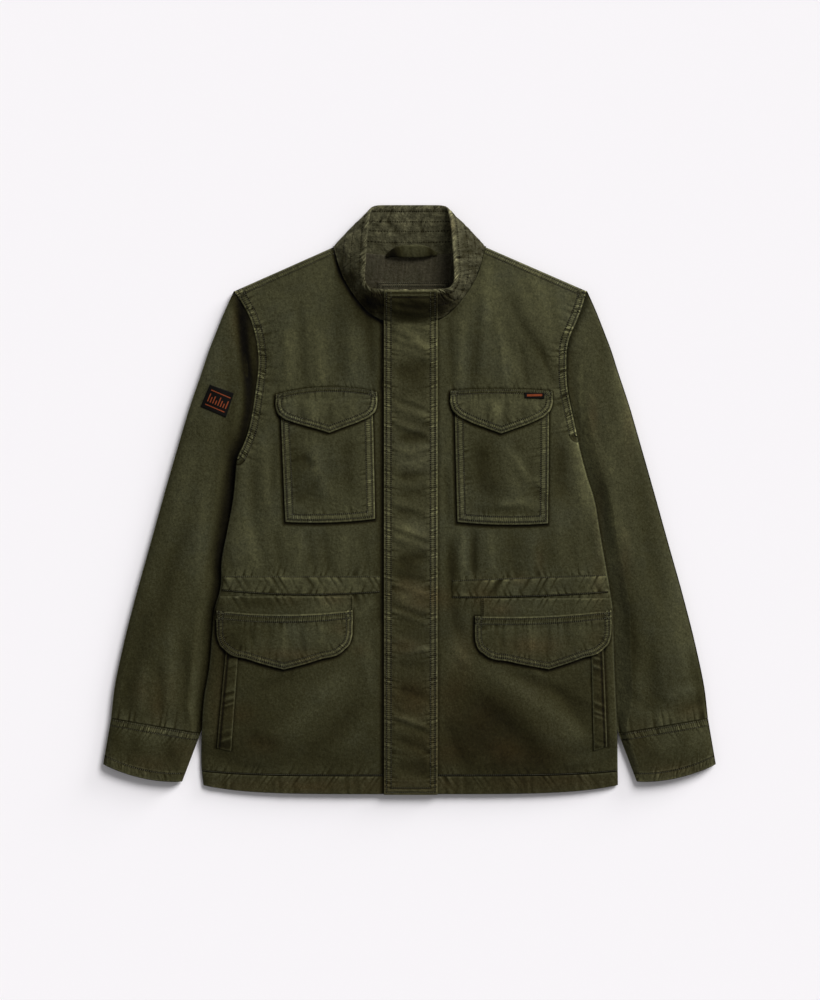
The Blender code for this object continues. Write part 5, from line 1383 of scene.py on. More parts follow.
def cloth_material(name, base, brown_share=1.0, crumple=0.0, grain_turn=0.0):
    """Twill faded by washing as a garment: a fine diagonal weave, streaks along the warp, wear, mottling, brown
    stains, and the painted shade and light in its tone.
    """
    n = Nodes(name)
    place = n.add("ShaderNodeTexCoord").outputs["Object"]
    streaks = n.noise(n.stretched(place, (620.0, 60.0, 60.0), grain_turn), 1.0, 3.0, 0.6)
    grain = n.noise(place, 820.0, 2.0, 0.6)
    mottle = n.noise(place, 300.0, 3.0, 0.65)
    cloud = n.noise(place, 24.0, 4.0, 0.55)
    fine_cloud = n.noise(place, 95.0, 3.0, 0.6)
    patchy = n.noise(place, 16.0, 3.0, 0.6)
    crumples = n.noise(place, 85.0, 3.0, 0.55)
    tone, stain, first, second, run, stitch = (n.attribute(key) for key in LOOK_KEYS)
    turn = n.math("ADD", n.math("MULTIPLY", first, 0.12), run)
    turn = n.math("ADD", turn, n.math("MULTIPLY", fine_cloud, 2.6))
    wave = n.math("SINE", n.math("MULTIPLY", turn, 2.0 * math.pi / STITCH_PITCH))
    grooves = [n.range(n.math("ABSOLUTE", row), 0.3, 1.35, 1.0, 0.0) for row in (first, second)]
    grooves = n.math("MAXIMUM", *grooves)
    grooves = n.math("MULTIPLY", grooves, n.range(wave, -0.2, 0.8, 0.25, 1.35))
    grooves = n.math("MULTIPLY", grooves, n.range(patchy, 0.38, 0.62, 0.65, 1.2))
    rungs = n.math("MULTIPLY", n.range(first, 0.4, 1.4, 0.0, 1.0), n.range(second, -1.4, -0.4, 1.0, 0.0))
    rungs = n.math("MULTIPLY", rungs, n.range(fine_cloud, 0.38, 0.62, 0.0, 1.1))
    rungs = n.math("MULTIPLY", rungs, wave)
    tone = n.math("ADD", tone, n.math("MULTIPLY", grooves, n.math("MULTIPLY", stitch, -2.6)))
    # The rungs' tone follows their relief: painted shade in their troughs.
    tone = n.math("ADD", tone, n.math("MULTIPLY", rungs, -0.36))
    # The crumples' tone follows their bump: lighter where they rise, painted shade where they sink.
    tone = n.math("ADD", tone, n.range(crumples, 0.3, 0.7, -0.26 * crumple, 0.26 * crumple))
    brightness = n.range(cloud, 0.30, 0.70, 0.93, 1.07)
    for layer, low, high, dark, light in (
        (fine_cloud, 0.25, 0.75, 0.90, 1.11), (streaks, 0.25, 0.75, 0.92, 1.09),
        (mottle, 0.30, 0.70, 0.74, 1.30), (grain, 0.25, 0.75, 0.66, 1.38),
    ):
        brightness = n.math("MULTIPLY", brightness, n.range(layer, low, high, dark, light))
    # The tone carries wear, and painted shade and light as well.
    worn = n.math("MULTIPLY", tone, n.range(fine_cloud, 0.3, 0.7, 0.82, 1.2))
    brightness = n.math("MULTIPLY", brightness, n.math("POWER", TONE_BASE, worn))
    brown = n.math("MULTIPLY", stain, n.range(patchy, 0.35, 0.62, 0.35, 1.1))
    brown = n.math("MULTIPLY", brown, brown_share, clamp=True)
    cloth = n.mixed(n.range(patchy, 0.50, 0.66, 0.0, 0.45), (*base, 1.0), (*GREY_COLOUR, 1.0))
    cloth = n.mixed(brown, cloth, (*BROWN_COLOUR, 1.0))
    darker = n.math("MINIMUM", brightness, 1.0)
    faded = n.add("ShaderNodeCombineXYZ", i0=brightness,
                  i1=n.math("MULTIPLY", brightness, n.math("POWER", darker, GREEN_POWER - 1.0)),
                  i2=n.math("MULTIPLY", brightness, n.math("POWER", darker, BLUE_POWER - 1.0)))
    tinted = n.add("ShaderNodeVectorMath", {"operation": "MULTIPLY"}, i0=cloth, i1=faded.outputs[0])
    n.set(n.shader, "Base Color", tinted.outputs[0])
    diagonal = n.stretched(place, (1.0, 1.0, 0.2), math.radians(33.0) + grain_turn)
    wale = n.add(
        "ShaderNodeTexWave",
        {"bands_direction": "X", "wave_profile": "SIN"},
        Vector=diagonal, Scale=300.0, Distortion=0.6, Detail=1.0,
    ).outputs["Fac"]
    threads = n.noise(n.stretched(place, (1900.0, 500.0, 900.0), grain_turn), 1.0, 1.0, 0.5)
    fuzz = n.math("ADD", n.math("MULTIPLY", wale, 0.5), n.math("MULTIPLY", threads, 0.6))
    bump = n.add("ShaderNodeBump", Strength=0.5, Distance=0.00016, Height=fuzz)
    wrinkle = n.noise(n.stretched(place, (150.0, 110.0, 130.0)), 1.0, 3.0, 0.6)
    soft = n.add("ShaderNodeBump", Strength=1.0, Distance=0.0012, Height=wrinkle, Normal=bump.outputs[0])
    relief = n.math("ADD", n.math("MULTIPLY", grooves, -0.55), n.math("MULTIPLY", rungs, -0.18))
    sewn = n.add("ShaderNodeBump", Strength=1.0, Distance=METRE, Height=relief, Normal=soft.outputs[0])
    if crumple:
        sewn = n.add("ShaderNodeBump", Strength=1.0, Distance=0.0028 * crumple, Height=crumples,
                     Normal=sewn.outputs[0])
    n.set(n.shader, "Normal", sewn.outputs[0])
    n.set(n.shader, "Roughness", n.range(fine_cloud, 0.3, 0.7, 0.86, 0.98))
    n.set(n.shader, "Specular IOR Level", 0.10)
    n.set(n.shader, "Sheen Weight", 0.03)
    n.set(n.shader, "Sheen Roughness", 0.45)
    n.set(n.shader, "Sheen Tint", (0.75, 0.74, 0.62, 1.0))
    return n.material


def thread_material():
    """Sewing thread, faded unevenly toward the cloth's colour."""
    n = Nodes("thread")
    place = n.add("ShaderNodeTexCoord").outputs["Object"]
    fade = n.noise(place, 60.0, 2.0, 0.5)
    colour = n.mixed(n.range(fade, 0.35, 0.65, 0.0, 1.0), (*THREAD_COLOUR, 1.0), (*SHELL_COLOUR, 1.0))
    n.set(n.shader, "Base Color", colour)
    twist = n.noise(place, 2400.0, 1.0, 0.5)
    bump = n.add("ShaderNodeBump", Strength=0.4, Distance=0.0001, Height=twist)
    n.set(n.shader, "Normal", bump.outputs[0])
    n.set(n.shader, "Roughness", n.range(twist, 0.3, 0.7, 0.7, 0.9))
    return n.material


def label_material(name, corner, across, up):
    """A small woven label with a generic design of bars, worked out from its own corner and edges."""
    n = Nodes(name)
    place = n.add("ShaderNodeTexCoord").outputs["Object"]
    offset = n.add("ShaderNodeVectorMath", {"operation": "SUBTRACT"}, i0=place, i1=tuple(corner * METRE))
    along = n.add("ShaderNodeVectorMath", {"operation": "DOT_PRODUCT"}, i0=offset.outputs[0],
                  i1=tuple(across / np.dot(across, across) / METRE))
    above = n.add("ShaderNodeVectorMath", {"operation": "DOT_PRODUCT"}, i0=offset.outputs[0],
                  i1=tuple(up / np.dot(up, up) / METRE))
    return n, place, along.outputs["Value"], above.outputs["Value"]


# ---- Meshes ----


def signed_volume(points, faces):
    total = 0.0
    for size in (3, 4):
        group = np.array([face for face in faces if len(face) == size])
        if not len(group):
            continue
        a = points[group[:, 0]]
        for k in range(1, size - 1):
            total += float(np.sum(a * np.cross(points[group[:, k]], points[group[:, k + 1]])))
    return total


def add_mesh(name, points, faces, made_of, attributes=None):
    """Makes an object from points in millimetres, with its faces pointing out."""
    if signed_volume(points, faces) < 0.0:
        faces = [face[::-1] for face in faces]
    mesh = bpy.data.meshes.new(name)
    mesh.from_pydata((points * METRE).tolist(), [], faces)
    for key, values in (attributes or {}).items():
        layer = mesh.attributes.new(key, "FLOAT", "POINT")
        layer.data.foreach_set("value", np.ascontiguousarray(values, dtype=np.float32))
    mesh.materials.append(made_of)
    mesh.shade_smooth()
    piece = bpy.data.objects.new(name, mesh)
    bpy.context.scene.collection.objects.link(piece)
    return piece


def border_strip(fine, coarse, places, turned):
    """Triangles between a fine border and the coarse border that keeps some of its places."""
    faces = []
    for i in range(len(places) - 1):
        low, high = places[i], places[i + 1]
        middle = (low + high) // 2
        for j in range(low, high):
            end = coarse[i] if j < middle else coarse[i + 1]
            faces.append((fine[j + 1], fine[j], end) if turned else (fine[j], fine[j + 1], end))
        if turned:
            faces.append((fine[middle], coarse[i], coarse[i + 1]))
        else:
            faces.append((fine[middle], coarse[i + 1], coarse[i]))
    return faces


def grid_faces(rows, columns, offset, ring, turned):
    i = np.arange(rows - 1)[:, None]
    j = np.arange(columns if ring else columns - 1)[None, :]
    k = (j + 1) % columns
    a, b = i * columns + j + offset, i * columns + k + offset
    c, d = (i + 1) * columns + k + offset, (i + 1) * columns + j + offset
    order = (d, c, b, a) if turned else (a, b, c, d)
    return np.stack([np.broadcast_to(e, a.shape) for e in order], axis=-1).reshape(-1, 4).tolist()


def shell(name, outer, inner, row_places, column_places, made_of, ring=False, **attributes):
    """A closed cloth shell: a fine shown side, and a hidden side on some of its grid lines."""
    rows, columns = outer.shape[:2]
    inner_rows, inner_columns = inner.shape[:2]
    points = np.concatenate([outer.reshape(-1, 3), inner.reshape(-1, 3)])
    offset = rows * columns
    fine = np.arange(offset).reshape(rows, columns)
    coarse = offset + np.arange(inner_rows * inner_columns).reshape(inner_rows, inner_columns)
    faces = grid_faces(rows, columns, 0, ring, False)
    faces += grid_faces(inner_rows, inner_columns, offset, ring, True)
    for at, turned in ((0, True), (-1, False)):
        fine_line, coarse_line, places = fine[at].tolist(), coarse[at].tolist(), list(column_places)
        if ring:
            fine_line.append(fine_line[0])
            coarse_line.append(coarse_line[0])
            places.append(columns)
        faces += border_strip(fine_line, coarse_line, places, turned)
    if not ring:
        faces += border_strip(fine[:, 0].tolist(), coarse[:, 0].tolist(), list(row_places), False)
        faces += border_strip(fine[:, -1].tolist(), coarse[:, -1].tolist(), list(row_places), True)
    layers = {}
    for key, values in attributes.items():
        hidden = values[np.ix_(row_places, column_places)]
        layers[key] = np.concatenate([values.reshape(-1), hidden.reshape(-1)])
    return add_mesh(name, points, faces, made_of, layers)


def grid_normals(grid):
    """Unit normals of a grid of points, by differences along both of its axes."""
    along, across = np.gradient(grid, axis=0), np.gradient(grid, axis=1)
    normals = np.cross(across, along)
    return normals / np.linalg.norm(normals, axis=-1, keepdims=True)


def ring_normals(grid, over):
    """Unit normals of a closed grid, pointing out of the tube. The first columns, over, are its top."""
    along = np.gradient(grid, axis=0)
    across = np.roll(grid, -1, axis=1) - np.roll(grid, 1, axis=1)
    normals = np.cross(across, along)
    length = np.linalg.norm(normals, axis=-1, keepdims=True)
    spread_by = np.linalg.norm(along, axis=-1, keepdims=True) * np.linalg.norm(across, axis=-1, keepdims=True)
    normals = normals / length * np.sign(normals[-1, over // 2, 2])
    upright = np.zeros_like(grid)
    upright[:, 1:over - 1, 2] = 1.0
    upright[:, over:, 2] = -1.0
    flat = np.abs(upright[..., 2:]) > 0.0
    normals = np.where(flat & (normals[..., 2:] * upright[..., 2:] < 0.0), -normals, normals)
    steady = 1.0 - smooth(length / spread_by / STEADY_ANGLE)
    normals = between(normals, upright, np.where(flat, steady, 0.0))
    return normals / np.linalg.norm(normals, axis=-1, keepdims=True)


# ---- Surfaces to lay things on, and stitches ----


RAY_START = 200.0


class Surface:
    """Something that rays can be cast on, in millimetres, from whole pieces."""

    def __init__(self, *pieces):
        points, faces = [], []
        for piece in pieces:
            start = len(points)
            flat = np.empty(3 * len(piece.data.vertices))
            piece.data.vertices.foreach_get("co", flat)
            points += (flat.reshape(-1, 3) / METRE).tolist()
            faces += [[start + index for index in polygon.vertices] for polygon in piece.data.polygons]
        self.tree = BVHTree.FromPolygons(points, faces)

    def height(self, x, y):
        """The height met by a ray straight down, or None."""
        place, _, _, _ = self.tree.ray_cast(Vector((x, y, RAY_START)), Vector((0.0, 0.0, -1.0)))
        return None if place is None else place.z

    def heights(self, x, y, reach):
        """The greatest height near each place of a grid."""
        found = np.full(x.shape, -1.0)
        for index in np.ndindex(x.shape):
            for step_x, step_y in ((0, 0), (1, 0), (-1, 0), (0, 1), (0, -1)):
                height = self.height(x[index] + step_x * reach, y[index] + step_y * reach)
                if height is not None and height > found[index]:
                    found[index] = height
        return found


def softened(grid, times):
    """A grid of heights with its small bumps smoothed out."""
    for _ in range(times):
        padded = np.pad(grid, 1, mode="edge")
        around = padded[:-2, 1:-1] + padded[2:, 1:-1] + padded[1:-1, :-2] + padded[1:-1, 2:]
        grid = 0.5 * grid + 0.125 * around
    return grid


def offset_line(line, distance):
    """A line moved sideways by a distance, to the left of its own direction."""
    line = np.array(line, dtype=float)
    steps = np.diff(line, axis=0)
    steps /= np.linalg.norm(steps, axis=1, keepdims=True)
    before = np.concatenate([steps[:1], steps])
    after = np.concatenate([steps, steps[-1:]])
    mean = before + after
    mean /= np.maximum(np.linalg.norm(mean, axis=1, keepdims=True), 1e-6)
    sharp = np.clip(np.sum(mean * before, axis=1, keepdims=True), 0.5, 1.0)
    return line + np.stack([-mean[:, 1], mean[:, 0]], axis=1) * distance / sharp


class Stitches:
    """Raised threads along rows, gathered into one mesh."""

    def __init__(self):
        self.points = []
        self.faces = []

    def row(self, line, surface):
        """Stitches along a line, left out where the cloth beneath is missing or steep."""
        line = np.array(line, dtype=float)
        steps = np.hypot(*np.diff(line, axis=0).T)
        run = np.concatenate([[0.0], np.cumsum(steps)])
        for start in np.arange(0.6, run[-1] - STITCH_LENGTH, STITCH_PITCH):
            at = np.array([start, start + STITCH_LENGTH / 2.0, start + STITCH_LENGTH])
            x, y = np.interp(at, run, line[:, 0]), np.interp(at, run, line[:, 1])
            z = [surface.height(a, b) for a, b in zip(x, y)]
            if None in z or max(z) - min(z) > STITCH_STEEPEST:
                continue
            self.add(np.stack([x, y, z], axis=1))

    def add(self, place):
        """One stitch: a thread that comes up out of the cloth, runs over it and goes down again."""
        along = place[2] - place[0]
        sideways = np.array([-along[1], along[0], 0.0])
        sideways *= STITCH_HALF / np.linalg.norm(sideways)
        start = len(self.points)
        self.points.append(place[0] - UP * STITCH_SINK)
        for share in (0.22, 0.78):
            centre = between(place[0], place[2], share) + UP * STITCH_RISE * 0.4
            for side, rise in ((1.0, 0.0), (0.0, 1.0), (-1.0, 0.0), (0.0, -1.0)):
                self.points.append(centre + side * sideways + UP * rise * STITCH_RISE)
        self.points.append(place[2] - UP * STITCH_SINK)
        for k in range(4):
            j = (k + 1) % 4
            self.faces.append((start, start + 1 + j, start + 1 + k))
            self.faces.append((start + 1 + k, start + 1 + j, start + 5 + j, start + 5 + k))
            self.faces.append((start + 9, start + 5 + k, start + 5 + j))

    def make(self, name, made_of):
        return add_mesh(name, np.array(self.points), self.faces, made_of)


# ---- Pieces ----

SHELL = cloth_material("twill", SHELL_COLOUR)
SHELL_ACROSS = cloth_material("twill_across", SHELL_COLOUR, grain_turn=math.pi / 2.0)
SHELL_CRUMPLED = cloth_material("twill_crumpled", (0.0400, 0.0382, 0.0205), crumple=1.6)
FACING = cloth_material("facing_cloth", (0.0390, 0.0345, 0.0215), brown_share=0.3)
THREAD = thread_material()


def settle(piece, node):
    """Puts a cloth piece under the root body and hides the frame part of the node that it stands for."""
    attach(piece, "root")
    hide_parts(node)


def whole_shell(node, made):
    """A shell of the whole width from the grids of its two halves, which share their middle column."""
    joined = []
    for left, right in zip(made[LEFT], made[RIGHT]):
        middle = (left[:, :1] + right[:, :1]) / 2.0
        joined.append(np.concatenate([left[:, :0:-1], middle, right[:, 1:]], axis=1))
    outer, inner, *layers = joined
    every = [np.arange(size) for size in outer.shape[:2]]
    return shell(f"cloth_{node}", outer, inner, *every, SHELL, **dict(zip(LOOK_KEYS, layers)))


def upward_normals(grid):
    """Unit normals of a grid of points, all turned upward."""
    normals = grid_normals(grid)
    return normals * np.sign(normals[..., 2:3])


def sew(node, piece, lines):
    """Raised stitches along lines on a piece."""
    surface = Surface(piece)
    stitches = Stitches()
    for line in lines:
        stitches.row(line, surface)
    made = stitches.make(f"stitches_{node}", THREAD)
    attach(made, "root")
    return made


def fine_rows(side, step):
    _, rows = row_shares(side)
    return refined(rows, step)[0]


def fine_columns(step, length=PANEL_LENGTH):
    """Shares of the half width, close together at the side edge."""
    main = np.linspace(0.0, EDGE_SHARE, int(EDGE_SHARE * length / step))
    return np.concatenate([main, 1.0 - EDGE_COLUMNS / length])


def panel_grid(columns, rows, side, top_y, neck_share, start=0.0):
    """Plan places of a half panel's grid: out and y for each row and column."""
    shares = (rows - rows[0]) / (rows[-1] - rows[0])
    neck_count = int(round(neck_share * np.sum(columns <= EDGE_SHARE)))
    at_top = top_shares(columns, top_y, side, start, neck_count)
    across = between(columns[None, :], at_top[None, :], shares[:, None] ** 2)
    out = start + across * (half_width(rows, side)[:, None] - start)
    high, low = top_y(out[-1] - 1e-6, side), hem_seam_y(out[0])
    return out, between(low[None, :], high[None, :], shares[:, None])


def closed_at(out, rows, side):
    closed = np.zeros(out.shape, dtype=bool)
    closed[:, -1] = rows <= UNDERARM_Y[side]
    closed[-1] = out[-1] > NECK_POINT[0] - NECK_POINT_NEAR
    return closed


def panel_normals(normals, out, rows, side, top_y):
    armhole = rows >= UNDERARM_Y[side]
    normals[armhole, -1] = without(normals[armhole, -1], armhole_direction(rows[armhole], side))
    normals[0] = without(normals[0], TOWARD_COLLAR)
    neck = out[-1] < NECK_POINT[0] + NECK_POINT_NEAR
    normals[-1, neck] = without(normals[-1, neck], neck_direction(top_y, out[-1, neck], side))
    closed = closed_at(out, rows, side)
    normals[closed] = without(normals[closed], UP)
    return normals


def armhole_line(side):
    y = np.linspace(UNDERARM_Y[side], SHOULDER_Y, 24)
    return np.stack([side * half_width(y, side), y], axis=1)


def neck_line(side, top_y):
    out = np.linspace(0.0, NECK_POINT[0] - 0.01, 24)
    return np.stack([side * out, top_y(out, side)], axis=1)


def shoulder_line(side):
    return np.array([(side * NECK_POINT[0], NECK_POINT[1]), (side * half_width(SHOULDER_Y, side), SHOULDER_Y)])


def side_line(side):
    y = np.linspace(SIDE_LINE_LOW_Y, UNDERARM_Y[side], 24)
    return np.stack([side * half_width(y, side), y], axis=1)


def hem_line(side):
    out = np.linspace(0.0, HEM_LINE_OUT, 24)
    return np.stack([side * out, hem_seam_y(out)], axis=1)


def flap_outline(kind, side):
    """Plan outline of a chest or hip flap, with few points."""
    grid = flap_grid(FLAPS[f"{kind}_flap_{SIDE_NAMES[side]}"], OUTLINE_STEP)
    return thinned(grid_outline(*grid), OUTLINE_STEP)


def laid_outlines(side):
    """Plan outlines of what lies on a front: its chest pocket and its two flaps."""
    pocket = grid_outline(*four_corner_grid(CHEST_POCKETS[side], 9.0, POCKET_BOW))
    return [thinned(pocket, OUTLINE_STEP), flap_outline("chest", side), flap_outline("hip", side)]


def front_look(x, y, side):
    """Fine form and wear of a front: its seams, puckers, creases, and the cloth beside what lies on it, dipped and
    darkened with painted shadow.
    """
    look = Look(x, y, FRONT_CREASES)
    look.seam(*near_line(x, y, armhole_line(side)), ARMHOLE_ROWS, 1.0 + side, 0.95, 1.1, 9.0, 10.0, light=0.6)
    look.seam(*near_line(x, y, neck_line(side, front_top_y)), (), 2.0 + side, pucker=0.3, reach=6.0)
    look.seam(*near_line(x, y, shoulder_line(side)), SHOULDER_ROWS, 3.0 + side, ladder=0.25, pucker=0.2, light=0.6)
    distance, run = near_line(x, y, hem_line(side))
    look.seam(distance, run, (HEM_ROW,), 4.0 + side, 0.0, 1.1, 7.0, 9.0, 0.5, 0.1)
    # A dark line along the hem's seam: painted shade where the front overhangs the turned hem.
    look.tone -= 0.6 * bell(distance, 1.7) * (0.8 + 0.6 * uneven(run, 47.0, 2.0))
    look.seam(*near_line(x, y, side_line(side)), (), 5.0 + side, ladder=0.1, pucker=0.22, period=13.0)
    for line in CHANNEL_LINES[side]:
        distance, run = near_line(x, y, line)
        look.band(distance, run, (), 2.0 + side, 0.0, 1.3, 7.0, 9.5, 0.3)
    # Painted shadow beside the left and lower edges of the pocket and flaps.
    for outline in laid_outlines(side):
        look.crevice_with_painted_shadow(x, y, outline, 1.0, 1.9, 2.6)
    flap_top = np.array(flap_grid(FLAPS[f"chest_flap_{SIDE_NAMES[side]}"], OUTLINE_STEP))[:, -1]
    distance, run = near_line(x, y, flap_top.T)
    look.band(distance, run, (), 6.0 + side, 0.0, 1.2, 4.5, 8.0, 0.4)
    # Painted shadow left of the placket, below the neck seam (darker on the left front), beside the placket's right
    # edge and beside the welt's outer and inner edges.
    left = PLACKET_LEFT_X
    look.crevice_with_painted_shadow(x, y, [(left, PLACKET_BOTTOM_Y), (left, PLACKET_TOP_Y)], 1.4, 1.5, 2.9, (-1.6, 0.0))
    look.crevice_with_painted_shadow(x, y, [(left, 150.0), (left, 262.0)], 0.9, 0.6, 6.0, (-2.0, 0.0))
    look.crevice_with_painted_shadow(x, y, [(left, -160.0), (left, 150.0)], 0.8, 0.35, 9.0, (-4.0, 0.0))
    look.crevice_with_painted_shadow(x, y, neck_line(side, front_top_y), 0.6, 0.8 - 0.7 * side, 3.2, (-0.8, -1.4))
    look.crevice_with_painted_shadow(x, y, neck_line(side, front_top_y), 0.5, 1.1 - 1.0 * side, 1.7, (-0.4, -0.9))
    look.crevice_with_painted_shadow(x, y, [(PLACKET_RIGHT_X, PLACKET_BOTTOM_Y), (PLACKET_RIGHT_X, PLACKET_TOP_Y)], 0.5, 0.45, 1.8,
                 (1.0, 0.0))
    corners = [(side * out, at) for out, at in WELTS[side]]
    outer = sorted(corners, key=lambda corner: -abs(corner[0]))[:2]
    look.crevice_with_painted_shadow(x, y, outer, 1.2, 1.3, 1.8, (side * 0.8, 0.0))
    inner = sorted(corners, key=lambda corner: abs(corner[0]))[:2]
    look.crevice_with_painted_shadow(x, y, inner, 0.6, 0.7, 1.3, (-side * 0.6, 0.0))
    return look


def waist_line(side, inner, y0, y1, y2):
    """A line across a front at the waist, through its inner end, middle and outer end."""
    share = np.linspace(0.0, 1.0, 14)
    y = between(y0, y2, share) + (y1 - (y0 + y2) / 2.0) * 4.0 * share * (1.0 - share)
    out = between(inner, half_width(y, side) - EDGE_MARGIN, share)
    return np.stack([side * out, y], axis=1)


CHANNEL_LINES = {}
for _side, (_inner, _high_in, _high_out, _low_in, _low_mid, _low_out) in WAIST_CHANNELS.items():
    CHANNEL_LINES[_side] = (
        waist_line(_side, _inner, _high_in, (_high_in + _high_out) / 2.0, _high_out),
        waist_line(_side, _inner, _low_in, _low_mid, _low_out),
    )


def make_front(side):
    node = f"front_{SIDE_NAMES[side]}"
    rows, columns = fine_rows(side, FINE_STEP), fine_columns(FINE_STEP)
    out, y = panel_grid(columns, rows, side, front_top_y, 0.52, closing_edge(side))
    x = side * out
    top = body_top(out, y, side)
    look = front_look(x, y, side)
    from_edge = np.minimum(side_distance(out, y, side), shoulder_distance(out, y, side))
    relief = look.height * between(0.25, 1.0, smooth(from_edge / 7.0))
    outer = np.stack([x, y, top + relief], axis=-1)
    outer[closed_at(out, rows, side), 2] += SEAM_GAP / 2.0
    keep_rows, keep_columns = kept(len(rows)), kept(len(columns), ends=12)
    some = np.ix_(keep_rows, keep_columns)
    normals = height_normals(body_top, out[some], y[some], side)
    normals = panel_normals(normals, out[some], rows[keep_rows], side, front_top_y)
    base = np.stack([x, y, top], axis=-1)[some]
    base[closed_at(out[some], rows[keep_rows], side), 2] += SEAM_GAP / 2.0
    inner = base - normals * BODY_WALL
    inner[..., 2] += np.minimum(relief[some], 0.0)
    piece = shell(f"cloth_{node}", outer, inner, keep_rows, keep_columns, SHELL, **look.attributes())
    lines = [offset_line(armhole_line(side), side * inset) for inset in ARMHOLE_ROWS]
    lines += [offset_line(shoulder_line(side), -side * inset) for inset in SHOULDER_ROWS]
    lines.append(offset_line(hem_line(side), side * HEM_ROW))
    threads = sew(node, piece, lines)
    settle(piece, node)
    return piece


def make_back():
    """The back's two halves, with as many rows each, joined at the middle."""
    count = min(len(fine_rows(side, BACK_STEP)) for side in (LEFT, RIGHT))
    made = {}
    for side in (LEFT, RIGHT):
        rows = fine_rows(side, BACK_STEP)
        rows = np.interp(np.linspace(0.0, 1.0, count), np.linspace(0.0, 1.0, len(rows)), rows)
        columns = fine_columns(BACK_STEP)
        out, y = panel_grid(columns, rows, side, back_top_y, 0.42)
        low = body_bottom(out, y, side)
        normals = height_normals(body_bottom, out, y, side)
        normals = panel_normals(normals, out, rows, side, back_top_y)
        outer = np.stack([side * out, y, low], axis=-1)
        outer[closed_at(out, rows, side), 2] -= SEAM_GAP / 2.0
        inner = outer + normals * BODY_WALL
        x = side * out
        look = Look(x, y)
        look.seam(*near_line(x, y, armhole_line(side)), (1.7, 7.6), 4.0 + side, pucker=0.3)
        look.seam(*near_line(x, y, neck_line(side, back_top_y)), (), 5.0 + side)
        look.seam(*near_line(x, y, side_line(side)), (2.0,), 6.0 + side)
        look.seam(*near_line(x, y, hem_line(side)), (), 7.0 + side, pucker=0.4)
        look.seam(*near_line(x, y, CHANNEL_LINES[side][0]), (), 8.0 + side, pucker=0.4)
        outer[..., 2] += np.clip(-look.height, 0.0, 0.5) * smooth(side_distance(out, y, side) / 9.0)
        made[side] = (outer, inner, *look.attributes().values())
    piece = whole_shell("back", made)
    settle(piece, "back")
    return piece


def hem_grid(side, start, step):
    length = half_width(HEM_SEAM_SIDE_Y, side) - start
    columns = fine_columns(step, length)
    rows = spread(HEM_STRIP, step)
    out = start + columns * length
    high, low = hem_seam_y(out) - SEAM_GAP, hem_y(out)
    y = between(high[None, :], low[None, :], rows[:, None])
    return start + columns[None, :] * (half_width(y[:, -1:], side) - start), y


def hem_look(x, y, side):
    look = Look(x, y, FRONT_CREASES)
    look.seam(*near_line(x, y, hem_line(side)), (), 3.0 + side, 0.0, 1.0, 12.0, 9.0, -0.7, 0.25)
    out = np.linspace(0.0, HEM_LINE_OUT, 24)
    edge, along = near_line(x, y, np.stack([side * out, hem_y(out)], axis=1))
    look.tone += 0.35 * bell(edge, 1.6) * (0.8 + 0.5 * uneven(along, 14.0, 2.0 + side))
    swell = uneven(along, 17.0, 5.0 + side)
    look.height += 0.55 * swell * np.exp(-edge / 9.0)
    # The swells' tone follows them: lighter crests as wear, painted shade in the hollows.
    look.tone += 0.18 * swell
    # Painted shadow left of the placket.
    left = PLACKET_LEFT_X
    look.crevice_with_painted_shadow(x, y, [(left, PLACKET_BOTTOM_Y), (left, PLACKET_TOP_Y)], 1.0, 1.15, 2.9, (-1.6, 0.0))
    return look


def make_hem_front(side):
    node = f"hem_front_{SIDE_NAMES[side]}"
    out, y = hem_grid(side, closing_edge(side), 1.5)
    x = side * out
    top = body_top(out, y, side)
    look = hem_look(x, y, side)
    edge = y - hem_y(out)
    round_off = 0.75 * (1.0 - roll(edge, EDGE_ROUND * 1.4))
    fade = between(0.3, 1.0, smooth(side_distance(out, y, side) / 8.0))
    outer = np.stack([x, y, top + look.height * fade - round_off], axis=-1)
    outer[:, -1, 2] = top[:, -1] + SEAM_GAP / 2.0
    keep_rows, keep_columns = kept(out.shape[0], 3), kept(out.shape[1], 5, 12)
    some = np.ix_(keep_rows, keep_columns)
    normals = without(height_normals(body_top, out[some], y[some], side), TOWARD_COLLAR)
    normals[:, -1] = without(normals[:, -1], UP)
    base = np.stack([x, y, top], axis=-1)[some]
    base[:, -1, 2] += SEAM_GAP / 2.0
    inner = base - normals * HEM_WALL
    piece = shell(f"cloth_{node}", outer, inner, keep_rows, keep_columns, SHELL, **look.attributes())
    settle(piece, node)
    return piece


def make_hem_back():
    made = {}
    for side in (LEFT, RIGHT):
        out, y = hem_grid(side, 0.0, 3.0)
        outer = np.stack([side * out, y, body_bottom(out, y, side)], axis=-1)
        outer[:, -1, 2] -= SEAM_GAP / 2.0
        normals = without(height_normals(body_bottom, out, y, side), TOWARD_COLLAR)
        normals[:, -1] = without(normals[:, -1], UP)
        made[side] = (outer, outer + normals * HEM_WALL, *hem_look(side * out, y, side).attributes().values())
    piece = whole_shell("hem_back", made)
    settle(piece, "hem_back")
    return piece


# A sleeve's least thickness, and its hidden side's least height
SLEEVE_LEAST = 3.4
INNER_LOWEST = 0.2

# The dip of a sleeve beside the body: its depth, its darkness, which is painted shadow of the body's edge, and how far
# each reaches
SLEEVE_HOLLOW_AND_SHADOW = {LEFT: (1.6, 1.15, 9.5), RIGHT: (1.0, 0.40, 8.0)}

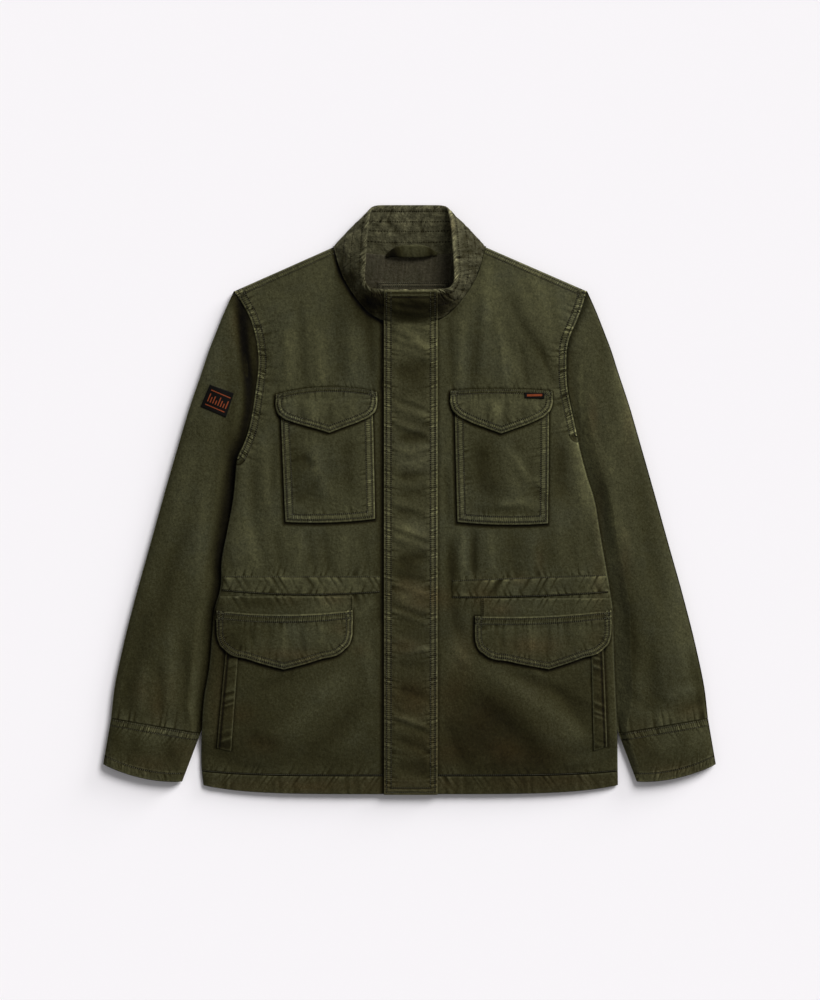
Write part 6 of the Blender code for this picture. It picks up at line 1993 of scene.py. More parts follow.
# The fold on the left sleeve beside the body, darkened with painted shadow: x, y and darkness at points down it
PAINTED_SHADOW_FOLD = [
    (-227.3, 271.4, 0.9), (-226.6, 257.9, 1.1), (-225.5, 237.6, 1.1), (-221.9, 210.5, 1.0),
    (-217.8, 169.9, 1.2), (-218.5, 122.6, 1.2), (-229.3, 75.2, 0.6), (-240.2, 27.9, 0.3),
    (-253.0, -26.2, 0.7), (-259.1, -80.4, 0.5), (-264.5, -134.5, 0.0),
]
PAINTED_SHADOW_FOLD_REACH = 5.2

# Where a sleeve is made lighter or darker down its length: middle, half length, tone
SLEEVE_SHADES = {LEFT: [(0.0, 95.0, -0.17)], RIGHT: [(10.0, 85.0, -0.13), (-215.0, 75.0, 0.12)]}

# Painted light on the right sleeve's slope toward the body, which faces away from the light: how much lighter, and
# from what slope
PAINTED_LIGHT_ON_SLOPE = {LEFT: 0.0, RIGHT: 0.46}
SLOPE_START, SLOPE_RANGE = 0.06, 0.22


def make_tube(node, side, plan, heights, along, over, under, thickness, look_at):
    """A sleeve or a cuff: a flattened tube, fine on its top and coarser on its underside."""
    parts = []
    for across_shares, is_top in ((over, True), (under, False)):
        across, stations = np.meshgrid(across_shares, along)
        out, y = plan(stations, across, side)
        top, bottom = heights(stations, across, side)
        look = look_at(side * out, y, side)
        z = top if is_top else bottom
        from_outer, from_inner = fold_distances(plan, out, y, stations, across, side)
        relief = look.height * smooth(np.minimum(from_outer, from_inner) / 6.0)
        if is_top:
            # Painted light on slopes that face left, away from the light.
            facing = grid_normals(np.stack([side * out, y, z], axis=-1))
            facing = -facing[..., 0] * np.sign(facing[..., 2])
            look.tone += PAINTED_LIGHT_ON_SLOPE[side] * smooth((facing - SLOPE_START) / SLOPE_RANGE)
            relief = np.maximum(relief, SLEEVE_LEAST - (top - bottom))
        else:
            relief = np.clip(-relief, 0.0, 0.5)
        fine = np.stack([side * out, y, z + relief], axis=-1)
        base = np.stack([side * out, y, z + np.minimum(relief, 0.0)], axis=-1)
        parts.append((fine, base, *look.attributes().values()))
    rings = [np.concatenate([top, low[:, -2:0:-1]], axis=1) for top, low in zip(*parts)]
    outer, base = rings[:2]
    outer[..., 2] = np.maximum(outer[..., 2], 0.0)
    count, low_count = len(over), len(under)
    keep_rows = kept(len(along), 5, 3)
    keep_over = kept(count, 5, 6)
    keep_under = count + kept(low_count - 2, 2, 2)
    keep_columns = np.concatenate([keep_over, keep_under])
    some = base[np.ix_(keep_rows, keep_columns)]
    inner = some - ring_normals(some, len(keep_over)) * thickness
    inner[..., 2] = np.maximum(inner[..., 2], INNER_LOWEST)
    return shell(f"cloth_{node}", outer, inner, keep_rows, keep_columns, SHELL, ring=True,
                 **dict(zip(LOOK_KEYS, rings[2:])))


def sleeve_look(x, y, side):
    look = Look(x, y)
    creases = 1.3 * creases_at(np.abs(x), y, SLEEVE_CREASES[side])
    look.height += creases
    # Tone follows the creases: lighter ridges as wear, painted shade in the troughs.
    look.tone += CREASE_TONE * creases
    distance, run = near_line(x, y, armhole_line(side))
    look.seam(distance, run, (), 5.0 + side, 0.1, 0.45, 7.0, light=0.1)
    # A dip beside the body, and painted shadow of the body's edge along the armhole and down the side.
    depth, dark, reach = SLEEVE_HOLLOW_AND_SHADOW[side]
    below, _ = near_line(x, y, side_line(side))
    fading = between(0.6, 1.45, smooth((y + 210.0) / 140.0))
    hollow_shade = np.maximum(bell(distance, reach), fading * bell(below / reach, 0.85))
    look.height -= depth * bell(distance, 5.0, 5.0)
    look.tone -= dark * hollow_shade
    for middle, half_length, shade in SLEEVE_SHADES[side]:
        look.tone += shade * bell(y, half_length, middle)
    # Painted shadow down the left sleeve's fold beside the body.
    if side == LEFT:
        fold = np.array(PAINTED_SHADOW_FOLD)[::-1]
        beside, _ = near_line(x, y, fold[:, :2])
        look.tone -= np.interp(y, fold[:, 1], fold[:, 2]) * bell(beside, PAINTED_SHADOW_FOLD_REACH)
    look.seam(*near_line(x, y, cuff_seam_line(side)), (), 6.0 + side, 0.2, 1.3, 12.0, 11.0, light=0.2)
    return look


def cuff_seam_line(side):
    out, y = sleeve_plan(np.ones(12), np.linspace(0.0, 1.0, 12), side)
    return np.stack([side * out, y], axis=1)


def cuff_hem_line(side):
    out, y = cuff_plan(np.ones(14), np.linspace(0.0, 1.0, 14), side)
    return np.stack([side * out, y], axis=1)


# Darker and lighter patches of a cuff: middle, half sizes, tone
CUFF_PATCHES = {
    LEFT: [((-395.0, -325.0), (9.0, 14.0), -0.30), ((-372.0, -332.0), (9.0, 16.0), -0.26),
           ((-348.0, -322.0), (14.0, 12.0), 0.18), ((-323.0, -340.0), (7.0, 20.0), -0.25),
           ((-383.0, -318.0), (6.0, 9.0), 0.16)],
    RIGHT: [((312.0, -325.0), (10.0, 15.0), -0.20), ((345.0, -330.0), (13.0, 12.0), 0.14),
            ((372.0, -322.0), (8.0, 15.0), -0.24), ((330.0, -345.0), (10.0, 8.0), -0.2),
            ((395.0, -318.0), (8.0, 12.0), 0.10)],
}


def cuff_look(x, y, side):
    look = Look(x, y)
    look.seam(*near_line(x, y, cuff_seam_line(side)), CUFF_ROWS, 7.0 + side, 0.5, 1.0, 8.0, 6.5, 0.5)
    distance, run = near_line(x, y, cuff_hem_line(side))
    look.seam(distance, run, (CUFF_HEM_ROW,), 8.0 + side, 0.3, 0.9, 7.0, 6.0, 0.5, 0.3)
    beads = uneven(run + 0.7 * distance, 6.2, 12.0 + side)
    # The beads' tone follows them: lighter crests as wear, painted shade between them.
    look.tone += (0.05 + 0.5 * beads) * bell(distance, 3.2, 7.2)
    look.height += 0.5 * beads * bell(distance, 3.2, 7.2)
    for centre, half, shade in CUFF_PATCHES[side]:
        away = np.hypot((x - centre[0]) / half[0], (y - centre[1]) / half[1])
        look.tone += shade * np.exp(-(away ** 2))
    look.tone += 0.4 * bell(distance, 0.9, 13.4)
    look.tone += 0.35 * bell(distance, 1.8)
    return look


def cuff_heights(along, across, side):
    out, y = cuff_plan(along, across, side)
    from_outer, from_inner = fold_distances(cuff_plan, out, y, along, across, side)
    seam_top, seam_bottom = sleeve_heights(np.ones_like(across), across, side)
    middle = between(SLEEVE_EDGE_MID, FREE_EDGE_MID, across)
    opened = roll(from_outer, CUFF_OUTER_ROLL) * roll(from_inner, CUFF_INNER_ROLL)
    end_top = middle + (CUFF_END_HEIGHT - middle) * opened
    top = between(seam_top, end_top, smooth(along))
    return top, between(seam_bottom, middle * (1.0 - opened), smooth(along))


def make_sleeve(side):
    node = f"sleeve_{SIDE_NAMES[side]}"
    over = refined(ring_shares(side), 2.3 / SLEEVE_WIDTH)[0]
    under = refined(ring_shares(side), 8.0 / SLEEVE_WIDTH)[0]
    along = refined(SLEEVE_STATIONS, 2.5 / SLEEVE_LENGTH)[0]
    piece = make_tube(node, side, sleeve_plan, sleeve_heights, along, over, under, SLEEVE_WALL, sleeve_look)
    settle(piece, node)
    return piece


def make_cuff(side):
    node = f"cuff_{SIDE_NAMES[side]}"
    over = refined(ring_shares(side), 1.4 / CUFF_WIDTH)[0]
    under = refined(ring_shares(side), 4.0 / CUFF_WIDTH)[0]
    along = spread(CUFF_LENGTH, 1.4)
    piece = make_tube(node, side, cuff_plan, cuff_heights, along, over, under, CUFF_WALL, cuff_look)
    lines = [offset_line(cuff_seam_line(side), side * inset) for inset in CUFF_ROWS]
    lines.append(offset_line(cuff_hem_line(side), -side * CUFF_HEM_ROW))
    threads = sew(node, piece, lines)
    settle(piece, node)
    return piece


# Stitched rows round the collar, from its rim down, and the puckers beside them
COLLAR_ROWS = (9.0, 23.0, 36.0, 51.0)
COLLAR_RIGHT_DARKER = 0.22
COLLAR_LEFT_LIGHTER = 0.14
COLLAR_PUCKERS = [
    # period, slant, size
    (9.5, 0.30, 1.10),
    (5.8, 0.55, 0.80),
    (15.0, -0.6, 0.50),
]


def make_collar():
    """The collar in one round, from the closing edge on the left to the one on the right."""
    left, right = collar_half(LEFT), collar_half(RIGHT)
    rows = np.concatenate([left[::-1], right[1:]])
    order = np.arange(float(len(rows)))
    fine_at, _ = refined(order, 1.0 / 14.0)
    fine = np.empty((len(fine_at), 3, 3))
    for k in range(3):
        for m in range(3):
            fine[:, k, m] = curve(fine_at, np.stack([order, rows[:, k, m]], axis=1))
    shares = spread(COLLAR_DEPTH, 1.5)
    surface = collar_surface(fine, shares)
    inward = surface[:, 1] - surface[:, 0]
    inward[:, 2] = 0.0
    inward /= np.linalg.norm(inward, axis=-1, keepdims=True)
    surface[:, 0] += inward * NECK_GAP
    normals = grid_normals(surface)
    normals[:, 0] = without(normals[:, 0], inward)
    surface[..., 2] = np.maximum(surface[..., 2], 0.0)
    inner = surface - normals * COLLAR_WALL
    steps = np.linalg.norm(np.diff(surface[:, -1], axis=0), axis=1)
    run = np.concatenate([[0.0], np.cumsum(steps)])[:, None] + 0.0 * shares[None, :]
    heights = np.linalg.norm(np.diff(surface, axis=1), axis=2)
    from_rim = np.sum(heights, axis=1, keepdims=True) - np.concatenate(
        [np.zeros((len(fine_at), 1)), np.cumsum(heights, axis=1)], axis=1)
    look = Look(surface[..., 0], surface[..., 1])
    rope = uneven(run + 1.3 * from_rim, 5.6, 2.0)
    rim_band = bell(from_rim, 3.3, 2.8)
    look.tone += (0.38 + 0.75 * rope) * rim_band + 0.10
    look.tone -= 0.5 * bell(from_rim, 1.3, 7.3) * (0.7 + 0.4 * rope)
    beyond = smooth((surface[..., 0] - 62.0) / 12.0) * smooth((from_rim - 5.0) / 4.0)
    look.tone -= COLLAR_RIGHT_DARKER * beyond
    left_side = smooth((-60.0 - surface[..., 0]) / 12.0) * smooth((from_rim - 5.0) / 4.0)
    look.tone += COLLAR_LEFT_LIGHTER * left_side
    look.rows(from_rim, run, COLLAR_ROWS[:1])
    look.stitch[:] = 0.32
    for index, row in enumerate(COLLAR_ROWS):
        distance = np.abs(from_rim - row)
        look.rows(from_rim, run, (row,))
        for period, slant, size in COLLAR_PUCKERS:
            fan = uneven(run + slant * (from_rim - row), period, 1.0 + 2.0 * index + period, True)
            patches = 0.75 + 0.6 * uneven(run + 2.0 * from_rim, 43.0, 3.0 + index)
            fan = fan * size * patches * np.exp(-distance / (7.0 - 1.2 * index))
            fan = fan * between(1.5, 0.8, smooth(from_rim / 40.0))
            look.height += fan
            # The puckers' tone follows them: lighter crests as wear, painted shade in the hollows.
            look.tone += 0.45 * fan
    look.height += (0.4 + 0.45 * rope) * rim_band
    look.stain += 0.12
    rim = 0.45 * COLLAR_WALL * (1.0 - roll(from_rim, 1.6))
    outer = surface + normals * (look.height - rim)[..., None]
    inner = inner - normals * (look.height * 0.8 - rim)[..., None]
    inner[..., 2] = np.maximum(inner[..., 2], 0.0)
    outer[..., 2] = np.maximum(outer[..., 2], 0.0)
    every_row, every_column = np.arange(outer.shape[0]), np.arange(outer.shape[1])
    piece = shell("cloth_collar", outer, inner, every_row, every_column, SHELL_CRUMPLED, **look.attributes())
    settle(piece, "collar")
    return piece


def laid_shell(node, surface, x, y, thickness, crown, look, reach, soften=10, made_of=None):
    """A fine cloth piece laid on others: rounded at its edges and raised by a soft crown."""
    heights = surface.heights(x, y, reach)
    heights = softened(heights + 0.12, soften)
    rows, columns = x.shape
    steps_x = np.concatenate([[0.0], np.cumsum(np.hypot(np.diff(x[rows // 2]), np.diff(y[rows // 2])))])
    steps_y = np.concatenate([[0.0], np.cumsum(np.hypot(np.diff(x[:, columns // 2]), np.diff(y[:, columns // 2])))])
    across = np.sin(math.pi * steps_x / steps_x[-1])[None, :]
    along = np.sin(math.pi * steps_y / steps_y[-1])[:, None]
    heights = heights + crown * np.sqrt(np.maximum(across * along, 0.0))
    base = np.stack([x, y, heights], axis=-1)
    normals = upward_normals(base)
    outer = base + normals * (thickness + room(look.height, 0.8 * thickness))[..., None]
    keep_rows, keep_columns = kept(rows, 4, 2), kept(columns, 4, 2)
    some = np.ix_(keep_rows, keep_columns)
    return shell(f"cloth_{node}", outer, base[some], keep_rows, keep_columns, made_of or SHELL,
                 **look.attributes())


def four_corner_grid(corners, step, bow=0.0):
    lower_left, lower_right, upper_right, upper_left = (np.array(c, dtype=float) for c in corners)
    across = spread(float(np.linalg.norm(lower_right - lower_left)), step)[None, :, None]
    along = spread(float(np.linalg.norm(upper_left - lower_left)), step)[:, None, None]
    low, high = between(lower_left, lower_right, across), between(upper_left, upper_right, across)
    grid = between(low, high, along)
    grid[..., 1] -= (bow * 4.0 * across * (1.0 - across) * (1.0 - along))[..., 0]
    return grid[..., 0], grid[..., 1]


def grid_outline(x, y, top_too=True):
    """The border of a grid: up its left side, over its top, down its right side and back, or open."""
    left = np.stack([x[::-1, 0], y[::-1, 0]], axis=1)
    low = np.stack([x[0], y[0]], axis=1)
    right = np.stack([x[:, -1], y[:, -1]], axis=1)
    line = np.concatenate([left, low[1:], right[1:]])
    if top_too:
        line = np.concatenate([line, np.stack([x[-1, ::-1], y[-1, ::-1]], axis=1)[1:]])
    return line


def thinned(line, step=4.0):
    """A line with only some of its points, its corners among them."""
    result = [line[0]]
    for before, point, after in zip(line[:-2], line[1:-1], line[2:]):
        a, b = point - before, after - point
        turn = abs(a[0] * b[1] - a[1] * b[0]) / max(np.linalg.norm(a) * np.linalg.norm(b), 1e-9)
        if np.linalg.norm(point - result[-1]) >= step or turn > 0.3:
            result.append(point)
    result.append(line[-1])
    return np.array(result)


def make_chest_pocket(side, under):
    node = f"chest_pocket_{SIDE_NAMES[side]}"
    x, y = four_corner_grid(CHEST_POCKETS[side], 1.7, POCKET_BOW)
    outline = thinned(grid_outline(x, y, False))
    look = Look(x, y, POCKET_CREASES, 1.9)
    look.edge(*near_line(x, y, outline), POCKET_WALL, POCKET_ROWS, 2.0 + side, pucker=1.0)
    # Painted shadow below the chest flap's left and lower edges.
    look.crevice_with_painted_shadow(x, y, flap_outline("chest", side), 0.4, 1.6, 2.4)
    piece = laid_shell(node, under, x, y, POCKET_WALL, POCKET_CROWN, look, LAY_REACH)
    threads = sew(node, piece, [offset_line(outline, inset) for inset in POCKET_ROWS])
    settle(piece, node)
    return piece


def flap_grid(row, step):
    left, right, tip, top_left, top_mid, top_right, tip_y, shape = row
    share = spread(right - left, step)
    x = left + (right - left) * share
    way = np.where(x < tip, (x - left) / (tip - left), (right - x) / (right - tip))
    across = (x - left) / (right - left)
    top = (1.0 - across) * (1.0 - 2.0 * across) * top_left
    top = top + 4.0 * across * (1.0 - across) * top_mid + across * (2.0 * across - 1.0) * top_right
    low = top - (top_mid - tip_y) * curve(way, shape)
    along = spread(FLAP_DEPTH, step)[:, None]
    return np.broadcast_to(x, (along.size, x.size)).copy(), between(low[None, :], top[None, :], along)


# How far the stitched rows of each kind of flap are from its top
TOP_ROWS = {"chest": (1.6, 5.6), "hip": (3.4, 10.2)}


def make_flap(node, under):
    x, y = flap_grid(FLAPS[node], 1.3)
    outline = thinned(grid_outline(x, y, False), 3.0)
    seed = float(len(node)) * 0.7
    look = Look(x, y, FLAP_CREASES, 1.7)
    look.edge(*near_line(x, y, outline), FLAP_WALL, FLAP_ROWS, seed, 0.35, pucker=0.9, light=0.6)
    top_line = thinned(np.stack([x[-1], y[-1]], axis=1), 6.0)
    top_rows = TOP_ROWS[node.split("_")[0]]
    distance, run = near_line(x, y, top_line)
    look.seam(distance, run, top_rows, seed + 3.0, 0.25, 0.9, 7.0)
    beads = 0.55 + 0.45 * uneven(run + 0.4 * distance, 4.4, seed + 6.0)
    look.tone -= 0.85 * beads * bell(distance - top_rows[0], 2.0, 2.2)
    piece = laid_shell(node, under, x, y, FLAP_WALL, FLAP_CROWN, look, 3.0, 14)
    lines = [offset_line(outline, inset) for inset in FLAP_ROWS]
    lines += [offset_line(top_line, -inset) for inset in top_rows]
    threads = sew(node, piece, lines)
    settle(piece, node)
    return piece


def strip_grid(side, inner, high, low, step):
    """Plan grid of a strip from its inner end to the side seam, between two rules for y."""
    across = spread(STRIP_END - inner, step)
    along = spread(STRIP_DEPTH, step)[:, None]
    y = between(low(across)[None, :], high(across)[None, :], along)
    out = between(inner, half_width(y, side) - EDGE_MARGIN, across[None, :])
    return side * out, y


def make_waist_channel(side, under):
    node = f"waist_channel_{SIDE_NAMES[side]}"
    inner, high_in, high_out, low_in, low_mid, low_out = WAIST_CHANNELS[side]
    x, y = strip_grid(
        side, inner,
        lambda a: between(high_in, high_out, a),
        lambda a: between(low_in, low_out, a) + (low_mid - (low_in + low_out) / 2.0) * 4.0 * a * (1.0 - a),
        1.4,
    )
    high_line, low_line = CHANNEL_LINES[side]
    high_distance, high_run = near_line(x, y, high_line)
    low_distance, low_run = near_line(x, y, low_line)
    ends = np.minimum(np.abs(x - x[:, :1]), np.abs(x - x[:, -1:]))
    edge = np.minimum(np.minimum(high_distance, low_distance), ends)
    look = Look(x, y)
    look.height -= 0.75 * STRIP_WALL * (1.0 - roll(edge, 3.0) * roll(ends, 9.0))
    look.band(high_distance, high_run, (CHANNEL_ROW,), 3.0 + side, 0.0, 1.25, 12.0, 13.0, 0.6)
    look.band(high_distance, high_run, (), 7.0 + side, 0.0, 0.9, 14.0, 29.0, 0.8)
    look.band(low_distance, low_run, (CHANNEL_ROW,), 4.0 + side, 0.0, 1.5, 6.0, 12.0, 0.4)
    look.tone += 0.25 * bell(high_distance, 1.6, 3.4) + 0.1 * bell(low_distance, 1.6, 3.4)
    # Painted shade along the lower edge and at the inner end.
    look.tone -= 0.5 * bell(low_distance, 1.4) + 0.45 * bell(x - x[:, :1], 1.8)
    piece = laid_shell(node, under, x, y, STRIP_WALL, CHANNEL_CROWN, look, LAY_REACH)
    lines = [offset_line(high_line, -side * CHANNEL_ROW), offset_line(low_line, side * CHANNEL_ROW)]
    threads = sew(node, piece, lines)
    settle(piece, node)
    return piece


def make_hip_panel(side, under):
    node = f"hip_panel_{SIDE_NAMES[side]}"
    inner, high, low = HIP_PANELS[side]
    x, y = strip_grid(side, inner, lambda a: high + 0.0 * a, lambda a: low + 0.0 * a, 1.5)
    from_top, run = near_line(x, y, np.stack([x[-1], y[-1]], axis=1)[::6])
    end = np.abs(x - x[:, :1])
    look = Look(x, y)
    look.height -= 0.6 * STRIP_WALL * (1.0 - roll(np.minimum(from_top, end), 1.4))
    look.band(from_top, run, (), 7.0 + side, 0.0, 1.1, 9.0, 11.0, 0.6)
    look.tone += 0.30 * bell(end, 1.0, 1.5) - 0.5 * bell(end, 0.8)
    look.rows(end, y, (2.4,))
    look.tone += 0.35 * bell(from_top, 1.0, 1.4)
    from_low = y - y[:1]
    look.band(from_low, run, (), 9.0 + side, 0.0, 0.5, 5.0, 8.0, 0.0)
    piece = laid_shell(node, under, x, y, STRIP_WALL, 0.0, look, LAY_REACH)
    settle(piece, node)
    return piece


def make_welt(side, under):
    node = f"welt_{SIDE_NAMES[side]}"
    corners = [(side * out, y) for out, y in WELTS[side]]
    x, y = four_corner_grid(corners, 1.2)
    outline = thinned(grid_outline(x, y, True))
    distance, _ = near_line(x, y, outline)
    look = Look(x, y)
    look.height -= 0.6 * STRIP_WALL * (1.0 - roll(distance, 1.2))
    wave = uneven(y + 0.35 * side * x, 11.5, 1.5 + side)
    look.height += 0.9 * wave * smooth(distance / 4.0)
    # The ripples' tone follows them: lighter crests as wear, painted shade in the hollows.
    look.tone += 0.6 * bell(distance, 1.1, 0.6) + 0.5 * wave * smooth(distance / 3.0) - 0.15
    mouth_edge = sorted(corners, key=lambda corner: -abs(corner[0]))[:2]
    from_mouth, _ = near_line(x, y, mouth_edge)
    # Painted shade in the pocket's opening along the welt's outer edge, which is dipped too.
    mouth_shade = bell(from_mouth, 1.3, 3.4)
    look.tone -= 1.5 * mouth_shade
    look.height -= 0.7 * mouth_shade
    # Painted shadow below the hip flap.
    look.crevice_with_painted_shadow(x, y, flap_outline("hip", side), 0.2, 0.9, 2.4)
    piece = laid_shell(node, under, x, y, STRIP_WALL, WELT_CROWN, look, LAY_REACH)
    settle(piece, node)
    return piece


def make_placket(under):
    length = PLACKET_TOP_Y - PLACKET_BOTTOM_Y
    y_places = PLACKET_BOTTOM_Y + length * spread(length, TRIM_STEP)
    x_places = PLACKET_LEFT_X + (PLACKET_RIGHT_X - PLACKET_LEFT_X) * spread(PLACKET_WIDTH, TRIM_STEP)
    x, y = np.meshgrid(x_places, y_places)
    coarse_y = np.linspace(PLACKET_BOTTOM_Y, PLACKET_TOP_Y, 240)
    coarse_x = np.linspace(PLACKET_LEFT_X, PLACKET_RIGHT_X, 19)
    cx, cy = np.meshgrid(coarse_x, coarse_y)
    heights = softened(under.heights(cx, np.maximum(cy, HEM_Y + HEM_EDGE_STEP), LAY_REACH) + 0.15, 3)
    by_column = np.stack([np.interp(y_places, coarse_y, heights[:, k]) for k in range(19)], axis=1)
    base_z = np.stack([np.interp(x_places, coarse_x, line) for line in by_column])
    edge = np.minimum(np.minimum(x - PLACKET_LEFT_X, PLACKET_RIGHT_X - x), y - PLACKET_BOTTOM_Y)
    edge = np.minimum(edge, PLACKET_TOP_Y - y)
    look = Look(x, y, PLACKET_CREASES)
    look.edge(edge, y, PLACKET_WALL, PLACKET_ROWS, 3.0, 0.55, 0.45, 1.0)
    side_wave = uneven(y + 0.35 * x, 26.0, 4.2) * smooth((edge - 8.0) / 9.0)
    look.height += 0.9 * side_wave + 0.8 * smooth((edge - 7.0) / 8.0)
    # The wave's tone follows it: lighter crests as wear, painted shade in the hollows.
    look.tone += 0.12 * side_wave
    look.stain += 0.10
    base = np.stack([x, y, base_z], axis=-1)
    normals = upward_normals(base)
    outer = base + normals * (PLACKET_WALL + room(look.height, 0.8 * PLACKET_WALL))[..., None]
    keep_rows, keep_columns = kept(len(y_places), 4, 2), kept(len(x_places), 4, 2)
    some = np.ix_(keep_rows, keep_columns)
    piece = shell("cloth_placket", outer, base[some], keep_rows, keep_columns, SHELL, **look.attributes())
    lines = []
    for inset in PLACKET_ROWS:
        left, right, low = PLACKET_LEFT_X + inset, PLACKET_RIGHT_X - inset, PLACKET_BOTTOM_Y + inset
        lines += [[(place, low), (place, PLACKET_TOP_Y - 1.0)] for place in (left, right)]
        lines.append([(left, low), (right, low)])
    threads = sew("placket", piece, lines)
    settle(piece, "placket")
    return piece


# How far the facing reaches in under the collar's seam
FACING_REACH = 3.2


def make_facing():
    across = np.linspace(-1.0, 1.0, 90)
    x = CENTRE_X + FACING_HALF_WIDTH * across
    high = back_top_y(np.abs(x), RIGHT) - FACING_NECK_STEP + FACING_REACH
    low = FACING_LOWER_Y + FACING_SIDE_RISE * across**4
    shares = np.linspace(0.0, 1.0, 44)[:, None]
    y = between(low[None, :], high[None, :], shares)
    x = np.broadcast_to(x, y.shape).copy()
    inner = np.stack([x, y, np.full(x.shape, BODY_WALL + SEAM_GAP)], axis=-1)
    look = Look(x, y)
    bumps = uneven(x + 0.2 * y, 21.0, 1.0) * np.sin(math.pi * shares)
    # The bumps' tone follows them: lighter crests as wear, painted shade in the hollows; the finer streaks are the
    # cloth's own.
    look.tone += 0.12 * bumps + 0.16 * uneven(x - 0.1 * y, 6.5, 4.0)
    outer = inner + np.stack([0.0 * x, 0.0 * x, LABEL_WALL + 0.1 + np.clip(0.25 * bumps, -0.3, 0.35)], axis=-1)
    rows, columns = kept(x.shape[0], 3, 1), kept(x.shape[1], 3, 1)
    piece = shell("cloth_back_facing", outer, inner[np.ix_(rows, columns)], rows, columns, FACING,
                  **look.attributes())
    settle(piece, "back_facing")
    return piece


def make_neck_patch():
    left, right, low, high = NECK_PATCH
    x, y = np.meshgrid(left + (right - left) * spread(right - left, 1.4), low + (high - low) * spread(high - low, 1.4))
    inner = np.stack([x, y, np.full(x.shape, BODY_WALL + LABEL_WALL + 2.0 * SEAM_GAP + 0.3)], axis=-1)
    edge = np.minimum(np.minimum(x - left, right - x), high - y)
    look = Look(x, y)
    look.edge(edge, x + y, LABEL_WALL, PATCH_ROWS, 6.0, 0.1, 0.1, 0.1, 0.4)
    outer = inner + np.stack([0.0 * x, 0.0 * x, LABEL_WALL + np.maximum(look.height, -0.3)], axis=-1)
    rows, columns = kept(x.shape[0], 3, 1), kept(x.shape[1], 3, 1)
    piece = shell("cloth_neck_patch", outer, inner[np.ix_(rows, columns)], rows, columns, FACING,
                  **look.attributes())
    lines = []
    for inset in PATCH_ROWS:
        near, far, top = left + inset, right - inset, high - inset
        lines.append([(near, low + 2.0), (near, top), (far, top), (far, low + 2.0)])
    threads = sew("neck_patch", piece, lines)
    settle(piece, "neck_patch")
    return piece


# Painted shade at the hanger loop's ends, inside its arch: x, half width, amount
LOOP_END_PAINTED_SHADE = ((-23.0, 9.0, 2.2), (29.0, 5.0, 1.1))


def make_hanger_loop():
    x = np.linspace(LOOP[0, 0], LOOP[-1, 0], 60)
    low_y, high_y, low_z, high_z = (curve(x, LOOP, column) for column in (1, 2, 3, 4))
    share = np.linspace(0.0, 1.0, 13)[:, None]
    y, z = between(low_y, high_y, share), between(low_z, high_z, share)
    z = z + LOOP_BULGE * np.sin(math.pi * share)
    inner = np.stack([np.broadcast_to(x, y.shape), y, z], axis=-1)
    normals = upward_normals(inner)
    edge = np.minimum(share, 1.0 - share) * 14.0
    look = Look(inner[..., 0], inner[..., 1])
    wave = uneven(inner[..., 0] + 5.0 * share, 9.0, 2.0)
    look.height += 0.25 * wave - 0.5 * LOOP_WALL * (1.0 - roll(edge, 1.6))
    # Its tone follows the wave: lighter crests as wear, painted shade in the hollows.
    look.tone += 0.35 * bell(edge, 1.6) * share + 0.12 * wave - 0.2
    # Painted shade at the ends, darker toward the lower edge.
    for place, half_width, dark in LOOP_END_PAINTED_SHADE:
        look.tone -= dark * bell(inner[..., 0], half_width, place) * (1.1 - 0.6 * share)
    outer = inner + normals * (LOOP_WALL + look.height)[..., None]
    piece = shell("cloth_hanger_loop", outer, inner, np.arange(13), np.arange(60), SHELL_ACROSS,
                  **look.attributes())
    settle(piece, "hanger_loop")
    return piece


# Bars of each label: low and high share across, low and high share up
LABEL_BARS = {
    "sleeve_patch": (
        (0.12, 0.88, 0.16, 0.20), (0.12, 0.88, 0.80, 0.84), (0.14, 0.18, 0.32, 0.68), (0.24, 0.28, 0.32, 0.56),
        (0.34, 0.38, 0.32, 0.64), (0.44, 0.48, 0.32, 0.50), (0.54, 0.58, 0.32, 0.68), (0.64, 0.68, 0.32, 0.58),
        (0.74, 0.78, 0.32, 0.50), (0.84, 0.88, 0.32, 0.66),
    ),
    "flap_tab": ((0.12, 0.88, 0.30, 0.66),),
}


def make_label(node, corners, under):
    """A small woven label: dark, with a generic design of plain bars."""
    x, y = four_corner_grid(corners, 1.0)
    edge, run = near_line(x, y, thinned(grid_outline(x, y, True)))
    look = Look(x, y)
    look.height = 0.1 * uneven(run, 5.0, 1.0) * np.exp(-edge / 2.0) - 0.5 * LABEL_WALL * (1.0 - roll(edge, 0.9))
    origin, across, up = (np.array((*c, 0.0)) for c in (corners[0], np.subtract(corners[1], corners[0]),
                                                        np.subtract(corners[3], corners[0])))
    n, place, along, above = label_material(f"{node}_weave", origin, across, up)
    bars = None
    for low_u, high_u, low_v, high_v in LABEL_BARS[node]:
        inside = n.math("MULTIPLY", n.math("GREATER_THAN", along, low_u), n.math("LESS_THAN", along, high_u))
        inside = n.math("MULTIPLY", inside, n.math("GREATER_THAN", above, low_v))
        inside = n.math("MULTIPLY", inside, n.math("LESS_THAN", above, high_v))
        bars = inside if bars is None else n.math("MAXIMUM", bars, inside)
    speckle = n.noise(place, 1500.0, 1.0, 0.5)
    bars = n.math("MULTIPLY", bars, n.range(speckle, 0.3, 0.6, 0.55, 1.0))
    colour = n.mixed(bars, (*LABEL_COLOUR, 1.0), (*ORANGE_COLOUR, 1.0))
    n.set(n.shader, "Base Color", colour)
    n.set(n.shader, "Roughness", n.range(speckle, 0.3, 0.7, 0.6, 0.85))
    n.set(n.shader, "Specular IOR Level", 0.06)
    bump = n.add("ShaderNodeBump", Strength=0.5, Distance=0.0001, Height=speckle)
    n.set(n.shader, "Normal", bump.outputs[0])
    piece = laid_shell(node, under, x, y, LABEL_WALL, 0.0, look, 1.2, 4, n.material)
    settle(piece, node)
    return piece


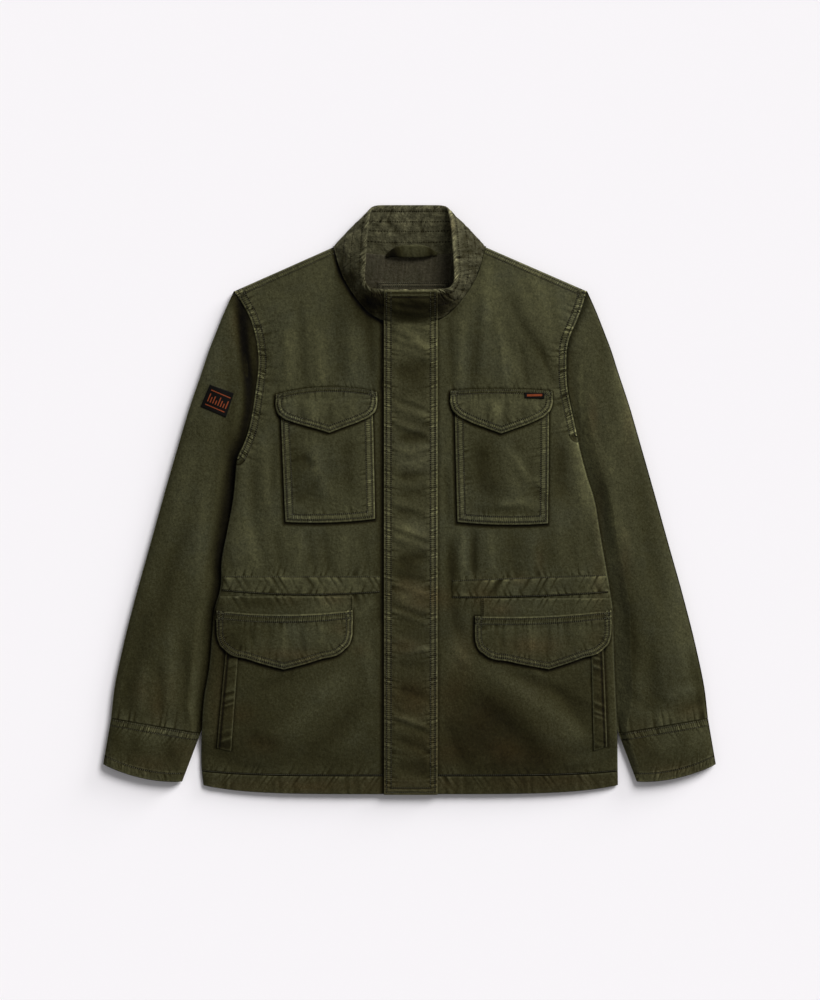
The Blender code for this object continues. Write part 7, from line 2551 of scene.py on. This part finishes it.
# The key light stands beyond the collar and a little to the right
SUNS = {
    # strength, spread, turn, rise
    "key": (2.76, 30.0, 40.0, 42.0),
    "low": (1.78, 22.0, 50.0, 13.0),
}
FILL_STRENGTH = 0.285


# Just under the cloth, so that the floor isn't in one plane with its underside
FLOOR_Z = -0.0002

# A long lens, the length that its frame spans on the table, and where its axis meets the cloth
LENS, SENSOR = 135.0, 36.0
VIEW_LENGTH = 1.353
CAMERA_PLACE = (0.0007, -0.0008)
CAMERA_ABOVE = 0.012


def make_stage():
    """A plain pale floor, soft lights and a camera that looks straight down."""
    bpy.ops.mesh.primitive_plane_add(size=60.0, location=(0.0, 0.0, FLOOR_Z))
    floor = bpy.context.object
    floor.name = "floor"
    n = Nodes("floor")
    n.set(n.shader, "Base Color", (0.94, 0.915, 0.94, 1.0))
    n.set(n.shader, "Roughness", 0.9)
    floor.data.materials.append(n.material)
    world = bpy.data.worlds.new("world")
    world.use_nodes = True
    world.node_tree.nodes["Background"].inputs[0].default_value = (1.0, 1.0, 1.0, 1.0)
    world.node_tree.nodes["Background"].inputs[1].default_value = FILL_STRENGTH
    bpy.context.scene.world = world
    for name, (strength, spread_by, turn, rise) in SUNS.items():
        light = bpy.data.lights.new(name, "SUN")
        light.energy = strength
        light.angle = math.radians(spread_by)
        lamp = bpy.data.objects.new(name, light)
        bpy.context.scene.collection.objects.link(lamp)
        turn, rise = math.radians(turn), math.radians(rise)
        toward = Vector((math.sin(turn) * math.cos(rise), math.cos(turn) * math.cos(rise), math.sin(rise)))
        lamp.location = toward * 3.0
        lamp.rotation_euler = (-toward).to_track_quat("-Z", "Y").to_euler()
    camera = bpy.data.cameras.new("camera")
    camera.lens = LENS
    camera.sensor_width = SENSOR
    viewer = bpy.data.objects.new("camera", camera)
    bpy.context.scene.collection.objects.link(viewer)
    distance = LENS / SENSOR * VIEW_LENGTH
    viewer.location = (*CAMERA_PLACE, distance + CAMERA_ABOVE)
    bpy.context.scene.camera = viewer
    bpy.context.scene.view_settings.view_transform = "Standard"


def main():
    fronts = {side: make_front(side) for side in (LEFT, RIGHT)}
    hems = {side: make_hem_front(side) for side in (LEFT, RIGHT)}
    make_back()
    make_hem_back()
    sleeves = {side: make_sleeve(side) for side in (LEFT, RIGHT)}
    for side in (LEFT, RIGHT):
        make_cuff(side)
    collar = make_collar()
    flaps = {}
    for side in (LEFT, RIGHT):
        name = SIDE_NAMES[side]
        front = Surface(fronts[side], hems[side])
        pocket = make_chest_pocket(side, front)
        make_waist_channel(side, front)
        panel = make_hip_panel(side, front)
        welt = make_welt(side, front)
        flaps[side] = make_flap(f"chest_flap_{name}", Surface(fronts[side], pocket))
        make_flap(f"hip_flap_{name}", Surface(fronts[side], panel, welt))
    make_placket(Surface(fronts[LEFT], fronts[RIGHT], hems[LEFT], hems[RIGHT], collar))
    make_facing()
    make_neck_patch()
    make_hanger_loop()
    make_label("sleeve_patch", SLEEVE_PATCH, Surface(sleeves[LEFT]))
    make_label("flap_tab", FLAP_TAB, Surface(flaps[RIGHT]))
    make_stage()
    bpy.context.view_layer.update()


main()
